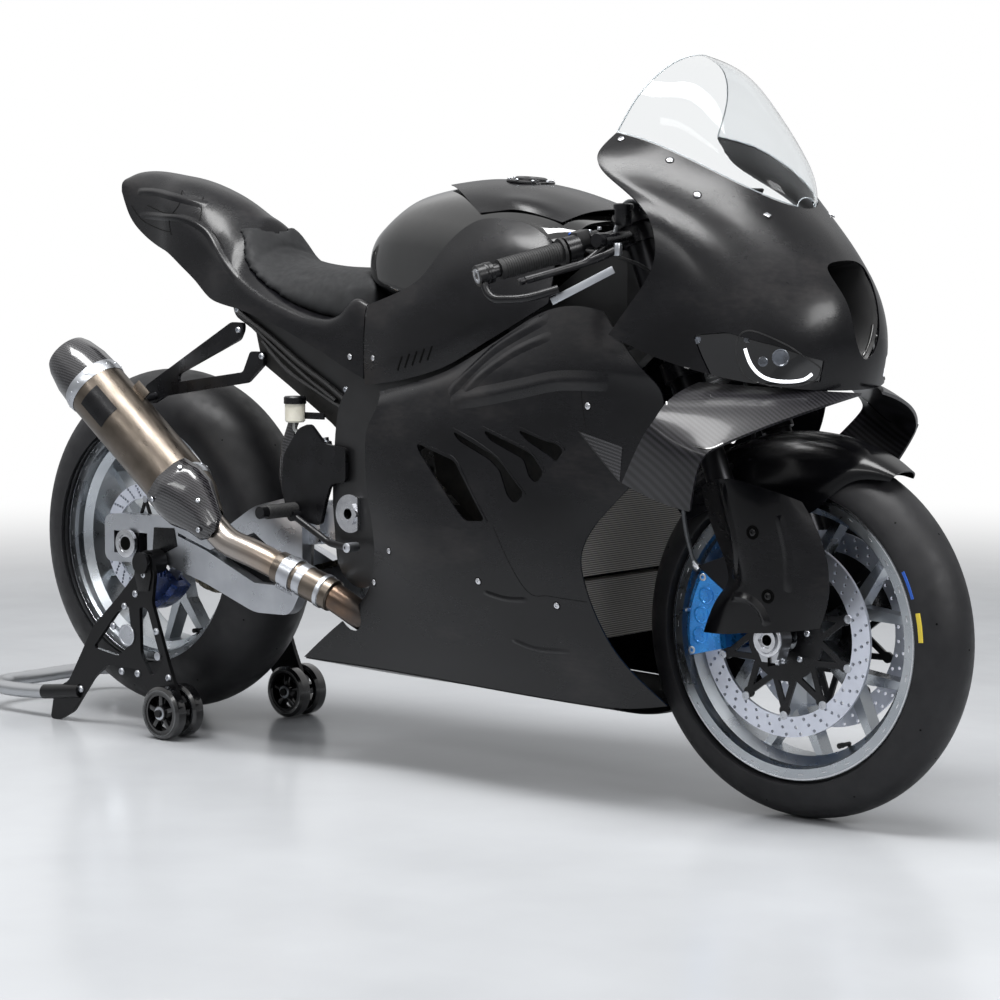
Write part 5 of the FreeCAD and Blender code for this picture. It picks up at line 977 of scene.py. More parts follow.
@dataclass
class Wheel:
    """A slick tyre on a forged rim, with perforated discs. Sizes in millimetres."""

    prefix: str
    centre: Vector
    body: Body
    tyre_r: float
    width: float
    rim_width: float
    disc_r: float
    disc_band: float
    disc_thick: float
    disc_y: tuple[float, ...]
    hole_rows: int
    hole_steps: int
    seat_r: float = 216.0
    flange: float = 15.0
    wall: float = 6.0
    hole_r: float = 2.9
    slant_deg: float = 8.0
    disc_node: str = ""
    spider: bool = False

    def tyre_section(self) -> list[Pair]:
        """The tyre's closed section as (width, radius) pairs, finer than the CAD's.

        Returns:
            The pairs, in millimetres.
        """
        foot = self.rim_width / 2 - self.wall - 0.3
        lip = self.seat_r + self.flange + self.wall * 0.7
        half, bend = self.width / 2, self.tyre_r - self.width / 2
        side = [(foot, self.seat_r + 0.3), (foot, lip - 1.5), (foot + 1.6, lip)]
        for k in range(1, 11):
            t = k / 10
            bulge = foot + (half - foot) * math.sin(math.pi / 2 * t)
            step = 0.9 if k in (2, 8) else 0.0
            side.append((bulge + step, lip + (bend - lip) * t))
        for k in range(1, 25):
            a = math.pi / 2 * k / 24
            side.append((half * math.cos(a), bend + half * math.sin(a)))
        inner = [(foot - 5, self.seat_r + 0.3), (foot - 5, lip), (half - 9, bend), (half * 0.6, self.tyre_r - 24),
                 (0.0, self.tyre_r - 9)]
        ring = side + [(-w, r) for w, r in side[-2::-1]]
        return ring + [(-w, r) for w, r in inner] + inner[-2::-1]

    def tyre(self) -> None:
        """The tyre: one smooth ring that stands for the CAD's faceted one."""
        form = Form()
        form.lathe(self.centre, ACROSS, self.tyre_section(), SLICK, 120, closed=True)
        made = form.make(f"{self.prefix}_slick_tyre", self.body, "tyre", 40.0)
        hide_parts(f"{self.prefix}_tyre")

    def tread_holes(self) -> None:
        """The small wear holes that a slick is moulded with, across the crown and on both shoulders, drawn as thin
        near-black discs of painted shade.
        """
        shape = Form()
        shape.lathe(ORIGIN, UP, [(-0.5, 1.7), (0.06, 1.7), (0.06, 0.0)], RECESS_SHADE, 10)
        spots = []
        half, bend = self.width / 2, self.tyre_r - self.width / 2
        for k in range(10):
            for lean in (-0.95, 0.0, 0.95):
                turn = 36 * k + (9 if lean else 0)
                out, base = outwards(turn), around(self.centre, bend, turn, 0.0)
                facing = out * math.cos(lean) + ACROSS * math.sin(lean)
                spots.append(Spot(base + facing * half / 1000, facing))
        Scatter(f"{self.prefix}_wear_holes", shape, RECESS_SHADE).place(spots, self.body, "tyre")

    def disc_sector(self, y: float, start_deg: float, step_deg: float) -> Form:
        """One slanted sector of a disc, with a row of holes through it.

        Args:
            y: Millimetres of the disc's middle plane.
            start_deg: Where the sector starts.
            step_deg: Its width.

        Returns:
            The form, in place.
        """
        outer, inner = self.disc_r, self.disc_r - self.disc_band

        def spot(radius: float, angle: float) -> Vector:
            """A point of the slanted sector."""
            lean = self.slant_deg * (radius - inner) / self.disc_band
            return around(self.centre, radius, start_deg + angle + lean, y - self.disc_thick / 2)
        rim = [spot(outer, step_deg * k / 3) for k in range(4)]
        bore = [spot(inner, step_deg * k / 3) for k in range(3, -1, -1)]
        far = [spot(inner + self.disc_band * t, step_deg) for t in (0.75, 0.5, 0.25)]
        near = [spot(inner + self.disc_band * t, 0.0) for t in (0.25, 0.5, 0.75)]
        holes = []
        for k in range(self.hole_steps):
            radius = inner + self.disc_band * (0.18 + 0.68 * k / (self.hole_steps - 1))
            angle = step_deg * (0.5 if self.hole_steps < 5 or k % 2 else 0.42)
            middle = spot(radius, angle)
            holes.append([middle + Vector((math.cos(a), 0, math.sin(a))) * self.hole_r / 1000
                          for a in (2 * math.pi * n / 10 for n in range(10))])
        form = Form()
        form.plate(rim + far + bore + near, ACROSS * self.disc_thick / 1000, DISC, holes=holes)
        return form

    def discs(self) -> None:
        """The perforated discs: one drilled sector turned round the axle by Geometry Nodes."""
        step = 360 / self.hole_rows
        made = []
        for n, y in enumerate(self.disc_y):
            form = self.disc_sector(y, 0.0, step)
            bmesh.ops.translate(form.mesh, verts=form.mesh.verts[:], vec=-self.centre)
            walls = [f for f in form.mesh.faces if abs(f.normal.y) < 0.5 and self.on_cut(f, step)]
            bmesh.ops.delete(form.mesh, geom=walls, context="FACES")
            spots = []
            for k in range(self.hole_rows):
                a = math.radians(step * k)
                facing = Vector((-math.sin(a), 0.0, math.cos(a)))
                spots.append(Spot(self.centre, facing, Vector((math.cos(a), 0.0, math.sin(a)))))
            tag = ("right", "left")[n] if len(self.disc_y) > 1 else "right"
            made.append(Scatter(f"{self.prefix}_disc_{tag}", form, DISC).place(spots, self.body, "disc_steel"))
        if not self.spider:
            for disc in made:
                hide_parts(self.disc_node)

    def on_cut(self, face: bmesh.types.BMFace, step_deg: float) -> bool:
        """Whether a face of a sector lies on one of its two slanted cuts.

        Args:
            face: A face of a sector that starts at 0 degrees, about the origin.
            step_deg: The sector's width.

        Returns:
            True on a cut.
        """
        inner = self.disc_r - self.disc_band
        for edge in (0.0, step_deg):
            if all(abs(math.degrees(math.atan2(v.co.z, v.co.x)) - edge
                       - self.slant_deg * (math.hypot(v.co.x, v.co.z) * 1000 - inner) / self.disc_band) < 0.4
                   for v in face.verts):
                return True
        return False

    def flange_marks(self) -> None:
        """Short raised dashes around both rim flanges, and the polished line at each edge."""
        shape = Form()
        shape.block(Vector((0, 0, 0.0002)), FORWARD, UP, (10.0, 2.2, 1.2), BRIGHT, 0.5)
        spots = []
        for side in (-1, 1):
            for k in range(30):
                point = around(self.centre, self.seat_r + self.flange * 0.35, 12 * k,
                               side * (self.rim_width / 2 - 0.4))
                spots.append(Spot(point, ACROSS * side, outwards(12 * k + 90)))
        Scatter(f"{self.prefix}_flange_dashes", shape, BRIGHT).place(spots, self.body, "rim")
        edge = Form()
        face, lip = self.rim_width / 2, self.seat_r + self.flange
        for side in (-1, 1):
            edge.lathe(self.centre, ACROSS * side, [(face - 0.4, lip - 3.4), (face + 0.5, lip - 3.0),
                                                    (face + 0.5, lip - 0.8), (face - 0.4, lip - 0.4)], BRIGHT, 90)
        edge.make(f"{self.prefix}_rim_edges", self.body, "rim")

    def valve(self) -> None:
        """The black angled valve with its cap, through the rim's well."""
        form = Form()
        base = around(self.centre, self.seat_r - 18, -62.0, -self.rim_width * 0.14)
        inward = -outwards(-62.0)
        form.lathe(base - inward * 0.006, inward, [(0, 4.5), (9, 4.5), (9.5, 3.2), (16, 3.2), (16, 0)], BLACK_ALLOY,
                   14)
        elbow = base + inward * 0.008
        form.lathe(elbow, -ACROSS, [(-3, 0.0), (-3, 3.4), (16, 3.4), (16, 4.4), (27, 4.4), (28, 0.0)], BLACK_ALLOY,
                   14)
        form.make(f"{self.prefix}_valve", self.body, "black_metal")

    def bobbins(self) -> None:
        """The floating buttons between disc and carrier."""
        inner = self.disc_r - self.disc_band
        shape = Form()
        shape.lathe(ORIGIN, UP,
                    [(-1.0, 7.0), (1.6, 7.0), (2.2, 6.2), (2.2, 3.6), (1.2, 3.2), (1.2, 0.0)], SILVER, 18)
        spots = []
        for y in self.disc_y:
            side = 1 if y > 0 else -1
            for k in range(10):
                point = around(self.centre, inner - 1.5, 36 * (k + 0.5), y + side * self.disc_thick / 2)
                spots.append(Spot(point, ACROSS * side))
        Scatter(f"{self.prefix}_disc_buttons", shape, SILVER).place(spots, self.body, "bright_alloy")

    def carrier_bolts(self) -> None:
        """The ring of bolts that holds each disc carrier to the hub."""
        skin = Skin(f"{self.prefix}_disc_carriers")
        spots = []
        for side in (-1, 1):
            for k in range(6):
                place = around(self.centre, 44.0, 60 * k + 12, 0.0)
                spots.append(Spot(*skin.from_side(place.x * 1000 - SHIFT * 1000, place.z * 1000, side)))
        Scatter(f"{self.prefix}_carrier_bolts", button_head(5.6, 3.6, SILVER), SILVER).place(
            spots, self.body, "bright_alloy")

    def side_marks(self) -> None:
        """The blank paint dash and the worn patch on the tyre's right wall."""
        form = Form()
        for angles, radius, width, finish in (((29.2, 24.2, 18.7), 245.0, 7.0, BLUE_MARK),
                                              ((13.5, 8.4, 3.0), 248.0, 9.0, YELLOW_MARK)):
            path = smooth_path([around(self.centre, radius, a, -self.width / 2 + 0.75) for a in angles], 6)
            form.ribbon(path, [-ACROSS for _ in path], width, 0.5, finish)
        form.make(f"{self.prefix}_tyre_paint", self.body, "tyre")

    def build(self) -> None:
        """Makes the whole wheel's dressing."""
        self.tyre()
        self.tread_holes()
        self.discs()
        self.flange_marks()
        self.valve()
        if not self.spider:
            self.bobbins()
            self.carrier_bolts()
            self.side_marks()


@dataclass
class FrontEnd:
    """What dresses the fork: feet, calipers, covers and fender. Sizes in millimetres."""

    leg_y: float = 100.0
    axle_half: float = 114.0
    caliper_y: float = 90.6
    piston_r: float = 147.0
    bridge_r: float = 186.6

    def leg(self, up: float, side: int, ahead: float = 0.0) -> Vector:
        """A point on a fork leg's line.

        Args:
            up: Millimetres above the axle along the leg.
            side: -1 for the right, 1 for the left.
            ahead: Millimetres in front of the line, square to it.

        Returns:
            The point.
        """
        return FRONT_AXLE + (STEER * up + AHEAD * ahead + ACROSS * side * self.leg_y) / 1000

    def feet(self) -> None:
        """The pinch slit, a near-black block of painted shade, and bolts of both machined feet, and the silver ring
        around the axle's head.
        """
        form = Form()
        for side in (-1, 1):
            face = FRONT_AXLE + ACROSS * side * (self.axle_half - 2.2) / 1000
            form.lathe(face, ACROSS * side, [(0, 26.5), (1.6, 26.0), (2.0, 24.5), (2.0, 21.5), (0.2, 21.0),
                                             (0.2, 20.0)],
                       BRIGHT, 40)
            low = FRONT_AXLE + Vector((0.004, side * self.leg_y / 1000, -0.034))
            form.block(low, FORWARD, UP, (1.4, 32.0, 14.0), RECESS_SHADE, 0.3)
            for shift in (-8, 8):
                base = low + Vector((0.011, side * shift / 1000, 0.0))
                form.lathe(base, FORWARD, [(0, 4.6), (5.5, 4.6), (6.2, 4.0), (6.2, 2.4), (3.0, 2.2), (3.0, 0)],
                           SILVER, 14)
        form.make("fork_foot_fittings", Body.FORK, "silver_alloy")

    def caliper_trim(self) -> None:
        """Piston caps, bolts, the pad pin, and near-black blocks of painted shade for the split-line recesses and
        bridge slots of both front calipers.
        """
        form = Form()
        for side in (-1, 1):
            for angle in (154.0, 167.0, 180.0):
                spot = around(FRONT_AXLE, self.piston_r, angle + 3, side * (self.caliper_y - 0.8))
                form.lathe(spot, ACROSS * side, [(0, 14.5), (1.8, 14.2), (2.4, 13.0), (2.4, 11.0), (1.2, 10.0),
                                                 (1.2, 0)],
                           BLUE, 28)
                form.lathe(spot + ACROSS * side * 0.0013, ACROSS * side, [(0, 6.0), (0.7, 5.8), (0.7, 0)], BLUE, 20)
            for angle in (148.5, 191.5):
                spot = around(FRONT_AXLE, 166.0, angle, side * 88.0)
                form.lathe(spot, ACROSS * side, [(0, 6.4), (3.4, 6.4), (4.4, 5.4), (4.4, 3.2), (1.4, 3.0), (1.4, 0)],
                           SILVER, 16)
            for angle in (160.0, 173.0, 186.0):
                a, b = (around(FRONT_AXLE, self.bridge_r, angle, side * y) for y in (50.0, 74.0))
                form.block((a + b) / 2, ACROSS, outwards(angle), (18.0, 16.0, 1.2), RECESS_SHADE, 0.5)
            pin = around(FRONT_AXLE, 178.0, 170.0, side * 36.0)
            form.lathe(pin, ACROSS * side, [(0, 0), (0, 3.4), (52, 3.4), (54, 2.4), (54, 0)], SILVER, 14)
            banjo = around(FRONT_AXLE, 190.0, 148.5, side * 78.0)
            form.lathe(banjo, outwards(150.0), [(-6, 7.5), (2, 7.5), (2.6, 6.2), (7, 6.2), (7.6, 5.0), (7.6, 0)],
                       SILVER, 16)
        form.make("caliper_fittings", Body.FORK, "blue_caliper")

    def cover_trim(self) -> None:
        """Soft ridges on the fork covers, one along the lower lip, and their recessed button bolts, each sitting on a
        near-black ring of painted shade.
        """
        skin = Skin("fork_covers")
        shape = button_head(6.0, 2.4, BLACK_ALLOY)
        spots, form = [], Form()
        for side in (-1, 1):
            for x, z in ((1448, 470), (1478, 372)):
                point, normal = skin.from_side(x, z, side)
                spots.append(Spot(point, normal))
                form.lathe(point - normal * 0.0004, normal, [(0, 11.5), (1.0, 11.0), (0.7, 9.6), (0.7, 0)], RECESS_SHADE, 24)
            form.crease(skin, [(1408, 366), (1440, 366), (1464, 352), (1478, 326)], side, 10.0, 6.0, BODY)
            form.crease(skin, [(1402, 392), (1414, 440), (1400, 500), (1388, 545)], side, 9.0, 3.5, BODY)
            form.crease(skin, [(1512, 380), (1510, 440), (1494, 500)], side, 11.0, 3.0, BODY)
        form.make("fork_cover_trim", Body.FORK, "body_black")
        Scatter("fork_cover_bolts", shape, BLACK_ALLOY).place(spots, Body.FORK, "black_metal")

    def hose_ends(self) -> None:
        """Crimped ferrules on the brake hoses."""
        form = Form()
        for side in (-1, 1):
            for a, b in (((1299, 78, 397), (1288, 80, 408)), ((1279, 100, 540), (1276, 100, 600))):
                start, end = at(a[0], side * a[1], a[2]), at(b[0], side * b[1], b[2])
                run = end - start
                form.lathe(start + run * 0.15, run, [(0, 3.7), (0, 4.8), (12, 4.8), (13, 3.7)], SILVER, 14)
        form.make("brake_hose_ferrules", Body.FORK, "silver_alloy")

    def build(self) -> None:
        """Makes all the fork's dressing."""
        self.feet()
        self.caliper_trim()
        self.cover_trim()
        self.hose_ends()


@dataclass
class Bodywork:
    """Seams, screws, vents, lamps, intake and winglet details on the panels. Places in millimetres."""

    screws: tuple[Pair, ...] = ((1198, 662), (738, 395), (684, 335), (960, 363), (1120, 335))
    nose_screws: tuple[Pair, ...] = ((1190, 1084), (1287, 1049), (1347, 994))
    seams: tuple[tuple[Pair, ...], ...] = (
        ((1002, 457), (1060, 358), (1110, 350), (1181, 346)),
        ((1184, 692), (1188, 660), (1194, 627)),
    )
    creases: tuple[tuple[tuple[Pair, ...], float, float], ...] = (
        (((896, 659), (975, 670), (1056, 685), (1141, 701), (1240, 702)), 20.0, 6.0),
        (((890, 668), (932, 706), (990, 752), (1094, 800)), 13.0, 4.0),
        (((925, 668), (968, 704), (1030, 742), (1110, 772)), 11.0, 3.0),
        (((968, 346), (1015, 338), (1062, 340)), 6.0, 2.0),
        (((1010, 268), (1060, 256), (1128, 258)), 6.0, 2.0),
    )
    tail_creases: tuple[tuple[Pair, ...], ...] = (
        ((-50, 968), (30, 964), (110, 960), (170, 940), (220, 900), (290, 850)),
        ((-60, 1012), (0, 1010), (70, 1000), (150, 985)),
    )

    def panel_lines(self) -> None:
        """Thin shadow lines where panels meet, and soft raised creases."""
        skin = Skin("side_fairing_right", "side_fairing_left", "nose_fairing")
        form = Form()
        for side in (-1, 1):
            for places in self.seams:
                path, normals = skin.line(places, side, 10)
                form.ribbon(path, normals, 1.5, 0.25, PAINTED_SHADOW)
        form.make("fairing_seams", Body.CHASSIS, "body_black")
        ridges = Form()
        skin = Skin("side_fairing_right", "side_fairing_left", "nose_fairing", "belly_fairing")
        for side in (-1, 1):
            for places, half, height in self.creases:
                ridges.crease(skin, places, side, half, height, BODY)
        ridges.make("fairing_creases", Body.CHASSIS, "body_black", 60.0)

    def fasteners(self) -> None:
        """Small silver button screws on every panel, with a thin ring of shadow under each."""
        side_skin = Skin("side_fairing_right", "side_fairing_left", "belly_fairing")
        nose_skin = Skin("nose_fairing")
        seat_skin = Skin("seat_unit", "tank_cover")
        spots = []
        for side in (-1, 1):
            for skin, places in ((side_skin, self.screws), (nose_skin, self.nose_screws),
                                 (seat_skin, ((602, 720), (670, 720)))):
                for x, z in places:
                    spots.append(Spot(*skin.from_side(x, z, side)))
        Scatter("fairing_screws", button_head(5.6, 2.2, BRIGHT), BRIGHT).place(spots, Body.CHASSIS, "bright_alloy")
        # A thin near-black ring under each screw: painted shadow.
        ring = Form()
        ring.lathe(ORIGIN, UP, [(-0.5, 7.4), (0.25, 7.2), (0.25, 0.0)], PAINTED_SHADOW, 18)
        Scatter("screw_washers", ring, PAINTED_SHADOW).place(spots, Body.CHASSIS, "body_black")

    def side_inserts(self) -> None:
        """The triangular woven insert between side panel and winglet, with its bright lower edge."""
        skin = Skin("side_fairing_right", "side_fairing_left")
        corners = [Vector((x, 0.0, z)) for x, z in ((1180, 622), (1262, 600), (1256, 545))]
        steps = 8
        form = Form()
        for side in (-1, 1):
            points, index, loops = [], {}, []
            for a in range(steps + 1):
                for b in range(steps + 1 - a):
                    place = (corners[0] * (steps - a - b) + corners[1] * a + corners[2] * b) / steps
                    point, normal = skin.from_side(place.x, place.z, side)
                    index[a, b] = len(points)
                    points.append(point + normal * 0.0007)
            for a in range(steps):
                for b in range(steps - a):
                    loops.append((index[a, b], index[a + 1, b], index[a, b + 1]))
                    if a + b < steps - 1:
                        loops.append((index[a + 1, b], index[a + 1, b + 1], index[a, b + 1]))
            form.faces(points, loops, SIDE_CARBON)
            path, normals = skin.line([(corners[0].x, corners[0].z), (corners[2].x, corners[2].z)], side, 8)
            form.ribbon(path, normals, 2.0, 1.0, GLOSS)
        form.make("side_inserts", Body.CHASSIS, "carbon", 60.0)

    def lamps(self) -> None:
        """Light guides, dark inner housings and lens eyes of both lamps, laid on their smoked covers."""
        skin = Skin("headlights")
        form = Form()
        for side in (-1, 1):
            strip = ((1457, 758), (1464, 737), (1474, 721), (1487, 711), (1504, 707), (1520, 709), (1529, 718))
            path, normals = skin.line(strip, side, 8)
            form.ribbon(path, normals, 6.0, 1.2, LIGHT_STRIP)
            upper = ((1460, 771), (1476, 772), (1488, 767))
            path, normals = skin.line(upper, side, 6)
            form.ribbon(path, normals, 9.0, 0.8, LAMP_GREY)
            for (x, z), radius in (((1500, 744), 14.0), ((1480, 738), 8.0)):
                point, normal = skin.from_side(x, z, side)
                form.lathe(point - normal * 0.0008, normal, [(0, radius), (1.6, radius * 0.96), (1.9, radius * 0.86),
                                                           (1.2, radius * 0.8), (1.6, radius * 0.5), (2.0, 0.0)],
                           LAMP_GREY, 28)
        form.make("lamp_light_guides", Body.CHASSIS, "lamp")

    def lamp_rims(self) -> None:
        """A thin raised rim around each lamp."""
        skin = Skin("headlights", "nose_fairing")
        form = Form()
        outline = ((1448, 776), (1466, 785), (1509, 762), (1533, 734), (1536, 722), (1526, 704), (1500, 700),
                   (1476, 705), (1456, 719), (1446, 750))
        for side in (-1, 1):
            path = smooth_path([Vector((x, 0.0, z)) for x, z in outline], 5, closed=True)
            found = [skin.from_side(p.x, p.z, side) for p in path]
            form.ribbon([p for p, _ in found], [n for _, n in found], 3.0, 0.8, BLACK_PAINT, closed=True)
        form.make("lamp_rims", Body.CHASSIS, "body_black")

    def intake(self) -> None:
        """The ram-air duct behind the nose opening, and its bright inner lip."""
        edge = [(48, 884), (30, 890), (0, 892), (-30, 890), (-48, 884), (-46, 840), (-38, 800), (-22, 762), (0, 738),
                (22, 762), (38, 800), (46, 840)]
        skin = Skin("nose_fairing")
        rings = []
        for shrink, back in ((1.04, 4.0), (0.98, 12.0), (0.9, 45.0), (0.7, 100.0)):
            ring = []
            for y, z in edge:
                middle = 820.0
                point, _ = skin.hit(at(1700, y * 1.04, middle + (z - middle) * 1.04), -FORWARD)
                front = point.x
                ring.append(Vector((front - back / 1000, y * shrink / 1000, (middle + (z - middle) * shrink) / 1000)))
            rings.append(smooth_path(ring, 4, closed=True))
        points = [p for ring in rings for p in ring]
        count = len(rings[0])
        loops = [(k * count + n, k * count + (n + 1) % count, (k + 1) * count + (n + 1) % count, (k + 1) * count + n)
                 for k in range(len(rings) - 1) for n in range(count)]
        loops.append([(len(rings) - 1) * count + n for n in range(count)])
        form = Form()
        form.faces(points, loops, PLASTIC)
        low = [p + Vector((0.001, 0, 0)) for p in rings[1] if p.z < 0.80]
        low.sort(key=lambda p: p.y)
        form.tube(low, 2.0, GLOSS, 8)
        form.make("ram_air_duct", Body.CHASSIS, "body_black", 60.0)

    def vents(self) -> None:
        """Rolled lips around the side vents' upper edges and the heat shield behind them."""
        skin = Skin("side_fairing_right", "side_fairing_left")
        form = Form()
        edges = (((826, 588), (880, 574), (918, 561), (955, 510), (988, 465)),
                 ((908, 614), (960, 596), (1004, 575), (1024, 561), (1048, 538), (1072, 515)),
                 ((978, 619), (1020, 606), (1062, 592), (1086, 580), (1112, 553)),
                 ((1054, 623), (1085, 614), (1110, 606), (1138, 601), (1152, 591)))
        for side in (-1, 1):
            for places in edges:
                path, normals = skin.line(places, side, 8)
                form.ribbon(path, normals, 3.4, 1.3, BODY)
        form.make("vent_lips", Body.CHASSIS, "body_black", 60.0)
        # Near-black strips of painted shade where the knee panel's slots are.
        knee = Skin("tank_cover")
        ribs = Form()
        for side in (-1, 1):
            for k in range(5):
                x, z = 742 + 19 * k, 702 + 5 * k
                path, normals = knee.line([(x, z), (x + 13, z + 24)], side, 5)
                ribs.ribbon(path, normals, 4.5, 0.5, RECESS_SHADE)
        ribs.make("knee_panel_slots", Body.CHASSIS, "body_black")
        mesh = Form()
        for side in (-1, 1):
            outline = [at(x, side * 168, z) for x, z in ((800, 600), (1160, 640), (1165, 500), (930, 430),
                                                         (815, 520))]
            mesh.plate(outline, Vector((0, side * 0.002, 0)), CAST, 0.5)
        mesh.make("vent_heat_shields", Body.CHASSIS, "cast_black")

    def winglets(self) -> None:
        """The bright bend line of each winglet."""
        form = Form()
        for side, node in ((-1, "winglet_right"), (1, "winglet_left")):
            skin = Skin(node)
            path, normals = [], []
            for x, y, z in ((1362, 262, 680), (1386, 272, 640), (1416, 284, 618), (1466, 290, 610), (1498, 284, 622)):
                near, normal, _, _ = skin.tree.find_nearest(at(x, side * y, z))
                out = Vector((0.2, side * 0.6, 0.6)).normalized()
                path.append(near)
                normals.append(normal if normal.dot(out) > 0 else -normal)
            line = smooth_path(path, 6)
            turned = smooth_path(normals, 6)
            form.ribbon(line, [n.normalized() for n in turned], 3.0, 1.6, GLOSS)
        form.make("winglet_bend_lines", Body.CHASSIS, "carbon")

    def screen(self) -> None:
        """The screen's polished edge, drawn as pale grey tubes of painted highlight, and a clip on each side."""
        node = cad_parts["windscreen"].data
        made = bmesh.new()
        made.from_mesh(node)
        bmesh.ops.remove_doubles(made, verts=made.verts[:], dist=0.00002)
        sharp = [e for e in made.edges if len(e.link_faces) == 2 and e.calc_face_angle(0.0) > 0.9]
        form = Form()
        for edge in sharp:
            inward = -(edge.link_faces[0].normal + edge.link_faces[1].normal).normalized() * 0.0009
            a, b = (v.co + inward for v in edge.verts)
            if (a - b).length > 0.0015:
                form.tube([a, b], 0.9, EDGE, 5)
        made.free()
        form.make("screen_edge", Body.CHASSIS, "screen")
        skin = Skin("nose_fairing", "windscreen")
        clips = Form()
        for side in (-1, 1):
            point, normal = skin.from_side(1432, 964, side)
            clips.block(point, Vector((0.9, 0, -0.4)), normal, (16.0, 7.0, 2.0), BRIGHT, 0.8)
        clips.make("screen_clips", Body.CHASSIS, "bright_alloy")

    def tail_inserts(self) -> None:
        """Near-black lines of painted shadow along the tail's seams, and soft raised creases."""
        skin = Skin("seat_unit")
        form = Form()
        for side in (-1, 1):
            for places in (((-20, 985), (40, 972), (110, 965), (180, 940), (230, 905)),
                           ((-78, 985), (-40, 958), (20, 942), (75, 935)),
                           ((78, 1012), (88, 985), (70, 958), (78, 930)),
                           ((130, 1000), (150, 965), (150, 940))):
                path, normals = skin.line(places, side, 8)
                form.ribbon(path, normals, 2.2, 0.7, PAINTED_SHADOW)
        form.make("tail_seams", Body.CHASSIS, "body_black")
        ridges = Form()
        for side in (-1, 1):
            for places in self.tail_creases:
                ridges.crease(skin, places, side, 9.0, 4.0, BODY)
        ridges.make("tail_creases", Body.CHASSIS, "body_black", 60.0)

    def build(self) -> None:
        """Makes all the panel details."""
        for step in (self.panel_lines, self.fasteners, self.side_inserts, self.lamps, self.lamp_rims, self.intake,
                     self.vents, self.winglets, self.screen, self.tail_inserts):
            step()


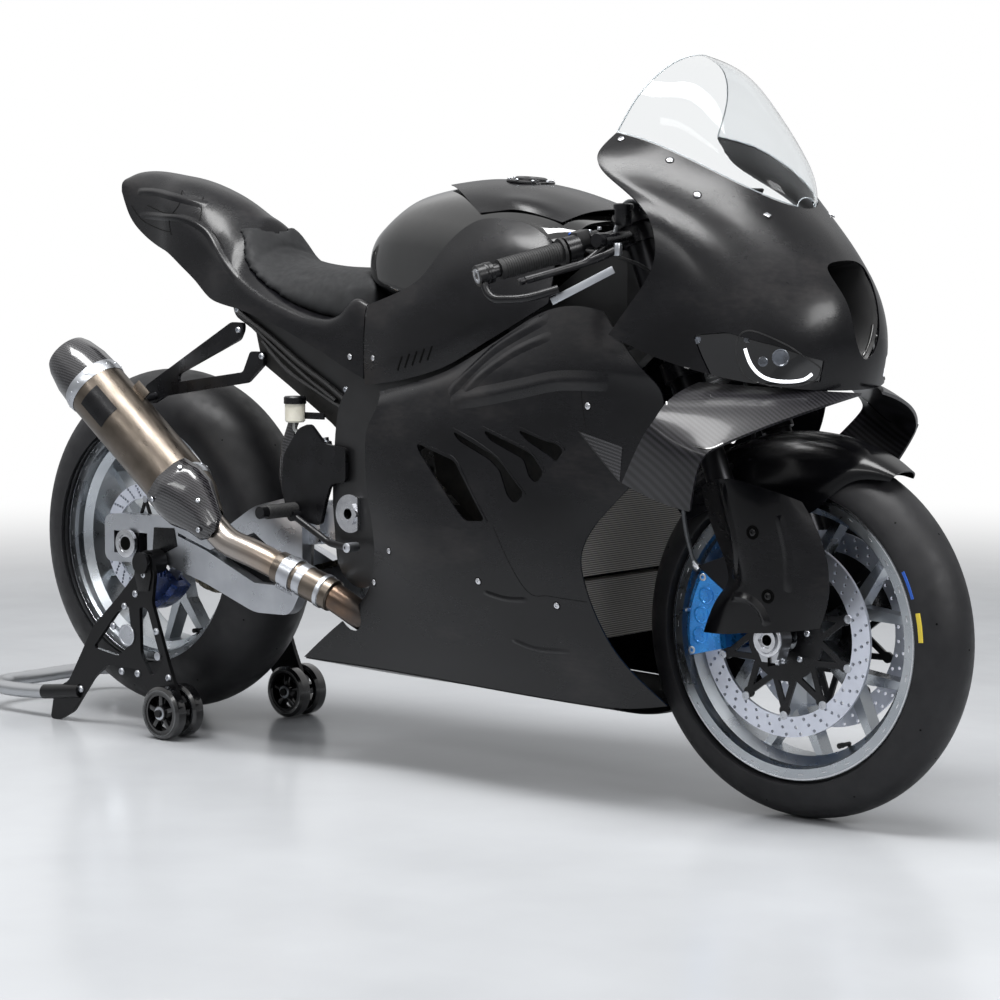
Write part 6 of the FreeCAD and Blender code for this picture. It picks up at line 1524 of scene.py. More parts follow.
@dataclass
class Cockpit:
    """Bars, levers, cylinders, reservoirs, tank cap and dash. Millimetres."""

    root: Triple = (1195.2, 171.9, 928.1)
    tip: Triple = (1099.0, 360.0, 873.9)
    leg_y: float = 100.0
    fork_offset: float = 27.8
    fork_top: float = 705.0
    stem_top: float = 695.0
    dash_up: Triple = (0.57, 0.0, 0.82)

    def along_bar(self, share: float, side: int) -> Vector:
        """A point on a clip-on bar.

        Args:
            share: 0 at its root, 1 at its end.
            side: -1 for the right, 1 for the left.

        Returns:
            The point.
        """
        root, tip = (at(x, side * y, z) for x, y, z in (self.root, self.tip))
        return root + (tip - root) * share

    def grips(self) -> None:
        """Fine ribs moulded around both grips."""
        ring = Form()
        ring.lathe(ORIGIN, UP, [(-1.0, 16.2), (-0.6, 17.3), (0.6, 17.3), (1.0, 16.2)], GRIP, 20,
                   closed=True)
        spots = []
        for side in (-1, 1):
            facing = (self.along_bar(1, side) - self.along_bar(0, side)).normalized()
            for k in range(24):
                spots.append(Spot(self.along_bar(0.46 + 0.019 * k, side), facing))
        Scatter("grip_ribs", ring, GRIP).place(spots, Body.FORK, "grip_rubber")

    def levers(self) -> None:
        """Black lever blades over the plain ones, with pivot screws and ball ends."""
        form = Form()
        for side in (-1, 1):
            a = self.along_bar(0.20, side) + Vector((0.062, side * 0.008, -0.008))
            b = self.along_bar(0.45, side) + Vector((0.055, 0, -0.015))
            c = self.along_bar(0.95, side) + Vector((0.057, 0, -0.015))
            path = smooth_path([a, (a + b) / 2 + Vector((0.003, 0, 0)), b, (b + c) / 2 + Vector((0.002, 0, 0)), c], 8)
            form.tube(path, 6.2, BLACK_ALLOY, 12, flat=0.6)
            form.lathe(a + Vector((0, 0, 0.010)), -UP, [(0, 0), (0, 6.5), (4, 7.5), (16, 7.5), (20, 6.5), (20, 0)],
                       SILVER, 16)
            tip = c + (c - b).normalized() * 0.002
            form.lathe(tip, c - b, [(0, 0), (0, 5.4), (8, 6.4), (11, 4.5), (11, 0)], BLACK_ALLOY, 14)
        form.make("lever_blades", Body.FORK, "silver_alloy")

    def guards(self) -> None:
        """End collars of the lever guards, and the flat silver blade along each."""
        form = Form()
        for side in (-1, 1):
            end = self.along_bar(1.0, side)
            run = (self.along_bar(1.0, side) - self.along_bar(0.9, side)).normalized()
            form.lathe(end + run * 0.006, run, [(0, 17.2), (1, 17.6), (5, 17.6), (6, 17.2)], BLACK_ALLOY, 28)
            form.lathe(end + run * 0.0256, run, [(0, 12), (0.8, 12), (0.8, 6.5), (-3.0, 6.0), (-3.0, 0)], SILVER, 24)
            inner, outer = at(1292, side * 300, 878), at(1203, side * 335, 830)
            form.block((inner + outer) / 2, outer - inner, UP, (112, 2.4, 12), SILVER, 1.0)
        form.make("lever_guard_collars", Body.FORK, "silver_alloy")

    def cylinders(self) -> None:
        """Radial master cylinder, switch pods with buttons, and the clamps' bolts."""
        form = Form()
        for side in (-1, 1):
            c = self.along_bar(0.165, side) + Vector((0.036, 0, 0.004))
            form.lathe(c + ACROSS * side * 0.040, ACROSS * -side,
                       [(0, 0), (0, 11), (6, 12.4), (40, 12.4), (44, 9), (54, 9), (54, 0)],
                       BLACK_ALLOY, 22)
            form.block(self.along_bar(0.26, side) + Vector((-0.004, 0, 0.012)),
                       self.along_bar(1, side) - self.along_bar(0, side), UP, (24, 30, 26), PLASTIC, 4.0)
            for k, shade in enumerate((ORANGE, SILVER, BLUE_MARK)):
                spot = self.along_bar(0.235 + 0.03 * k, side) + Vector((-0.016, 0, 0.020))
                form.lathe(spot, Vector((-0.7, 0, 0.7)), [(0, 3.6), (2.4, 3.4), (2.8, 2.6), (2.8, 0)], shade, 12)
            for share in (0.12, 0.20):
                spot = self.along_bar(share, side) + Vector((0, 0, 0.018))
                form.lathe(spot, UP, [(0, 3.6), (4, 3.6), (4.6, 3.0), (4.6, 0)], SILVER, 12)
        brake_pot = self.along_bar(0.10, -1) + Vector((0.040, 0.004, 0.024))
        form.lathe(brake_pot, UP, [(0, 0), (0, 12), (3, 14), (26, 14), (26, 16), (33, 16), (35, 13), (35, 0)],
                   BLACK_ALLOY, 26)
        clutch_pot = self.along_bar(0.10, 1) + Vector((0.040, -0.004, 0.024))
        form.lathe(clutch_pot, UP, [(0, 0), (0, 10), (3, 12), (22, 12), (22, 13.5), (28, 13.5), (29, 11), (29, 0)],
                   BLACK_ALLOY, 24)
        form.make("bar_cylinders", Body.FORK, "black_metal")

    def clamp_top(self) -> None:
        """Stem nut, and fork caps with adjusters, on the upper clamp."""
        form = Form()
        for side in (-1, 1):
            cap = FRONT_AXLE + (STEER * self.fork_top + ACROSS * side * self.leg_y) / 1000
            form.lathe(cap - STEER * 0.002, STEER, [(0, 27.2), (2, 27.2), (4, 24), (4, 15), (9, 14), (9, 0)],
                       BLACK_ALLOY, 32)
            form.lathe(cap + STEER * 0.006, STEER, [(0, 9), (7, 9), (8, 7.5), (8, 0)], BLUE, 6)
        nut = FRONT_AXLE + (STEER * self.stem_top - AHEAD * self.fork_offset) / 1000
        form.lathe(nut, STEER, [(0, 30), (0, 24), (8, 24), (10, 21), (10, 11), (4, 10), (4, 0)], SILVER, 36)
        form.make("fork_top_caps", Body.FORK, "silver_alloy")

    def hoses(self) -> None:
        """The pale hose arc over the bars and two black cables down to the fork."""
        form = Form()
        a = self.along_bar(0.10, -1) + Vector((0.018, 0.010, 0.012))
        form.tube(smooth_path([a, a + Vector((-0.004, 0.030, 0.046)), a + Vector((-0.006, 0.075, 0.044)),
                               a + Vector((-0.006, 0.110, 0.000)), a + Vector((0.004, 0.118, -0.060))], 8), 3.6, HOSE,
                               10)
        for side in (-1, 1):
            b = self.along_bar(0.28, side) + Vector((0.012, 0, -0.006))
            form.tube(smooth_path([b, b + Vector((0.050, side * -0.020, -0.010)),
                                   b + Vector((0.075, side * -0.075, -0.040)),
                                   b + Vector((0.045, side * -0.105, -0.110))], 8), 3.0, PLASTIC, 8)
        form.make("bar_hoses", Body.FORK, "hose")

    def dash(self) -> None:
        """The blank display with its bezel, behind the screen."""
        low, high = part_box("dashboard")
        middle = (Vector(low) + Vector(high)) / 2
        form = Form()
        up = Vector(self.dash_up)
        facing = Vector((-up.z, 0.0, up.x)).normalized()
        form.block(middle + facing * 0.012, ACROSS, up, (150, 5, 78), PLASTIC, 3.0)
        form.block(middle + facing * 0.0152, ACROSS, up, (132, 1.5, 62), GLOSS, 0.5)
        form.make("dash_display", Body.CHASSIS, "dash_plastic")

    def tank_cap(self) -> None:
        """The quick filler cap with its ring of bolts."""
        skin = Skin("fuel_tank", "tank_cover")
        point, normal = skin.hit(at(880, 0, 1300), -UP)
        form = Form()
        form.lathe(point - normal * 0.002, normal, [(0, 42), (2.5, 41.5), (3.2, 40), (3.2, 31), (4, 29), (7, 28),
                                                    (8.5, 25),
                                                   (8.5, 14), (6.5, 12), (6.5, 0)], BLACK_ALLOY, 48)
        form.make("filler_cap", Body.CHASSIS, "black_metal")
        side, up, _ = basis(normal)
        spots = [Spot(point + (side * math.cos(a) + up * math.sin(a)) * 0.037 + normal * 0.0024, normal)
                 for a in (2 * math.pi * k / 8 for k in range(8))]
        Scatter("filler_cap_bolts", button_head(3.2, 2.0, SILVER, True, 10), SILVER).place(
            spots, Body.CHASSIS, "bright_alloy")

    def build(self) -> None:
        """Makes all the cockpit pieces."""
        for step in (self.grips, self.levers, self.guards, self.cylinders, self.clamp_top, self.hoses, self.dash,
                     self.tank_cap):
            step()


@dataclass
class Exhaust:
    """The muffler can, its cap and heat shield, and the clamped link pipe. Millimetres."""

    front: Triple = (249.0, -216.0, 467.0)
    rear: Triple = (-37.0, -245.0, 713.0)
    can_r: float = 57.0
    pipe_r: float = 28.0
    link_front: Triple = (586.0, -180.0, 301.0)
    link_rear: Triple = (426.0, -205.0, 363.0)

    def can_basis(self, out: Vector) -> tuple[Vector, Vector, Vector, Vector]:
        """The can's front point and axis, a direction turned square to the axis, and the third direction.

        Args:
            out: Roughly the direction away from the can that is wanted.

        Returns:
            The point and the three unit directions.
        """
        start = at(*self.front)
        unit = (at(*self.rear) - start).normalized()
        square = (out - unit * out.dot(unit)).normalized()
        return start, unit, square, unit.cross(square)

    def can(self) -> None:
        """The titanium can with its carbon cap, rings and tapered entry, in place of the plain solid."""
        a, unit, up, _ = self.can_basis(Vector((0.55, 0.35, 0.75)))
        length = (at(*self.rear) - a).length * 1000
        form = Form()
        r = self.can_r
        form.lathe(a, unit, [(0, r), (length * 0.72, r)], TITANIUM, 40)
        form.lathe(a, unit, [(length * 0.72, r + 0.8), (length * 0.735, r + 2.2), (length * 0.765, r + 2.2),
                             (length * 0.78, r + 0.8)], SILVER, 40)
        form.lathe(a, unit, [(-2, r - 0.5), (4, r + 2.4), (16, r + 2.4), (20, r)], SILVER, 40)
        cap = [(length * 0.775, r + 0.4), (length * 0.86, r - 1.5), (length * 0.95, r - 9), (length * 0.985, r - 15),
               (length * 0.99, r - 19), (length * 0.96, r - 22), (length * 0.80, r - 26), (length * 0.80, 0)]
        form.lathe(a, unit, cap, SIDE_CARBON, 40)
        cone = [(0, r - 0.5), (-26, r - 6), (-58, self.pipe_r + 8), (-74, self.pipe_r + 3), (-76, self.pipe_r)]
        form.lathe(a, unit, cone, TITANIUM, 40)
        tab = a + unit * length * 0.55 / 1000
        form.block(tab + up * (r + 6) / 1000, unit, up, (34, 4, 16), TITANIUM, 1.0)
        made = form.make("muffler_can", Body.CHASSIS, "titanium")
        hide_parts("muffler")

    def plate(self) -> None:
        """A blank riveted plate on the can, and the cap's rivets."""
        a, unit, out, across = self.can_basis(Vector((0.3, -0.9, 0.1)))
        length = (at(*self.rear) - a).length
        form = Form()
        points = []
        steps = 8
        for k in range(2):
            for n in range(steps + 1):
                lean = math.radians(-24 + 48 * n / steps)
                direction = out * math.cos(lean) + across * math.sin(lean)
                points.append(a + unit * (length * (0.50 + 0.17 * k)) + direction * (self.can_r + 0.6) / 1000)
        loops = [(n, n + 1, steps + 2 + n, steps + 1 + n) for n in range(steps)]
        form.faces(points, loops, BLACK_ALLOY)
        form.make("muffler_blank_plate", Body.CHASSIS, "black_metal")
        spots = []
        for k in range(16):
            lean = 2 * math.pi * k / 16
            direction = out * math.cos(lean) + across * math.sin(lean)
            for share, rise in ((0.75, 2.2), (0.035, 2.4)):
                spots.append(Spot(a + unit * length * share + direction * (self.can_r + rise) / 1000, direction))
        Scatter("muffler_rivets", button_head(2.4, 1.2, SILVER, False, 8), SILVER).place(
            spots, Body.CHASSIS, "bright_alloy")

    def shield(self) -> None:
        """The woven heat shield over the entry cone, on three screws."""
        a, unit, out, across = self.can_basis(Vector((0.25, -0.95, 0.15)))
        points, loops = [], []
        rows = ((30, self.can_r + 5, 60), (0, self.can_r + 5, 74), (-30, self.can_r, 80), (-62, self.pipe_r + 14, 78),
                (-96, self.pipe_r + 8, 58), (-112, self.pipe_r + 6, 20))
        steps = 14
        for along, radius, half in rows:
            for n in range(steps + 1):
                lean = math.radians(-half + 2 * half * n / steps)
                bulge = radius + 2.5 * math.cos(math.pi * (n / steps - 0.5) * 3) ** 2
                direction = out * math.cos(lean) + across * math.sin(lean)
                points.append(a + (unit * along + direction * bulge) / 1000)
        for k in range(len(rows) - 1):
            loops += [(k * (steps + 1) + n, k * (steps + 1) + n + 1, (k + 1) * (steps + 1) + n + 1,
                       (k + 1) * (steps + 1) + n) for n in range(steps)]
        form = Form()
        form.faces(points, loops, SIDE_CARBON)
        made = form.make("muffler_heat_shield", Body.CHASSIS, "carbon", 60.0)
        wall = made.modifiers.new("wall", "SOLIDIFY")
        wall.thickness = 0.002
        data = bpy.data.meshes.new_from_object(made.evaluated_get(bpy.context.evaluated_depsgraph_get()))
        made.modifiers.remove(wall)
        made.data = data
        spots = []
        for along, lean_deg, radius in ((16, 40, 7.4), (16, -36, 7.4), (-50, 30, -10.0), (-88, -20, -16)):
            lean = math.radians(lean_deg)
            direction = out * math.cos(lean) + across * math.sin(lean)
            spots.append(Spot(a + unit * along / 1000 + direction * (self.can_r + radius) / 1000, direction))
        Scatter("heat_shield_screws", button_head(5.0, 2.2, BLACK_ALLOY), SILVER).place(
            spots, Body.CHASSIS, "bright_alloy")

    def pipe(self) -> None:
        """The link pipe's clamps and springs over the CAD pipe."""
        form = Form()
        start, end = at(*self.link_front), at(*self.link_rear)
        unit = (end - start).normalized()
        for share, grow in ((0.40, 3.5), (0.54, 5.5), (0.60, 4.0)):
            form.lathe(start + (end - start) * share, unit, [(-9, 25.2), (-8, 26 + grow), (8, 26 + grow), (9, 25.2)],
                       SILVER, 32)
        here = at(560, -184, 311)
        form.lathe(here, unit, [(-26, 25.2), (-24, 29), (100, 29), (102, 25.2)], TITANIUM, 32)
        form.lathe(here, unit, [(-9, 29), (-8, 31), (0, 31), (1, 29)], SILVER, 32)
        side, up, _ = basis(unit)
        for lean in (0.4, 2.2):
            turned = side * math.cos(lean) + up * math.sin(lean)
            hook = at(520, -190.3, 326.6) + turned * 0.032
            coil = []
            for k in range(60):
                a = 2 * math.pi * k / 6
                coil.append(hook + unit * (k * 0.0007)
                            + (turned * math.cos(a) + unit.cross(turned) * math.sin(a)) * 0.0035)
            form.tube(coil, 0.9, SILVER, 5)
        form.make("link_pipe_clamps", Body.CHASSIS, "titanium")

    def build(self) -> None:
        """Makes the exhaust's dressing."""
        self.can()
        self.plate()
        self.shield()
        self.pipe()


@dataclass
class Rear:
    """Seat pad, subframe, footrests, swingarm and chain. Millimetres."""

    chain_pitch: float = 15.875
    chain_y: float = 110.0
    rear_r: float = 112.0
    front_r: float = 41.0
    sprocket: Pair = (670.2, 448.8)
    disc_y: float = -84.0
    arm_y: Pair = (124.3, 148.3)
    subframe_half: float = 121.95

    def disc_spider(self) -> None:
        """The six-armed carrier and buttons, which with the drilled ring stand for the CAD disc."""
        form = Form()
        y = self.disc_y
        for k in range(6):
            arm = 60 * (k + 0.5)
            for lean in (-26, 26):
                a, b = around(REAR_AXLE, 42, arm + lean, y), around(REAR_AXLE, 79, arm, y)
                form.block((a + b) / 2, b - a, ACROSS, ((b - a).length * 1000 + 6, 6.0, 4.5), BLACK_ALLOY, 0.8)
            form.lathe(around(REAR_AXLE, 80, arm, y - 2.6), ACROSS, [(0, 0), (0, 6.5), (5.2, 6.5), (5.2, 0)], SILVER,
                       16)
        form.lathe(REAR_AXLE + ACROSS * (y - 2.5) / 1000, ACROSS, [(0, 24), (0, 46), (5, 46), (8, 30), (8.6, 24)],
                   BLACK_ALLOY, 40, closed=True)
        made = form.make("rear_disc_spider", Body.REAR_WHEEL, "disc_steel")
        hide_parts("rear_disc")

    def arm_details(self) -> None:
        """Axle-block ring with a near-black disc of painted shade in its bore, adjuster bolts, the sunk panel and a
        small boss on the swingarm.
        """
        form = Form()
        axle = REAR_AXLE + Vector((0, -0.137, 0))
        form.lathe(axle, -ACROSS, [(-6, 18), (-6, 27), (1.5, 26.5), (2.0, 24), (2.0, 17), (0.5, 16), (0.5, 0)],
                   BRIGHT, 36)
        form.lathe(axle - ACROSS * 0.0006, -ACROSS, [(0, 13), (0.8, 13), (0.8, 0)], RECESS_SHADE, 24)
        for side, y in zip((-1, 1), self.arm_y):
            outline = [at(x, side * y, z) for x, z in ((66, 384), (120, 386), (128, 352), (96, 338), (62, 342))]
            form.plate(outline, ACROSS * side * 0.0012, BLACK_ALLOY, 0.4)
            for x, z in ((-64, 356), (-64, 376)):
                form.lathe(at(x, side * (y - 12), z), -FORWARD, [(0, 5), (14, 5), (15, 4), (15, 0)], SILVER, 6)
            form.lathe(at(40, side * y, 322), ACROSS * side, [(0, 5.4), (3, 5.4), (3.8, 4.6), (3.8, 0)], SILVER, 12)
        form.make("swingarm_fittings", Body.CHASSIS, "silver_alloy")

    def bolts(self) -> None:
        """Silver and black bolts on hanger, subframe, footrest plates, frame and pivot."""
        spots: list[Spot] = []
        half = self.subframe_half
        for x, z, y in ((291, 795, half + 0.2), (301, 759, half + 8.4), (360, 713, half + 8.4), (80, 632, half + 8.6),
                        (620, 680, half + 0.2), (560, 660, half + 0.2)):
            spots.append(Spot(at(x, -y, z), -ACROSS))
        for x, z in ((575, 515), (575, 546), (470, 560), (462, 520), (510, 500), (520, 560)):
            for side in (-1, 1):
                spots.append(Spot(at(x, side * 141.2, z), ACROSS * side))
        Scatter("rear_bolts", button_head(6.2, 4.0, SILVER), SILVER).place(spots, Body.CHASSIS, "bright_alloy")

    def footrests(self) -> None:
        """Knurled pegs, heel guards, toe pieces, the master cylinder and its reservoir."""
        form = Form()
        for side in (-1, 1):
            root = at(468, side * 143, 446)
            profile = []
            for k in range(22):
                profile += [(8 + 3.6 * k, 11.6), (9.6 + 3.6 * k, 12.8), (10.6 + 3.6 * k, 12.8)]
            form.lathe(root, ACROSS * side, [(4, 10.8)] + profile + [(88, 11.6), (90, 8), (90, 0)], GRIP, 20)
            guard = [at(x, side * 150, z) for x, z in ((452, 610), (430, 560), (424, 500), (432, 470), (452, 474),
                                                     (448, 520), (462, 580), (474, 604))]
            form.plate(guard, ACROSS * side * 0.003, SIDE_CARBON, 0.6)
            toe = at(632, side * 178, 392)
            form.lathe(toe - ACROSS * side * 0.004, ACROSS * side, [(0, 0), (0, 8.5), (26, 8.5), (27, 7), (27, 0)],
                       SILVER, 16)
        pump = at(520, -128, 540)
        form.lathe(pump, Vector((-0.25, 0, 1)), [(-34, 0), (-34, 9), (-10, 9), (-8, 12), (26, 12), (28, 8), (34, 8),
                                                 (34, 0)],
                   SILVER, 18)
        form.make("footrest_fittings", Body.CHASSIS, "black_metal")
        pot = Form()
        base = at(462, -150, 600)
        pot.lathe(base, UP, [(0, 0), (0, 15), (3, 18), (34, 18), (34, 0)], MILKY, 24)
        pot.lathe(base, UP, [(33, 16), (33, 20), (44, 20), (46, 18), (46, 0)], BLACK_ALLOY, 24)
        pot.tube(smooth_path([base, at(464, -150, 585), at(492, -142, 572), at(514, -132, 566)], 8), 4.0, CLEAR, 10)
        pot.block(at(490, -140, 612), Vector((1, 0.1, 0)), UP, (62, 4, 12), BLACK_ALLOY, 0.8)
        pot.make("rear_brake_reservoir", Body.CHASSIS, "black_metal")

    def shock(self) -> None:
        """The shock's orange adjuster, spring and reservoir seen behind the frame."""
        form = Form()
        base = at(500, -40, 470)
        up = Vector((0.35, 0, 1)).normalized()
        form.lathe(base, up, [(-40, 0), (-40, 20), (60, 20), (60, 0)], CAST, 24)
        form.lathe(base, up, [(20, 21), (20, 27), (32, 27), (32, 21)], ORANGE, 28)
        coil = []
        side, over, unit = basis(up)
        for k in range(97):
            a = 2 * math.pi * k / 16
            coil.append(base + unit * (0.034 + k * 0.0011) + (side * math.cos(a) + over * math.sin(a)) * 0.029)
        form.tube(coil, 5.0, BLACK_PAINT, 8)
        form.make("rear_shock", Body.CHASSIS, "cast_black")

    def wiring(self) -> None:
        """Black looms and the moulded tray along the subframe."""
        form = Form()
        for points in (((300, 790), (380, 748), (450, 705), (520, 668), (566, 640)),
                       ((330, 770), (400, 722), (470, 678), (540, 640)),
                       ((360, 740), (420, 690), (500, 652), (570, 618), (590, 590))):
            for side in (-1, 1):
                path = smooth_path([at(x, side * 128, z) for x, z in points], 8)
                form.tube(path, 5.5 if points[0][0] == 300 else 4.0, PLASTIC, 8)
        for side in (-1, 1):
            outline = [at(x, side * 108, z) for x, z in ((330, 772), (440, 720), (560, 660), (600, 610), (575, 560),
                                                       (520, 600), (420, 660), (350, 700))]
            form.plate(outline, ACROSS * side * 0.012, CAST, 2.0)
        form.make("subframe_wiring", Body.CHASSIS, "cast_black")

    def links(self) -> None:
        """The chain's links, set round both sprockets by Geometry Nodes, and its front sprocket."""
        rear = REAR_AXLE + ACROSS * self.chain_y / 1000
        front = at(self.sprocket[0], self.chain_y, self.sprocket[1])
        gap = front - rear
        reach = gap.length * 1000
        along = gap.normalized()
        up = along.cross(ACROSS) * -1
        if up.z < 0:
            up = -up
        lean = math.asin((self.rear_r - self.front_r) / reach)
        top = up * math.cos(lean) + along * math.sin(lean)
        low = up * -math.cos(lean) + along * math.sin(lean)
        wrap_rear, wrap_front = math.pi + 2 * lean, math.pi - 2 * lean
        run = reach * math.cos(lean)
        total = 2 * run + wrap_rear * self.rear_r + wrap_front * self.front_r
        count = 2 * round(total / self.chain_pitch / 2)
        step = total / count

        turn_sign = 1.0 if top.cross(ACROSS).dot(along) > 0 else -1.0
        upper = [rear + top * self.rear_r / 1000, front + top * self.front_r / 1000]
        lower = [front + low * self.front_r / 1000, rear + low * self.rear_r / 1000]

        def place(s: float) -> tuple[Vector, Vector]:
            """The point and direction at a distance along the chain.

            Args:
                s: Millimetres from where the upper run leaves the rear sprocket.

            Returns:
                The point and the chain's direction there.
            """
            for (a, b), centre, wheel_r, wrap, out in ((upper, front, self.front_r, wrap_front, top),
                                                       (lower, rear, self.rear_r, wrap_rear, low)):
                if s < run:
                    direction = (b - a).normalized()
                    return a + direction * s / 1000, direction
                s -= run
                turn = s / wheel_r
                if turn < wrap or centre is rear:
                    out = out * math.cos(turn) + out.cross(ACROSS) * math.sin(turn) * turn_sign
                    return centre + out * wheel_r / 1000, out.cross(ACROSS) * turn_sign
                s -= wrap * wheel_r
            raise ValueError(f"{s} mm is past the chain's end")

        shapes = {}
        for kind, y_in, thick in (("outer", 6.2, 2.0), ("inner", 3.6, 2.2)):
            shape = Form()
            half = self.chain_pitch / 2
            outline = []
            for k in range(20):
                a = 2 * math.pi * k / 20
                waist = 0.82 if abs(math.sin(a)) > 0.75 else 1.0
                outline.append(Vector((math.copysign(half, math.cos(a)) * (0.0 if abs(math.cos(a)) < 0.35 else 1.0)
                                       + 6.4 * math.cos(a), 6.6 * math.sin(a) * waist, 0.0)) / 1000)
            for side in (-1, 1):
                base = [p + Vector((0, 0, side * y_in / 1000)) for p in outline]
                shape.plate(base, Vector((0, 0, side * thick / 1000)), CHAIN, 0.3)
            for x in (-half, half):
                radius = 2.6 if kind == "outer" else 4.6
                reach_z = 9.0 if kind == "outer" else 3.6
                shape.lathe(Vector((x / 1000, 0, -reach_z / 1000)), UP,
                            [(0, 0), (0, radius), (2 * reach_z, radius), (2 * reach_z, 0)], CHAIN, 10)
            shapes[kind] = shape
        made = []
        for n, kind in enumerate(("outer", "inner")):
            spots = []
            for k in range(n, count, 2):
                point, direction = place(step * (k + 0.5))
                spots.append(Spot(point, ACROSS, direction))
            made.append(Scatter(f"chain_{kind}_links", shapes[kind], CHAIN).place(spots, Body.CHASSIS, "chain_steel"))
        wheel = Form()
        teeth = []
        for k in range(16):
            for share, radius in ((-0.22, 36.5), (0.22, 36.5), (0.42, 43.5), (0.58, 43.5)):
                a = 2 * math.pi * (k + share) / 16
                teeth.append(front + Vector((math.cos(a), 0, math.sin(a))) * radius / 1000 - ACROSS * 0.0026)
        wheel.plate(teeth, ACROSS * 0.0052, SILVER, 0.4)
        wheel.lathe(front - ACROSS * 0.014, ACROSS, [(0, 0), (0, 15), (22, 15), (24, 13), (24, 0)], SILVER, 24)
        sprocket = wheel.make("front_sprocket_wheel", Body.CHASSIS, "chain_steel")
        for piece in (*made, sprocket):
            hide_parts("drive_chain")

    def pad(self) -> None:
        """The seat pad: the CAD form remeshed, swelled by a short cloth run and smoothed."""
        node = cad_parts["seat_pad"].data
        data = node.copy()
        soft = bpy.data.objects.new("foam_seat_pad", data)
        bpy.context.scene.collection.objects.link(soft)
        remesh = soft.modifiers.new("remesh", "REMESH")
        remesh.mode = "VOXEL"
        remesh.voxel_size = 0.006
        graph = bpy.context.evaluated_depsgraph_get()
        soft.data = bpy.data.meshes.new_from_object(soft.evaluated_get(graph))
        soft.modifiers.remove(remesh)
        low = min(v.co.z for v in soft.data.vertices)
        group = soft.vertex_groups.new(name="base")
        group.add([v.index for v in soft.data.vertices if v.normal.z < -0.2 or v.co.z < low + 0.012], 1.0,
                  "REPLACE")
        start = [v.co.copy() for v in soft.data.vertices]
        cloth = soft.modifiers.new("swell", "CLOTH")
        cloth.settings.use_pressure = True
        cloth.settings.uniform_pressure_force = 3.0
        cloth.settings.vertex_group_mass = "base"
        cloth.settings.tension_stiffness = 30.0
        cloth.settings.compression_stiffness = 30.0
        cloth.settings.effector_weights.gravity = 0.0
        for step in range(1, 16):
            bpy.context.scene.frame_set(step)
        graph = bpy.context.evaluated_depsgraph_get()
        swelled = bpy.data.meshes.new_from_object(soft.evaluated_get(graph))
        soft.modifiers.remove(cloth)
        bpy.context.scene.frame_set(1)
        for v, before in zip(swelled.vertices, start):
            move = v.co - before
            if move.length > 0.005:
                v.co = before + move.normalized() * 0.005
        soft.data = swelled
        grid = bmesh.new()
        grid.from_mesh(soft.data)
        for _ in range(3):
            bmesh.ops.smooth_vert(grid, verts=grid.verts[:], factor=0.5, use_axis_x=True, use_axis_y=True,
                                  use_axis_z=True)
        grid.to_mesh(soft.data)
        grid.free()
        soft.data.shade_smooth()
        soft.data.materials.clear()
        soft.data.materials.append(FOAM.material())
        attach(soft, Body.CHASSIS.value)
        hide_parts("seat_pad")
        log.info("made foam_seat_pad: %d faces", len(soft.data.polygons))

    def build(self) -> None:
        """Makes all the rear dressing."""
        for step in (self.disc_spider, self.arm_details, self.bolts, self.footrests, self.shock, self.wiring,
                     self.links, self.pad):
            step()


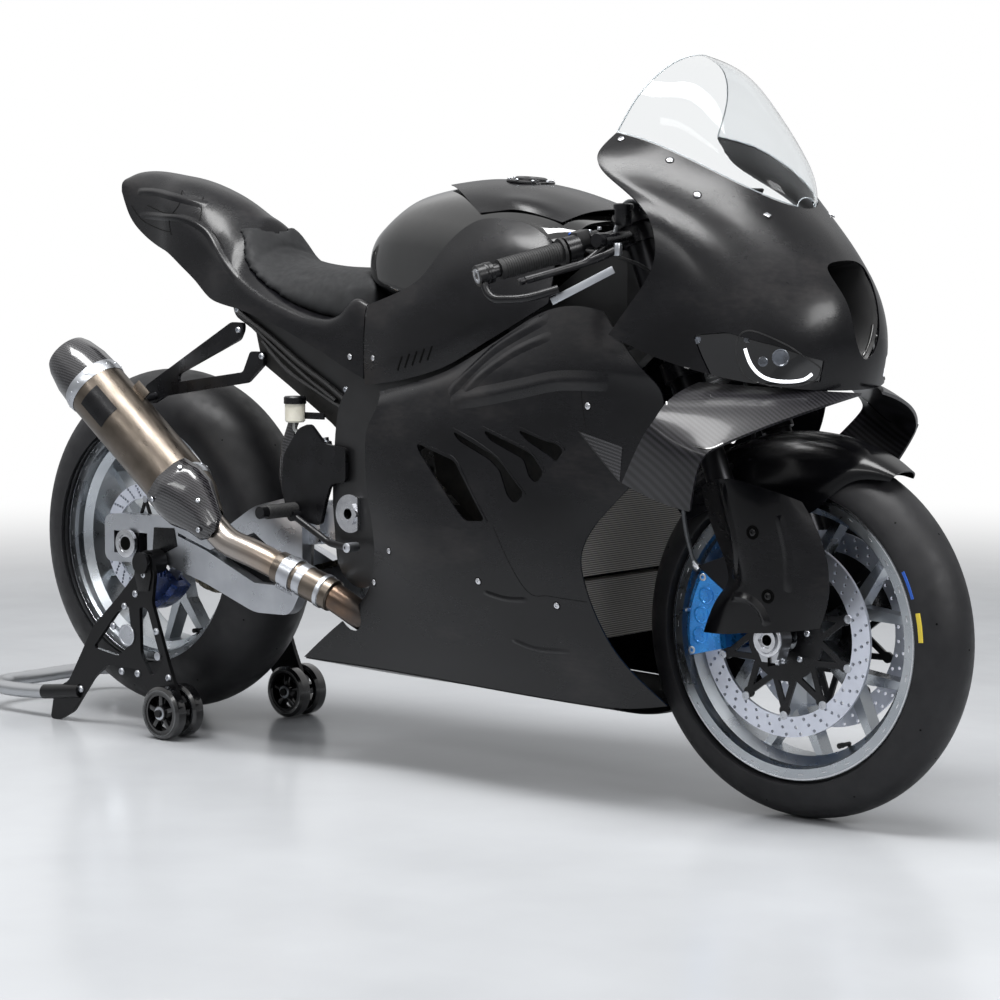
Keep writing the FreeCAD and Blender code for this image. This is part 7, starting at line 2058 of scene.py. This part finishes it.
@dataclass
class Stand:
    """Bolts, tyres and hubs of the paddock stand. Millimetres."""

    plate_y: float = 168.0
    plate_wall: float = 8.0
    guide_wall: float = 3.0
    axle_x: float = 154.0
    roller_r: float = 50.0
    drums: tuple[Pair, ...] = ((129.0, 155.0), (173.0, 199.0))

    def bolts(self) -> None:
        """Silver bolts through the stand's plates."""
        spots = []
        for side in (-1, 1):
            for x, z in ((84, 300), (60, 262), (30, 236), (-2, 196), (116, 196), (20, 112), (64, 112), (-96, 66),
                         (-128, 56), (148, 112)):
                spots.append(Spot(at(x, side * self.plate_y, z), ACROSS * side))
        Scatter("stand_bolts", button_head(7.0, 4.2, SILVER), SILVER).place(spots, Body.CHASSIS, "bright_alloy")

    def fittings(self) -> None:
        """The hook's guide plates, a round boss with a blank cap, and the handle's clamps."""
        form = Form()
        for side in (-1, 1):
            for y in (self.plate_y, self.plate_y - self.plate_wall - self.guide_wall):
                outline = [at(x, side * y, z) for x, z in ((66, 330), (100, 330), (106, 300), (98, 270), (70, 268),
                                                           (60, 300))]
                form.plate(outline, ACROSS * side * self.guide_wall / 1000, BLACK_ALLOY, 0.6)
            boss = at(36, side * self.plate_y, 182)
            form.lathe(boss, ACROSS * side, [(0, 21), (2.4, 21), (3.2, 20), (3.2, 17.5), (2.2, 16.5), (2.2, 0)],
                       SILVER, 36)
            form.lathe(at(120, side * self.plate_y, 150), ACROSS * side, [(0, 8), (3, 8), (3.6, 7), (3.6, 0)], SILVER,
                       20)
        form.make("stand_fittings", Body.CHASSIS, "stand_black")

    def rollers(self) -> None:
        """Clear-rimmed five-spoked rollers in place of the plain drums."""
        for side, body, tag in ((-1, Body.ROLLERS_RIGHT, "right"), (1, Body.ROLLERS_LEFT, "left")):
            form = Form()
            axis = ACROSS * side
            for near, far in self.drums:
                middle = at(self.axle_x, side * (near + far) / 2, self.roller_r)
                form.lathe(middle, axis, [(-12, 38), (-13, 44), (-9, 49.2), (0, 50), (9, 49.2), (13, 44), (12, 38)],
                           ROLLER, 48, closed=True)
                for s in (-1, 1):
                    form.lathe(middle + axis * s * 0.0095, axis * s,
                               [(0, 38.5), (2.2, 38.8), (3.4, 42.5), (2.4, 44.5), (0, 45.5)], CLEAR_RIM, 48)
                form.lathe(middle, axis, [(-11, 38.5), (-11, 33), (11, 33), (11, 38.5)], ROLLER, 40, closed=True)
                form.lathe(middle, axis, [(-12, 7.6), (-12, 14), (12, 14), (12, 7.6)], ROLLER, 28, closed=True)
                for s in (-1, 1):
                    form.lathe(middle + axis * s * 0.012, axis * s, [(0, 12), (1.2, 12), (1.6, 11), (1.6, 7.6)],
                               SILVER, 24)
                for k in range(5):
                    out = outwards(72 * k + 18)
                    form.block(middle + out * 0.0235, out, ACROSS, (23, 9, 18), ROLLER, 2.0)
            made = form.make(f"spoked_rollers_{tag}", body, "roller")
            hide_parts(f"stand_rollers_{tag}")

    def build(self) -> None:
        """Makes all the stand's dressing."""
        self.bolts()
        self.fittings()
        self.rollers()


# The finish of each CAD node that keeps its own shape.
NODE_FINISH: dict[str, Finish] = {
    "front_tyre": SLICK, "rear_tyre": SLICK, "front_rim": RIM, "rear_rim": RIM, "front_discs": DISC,
    "rear_disc": DISC, "front_disc_carriers": BLACK_ALLOY, "rear_sprocket": BLACK_ALLOY, "drive_chain": CHAIN,
    "fork_legs": FORK_LEG, "front_axle": BRIGHT, "triple_clamps": BLACK_ALLOY, "clip_on_bars": BLACK_ALLOY,
    "grips": GRIP, "bar_controls": BLACK_ALLOY, "lever_guards": BLACK_ALLOY, "front_fender": BODY,
    "fork_covers": BODY, "front_calipers": BLUE, "brake_hoses": HOSE, "main_frame": BLACK_PAINT,
    "engine_block": CAST, "swingarm": SILVER, "rear_caliper": NAVY, "swingarm_pivot": BRIGHT,
    "rear_axle": BLACK_ALLOY, "subframe": BLACK_PAINT, "radiator": CORE, "oil_cooler": CORE,
    "rearset_right": BLACK_ALLOY, "rearset_left": BLACK_ALLOY, "exhaust_pipe": HEATED, "muffler": TITANIUM,
    "muffler_hanger": BLACK_ALLOY, "nose_fairing": BODY, "headlights": LAMP, "windscreen": SCREEN,
    "side_fairing_right": BODY, "side_fairing_left": BODY, "belly_fairing": BODY, "fuel_tank": GLOSS,
    "tank_cover": BODY, "seat_unit": BODY, "seat_pad": FOAM, "winglet_right": CARBON, "winglet_left": CARBON,
    "fairing_stay": BLACK_ALLOY, "dashboard": PLASTIC, "stand_frame": STAND, "stand_spools": BLACK_ALLOY,
    "stand_rollers_right": ROLLER, "stand_rollers_left": ROLLER,
}


def dress(names: Iterable[str]) -> None:
    """Gives CAD nodes that keep their shape their real finish.

    Args:
        names: The nodes to dress.
    """
    for name in names:
        node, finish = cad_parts[name], NODE_FINISH.get(name, BLACK_ALLOY)
        made = finish.material()
        if node.data.materials:
            for k in range(len(node.data.materials)):
                node.data.materials[k] = made
        else:
            node.data.materials.append(made)
        log.info("dressed %s in %s", name, finish.name)


@dataclass
class Studio:
    """The pale floor, the soft lights and the camera at the photograph's angle."""

    eye: Triple = (4.0520, -3.8162, 0.9433)
    azimuth_deg: float = 40.342
    pitch_deg: float = -5.380
    focal: float = 2.89293
    floor_half_m: float = 14.0

    def camera(self) -> None:
        """Sets the camera from the fitted eye point, angles and focal length."""
        data = bpy.data.cameras.new("photo_camera")
        data.sensor_width = 36.0
        data.lens = 36.0 * self.focal
        camera = bpy.data.objects.new("photo_camera", data)
        yaw = math.radians(self.azimuth_deg)
        pitch = math.radians(self.pitch_deg)
        look = Vector((-math.sin(yaw) * math.cos(pitch), math.cos(yaw) * math.cos(pitch), math.sin(pitch)))
        camera.location = Vector(self.eye) + Vector((SHIFT, 0.0, 0.0))
        camera.rotation_euler = look.to_track_quat("-Z", "Y").to_euler()
        bpy.context.scene.collection.objects.link(camera)
        bpy.context.scene.camera = camera

    def floor_material(self) -> Material:
        """Pale sealed concrete that fades to plain white a few metres behind the bike.

        Returns:
            The material.
        """
        sealed = Finish("SealedPaleFloor", "#b9bbbe", 0.22, rough_spread=0.05, tint="#b3b5b8", tint_size_mm=500.0,
                        grain_depth=0.0).material()
        tree = sealed.node_tree
        place = add_node(tree, "ShaderNodeTexCoord").outputs["Object"]
        gap = add_node(tree, "ShaderNodeVectorMath", {"operation": "LENGTH"}, {0: place}).outputs["Value"]
        far = add_node(tree, "ShaderNodeMapRange", {"From Min": 2.2, "From Max": 5.2,
                                                    "interpolation_type": "SMOOTHSTEP"}, {"Value": gap}).outputs[0]
        rays = add_node(tree, "ShaderNodeLightPath")
        seen = add_node(tree, "ShaderNodeMath", {"operation": "MAXIMUM"},
                        {0: rays.outputs["Is Camera Ray"], 1: rays.outputs["Is Transmission Ray"]}).outputs[0]
        share = add_node(tree, "ShaderNodeMath", {"operation": "MULTIPLY"}, {0: far, 1: seen}).outputs[0]
        white = add_node(tree, "ShaderNodeEmission", {"Color": (1.0, 1.0, 1.0, 1.0), "Strength": 1.0})
        mixed = add_node(tree, "ShaderNodeMixShader",
                         links={0: share, 1: tree.nodes["Principled BSDF"].outputs[0], 2: white.outputs[0]})
        tree.links.new(mixed.outputs[0], tree.nodes["Material Output"].inputs["Surface"])
        return sealed

    def floor(self) -> None:
        """The floor itself."""
        half = self.floor_half_m
        mesh = bpy.data.meshes.new("studio_floor")
        mesh.from_pydata([(-half, -half, 0), (half, -half, 0), (half, half, 0), (-half, half, 0)], [], [(0, 1, 2, 3)])
        floor = bpy.data.objects.new("studio_floor", mesh)
        bpy.context.scene.collection.objects.link(floor)
        mesh.materials.append(self.floor_material())

    def lamp(self, name: str, place: Triple, aim: Triple,
             size: Pair, watts: float) -> None:
        """A rectangular area lamp.

        Args:
            name: The lamp's name.
            place: Where it hangs.
            aim: The point that it faces.
            size: Its width and length in metres.
            watts: Power.
        """
        data = bpy.data.lights.new(name, "AREA")
        data.shape = "RECTANGLE"
        data.size, data.size_y = size
        data.energy = watts
        lamp = bpy.data.objects.new(name, data)
        lamp.location = place
        lamp.rotation_euler = (Vector(aim) - Vector(place)).to_track_quat("-Z", "Y").to_euler()
        bpy.context.scene.collection.objects.link(lamp)

    def light(self) -> None:
        """Large soft lamps overhead and a bright even surround, white to the camera and in reflections."""
        self.lamp("ceiling_panels", (0.2, -0.9, 4.0), (0.0, -0.2, 0.0), (4.2, 1.1), 270.0)
        self.lamp("side_panels", (0.6, -5.0, 3.6), (0.1, 0.0, 0.5), (4.5, 0.7), 60.0)
        self.lamp("front_panels", (4.8, -0.4, 2.6), (0.4, 0.0, 0.6), (1.8, 1.0), 85.0)
        world = bpy.data.worlds.new("studio_surround")
        bpy.context.scene.world = world
        world.use_nodes = True
        tree = world.node_tree
        out = tree.nodes["World Output"]
        rays = add_node(tree, "ShaderNodeLightPath")
        clear = add_node(tree, "ShaderNodeMath", {"operation": "MAXIMUM"},
                         {0: rays.outputs["Is Camera Ray"], 1: rays.outputs["Is Transmission Ray"]})
        place = add_node(tree, "ShaderNodeTexCoord").outputs["Generated"]
        up = add_node(tree, "ShaderNodeSeparateXYZ", links={0: place}).outputs["Z"]
        sky = ramp(tree, up, ((0.0, 0.12), (0.25, 0.2), (0.5, 0.95), (0.75, 0.95), (0.95, 0.7)))
        mirror = add_node(tree, "ShaderNodeMath", {"operation": "MULTIPLY"},
                          {0: rays.outputs["Is Glossy Ray"], 1: sky})
        seen = add_node(tree, "ShaderNodeMath", {"operation": "MAXIMUM"}, {0: clear.outputs[0], 1: mirror.outputs[0]})
        white = add_node(tree, "ShaderNodeBackground", {"Color": (1.0, 1.0, 1.0, 1.0), "Strength": 1.0})
        dim = tree.nodes["Background"]
        dim.inputs["Color"].default_value = (0.95, 0.97, 1.0, 1.0)
        dim.inputs["Strength"].default_value = 0.34
        mixed = add_node(tree, "ShaderNodeMixShader", links={0: seen.outputs[0], 1: dim.outputs[0],
                                                             2: white.outputs[0]})
        tree.links.new(mixed.outputs[0], out.inputs["Surface"])

    def build(self) -> None:
        """Makes the whole studio."""
        self.camera()
        self.floor()
        self.light()
        view = bpy.context.scene.view_settings
        view.view_transform = "Standard"


def main() -> None:
    """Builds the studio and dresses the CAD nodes."""
    logging.basicConfig(level=logging.INFO)
    Studio().build()
    dress(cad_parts)
    Wheel("front", FRONT_AXLE, Body.FRONT_WHEEL, 298.0, 120.0, 100.0, 160.0, 33.0, 5.5, (-62.0, 62.0), 36, 3,
          disc_node="front_discs").build()
    Wheel("rear", REAR_AXLE, Body.REAR_WHEEL, 325.0, 190.0, 150.0, 110.0, 28.0, 4.5, (-84.0,), 28, 4,
          spider=True).build()
    FrontEnd().build()
    Cockpit().build()
    Bodywork().build()
    Exhaust().build()
    Rear().build()
    Stand().build()


if __name__ == "__main__":
    main()
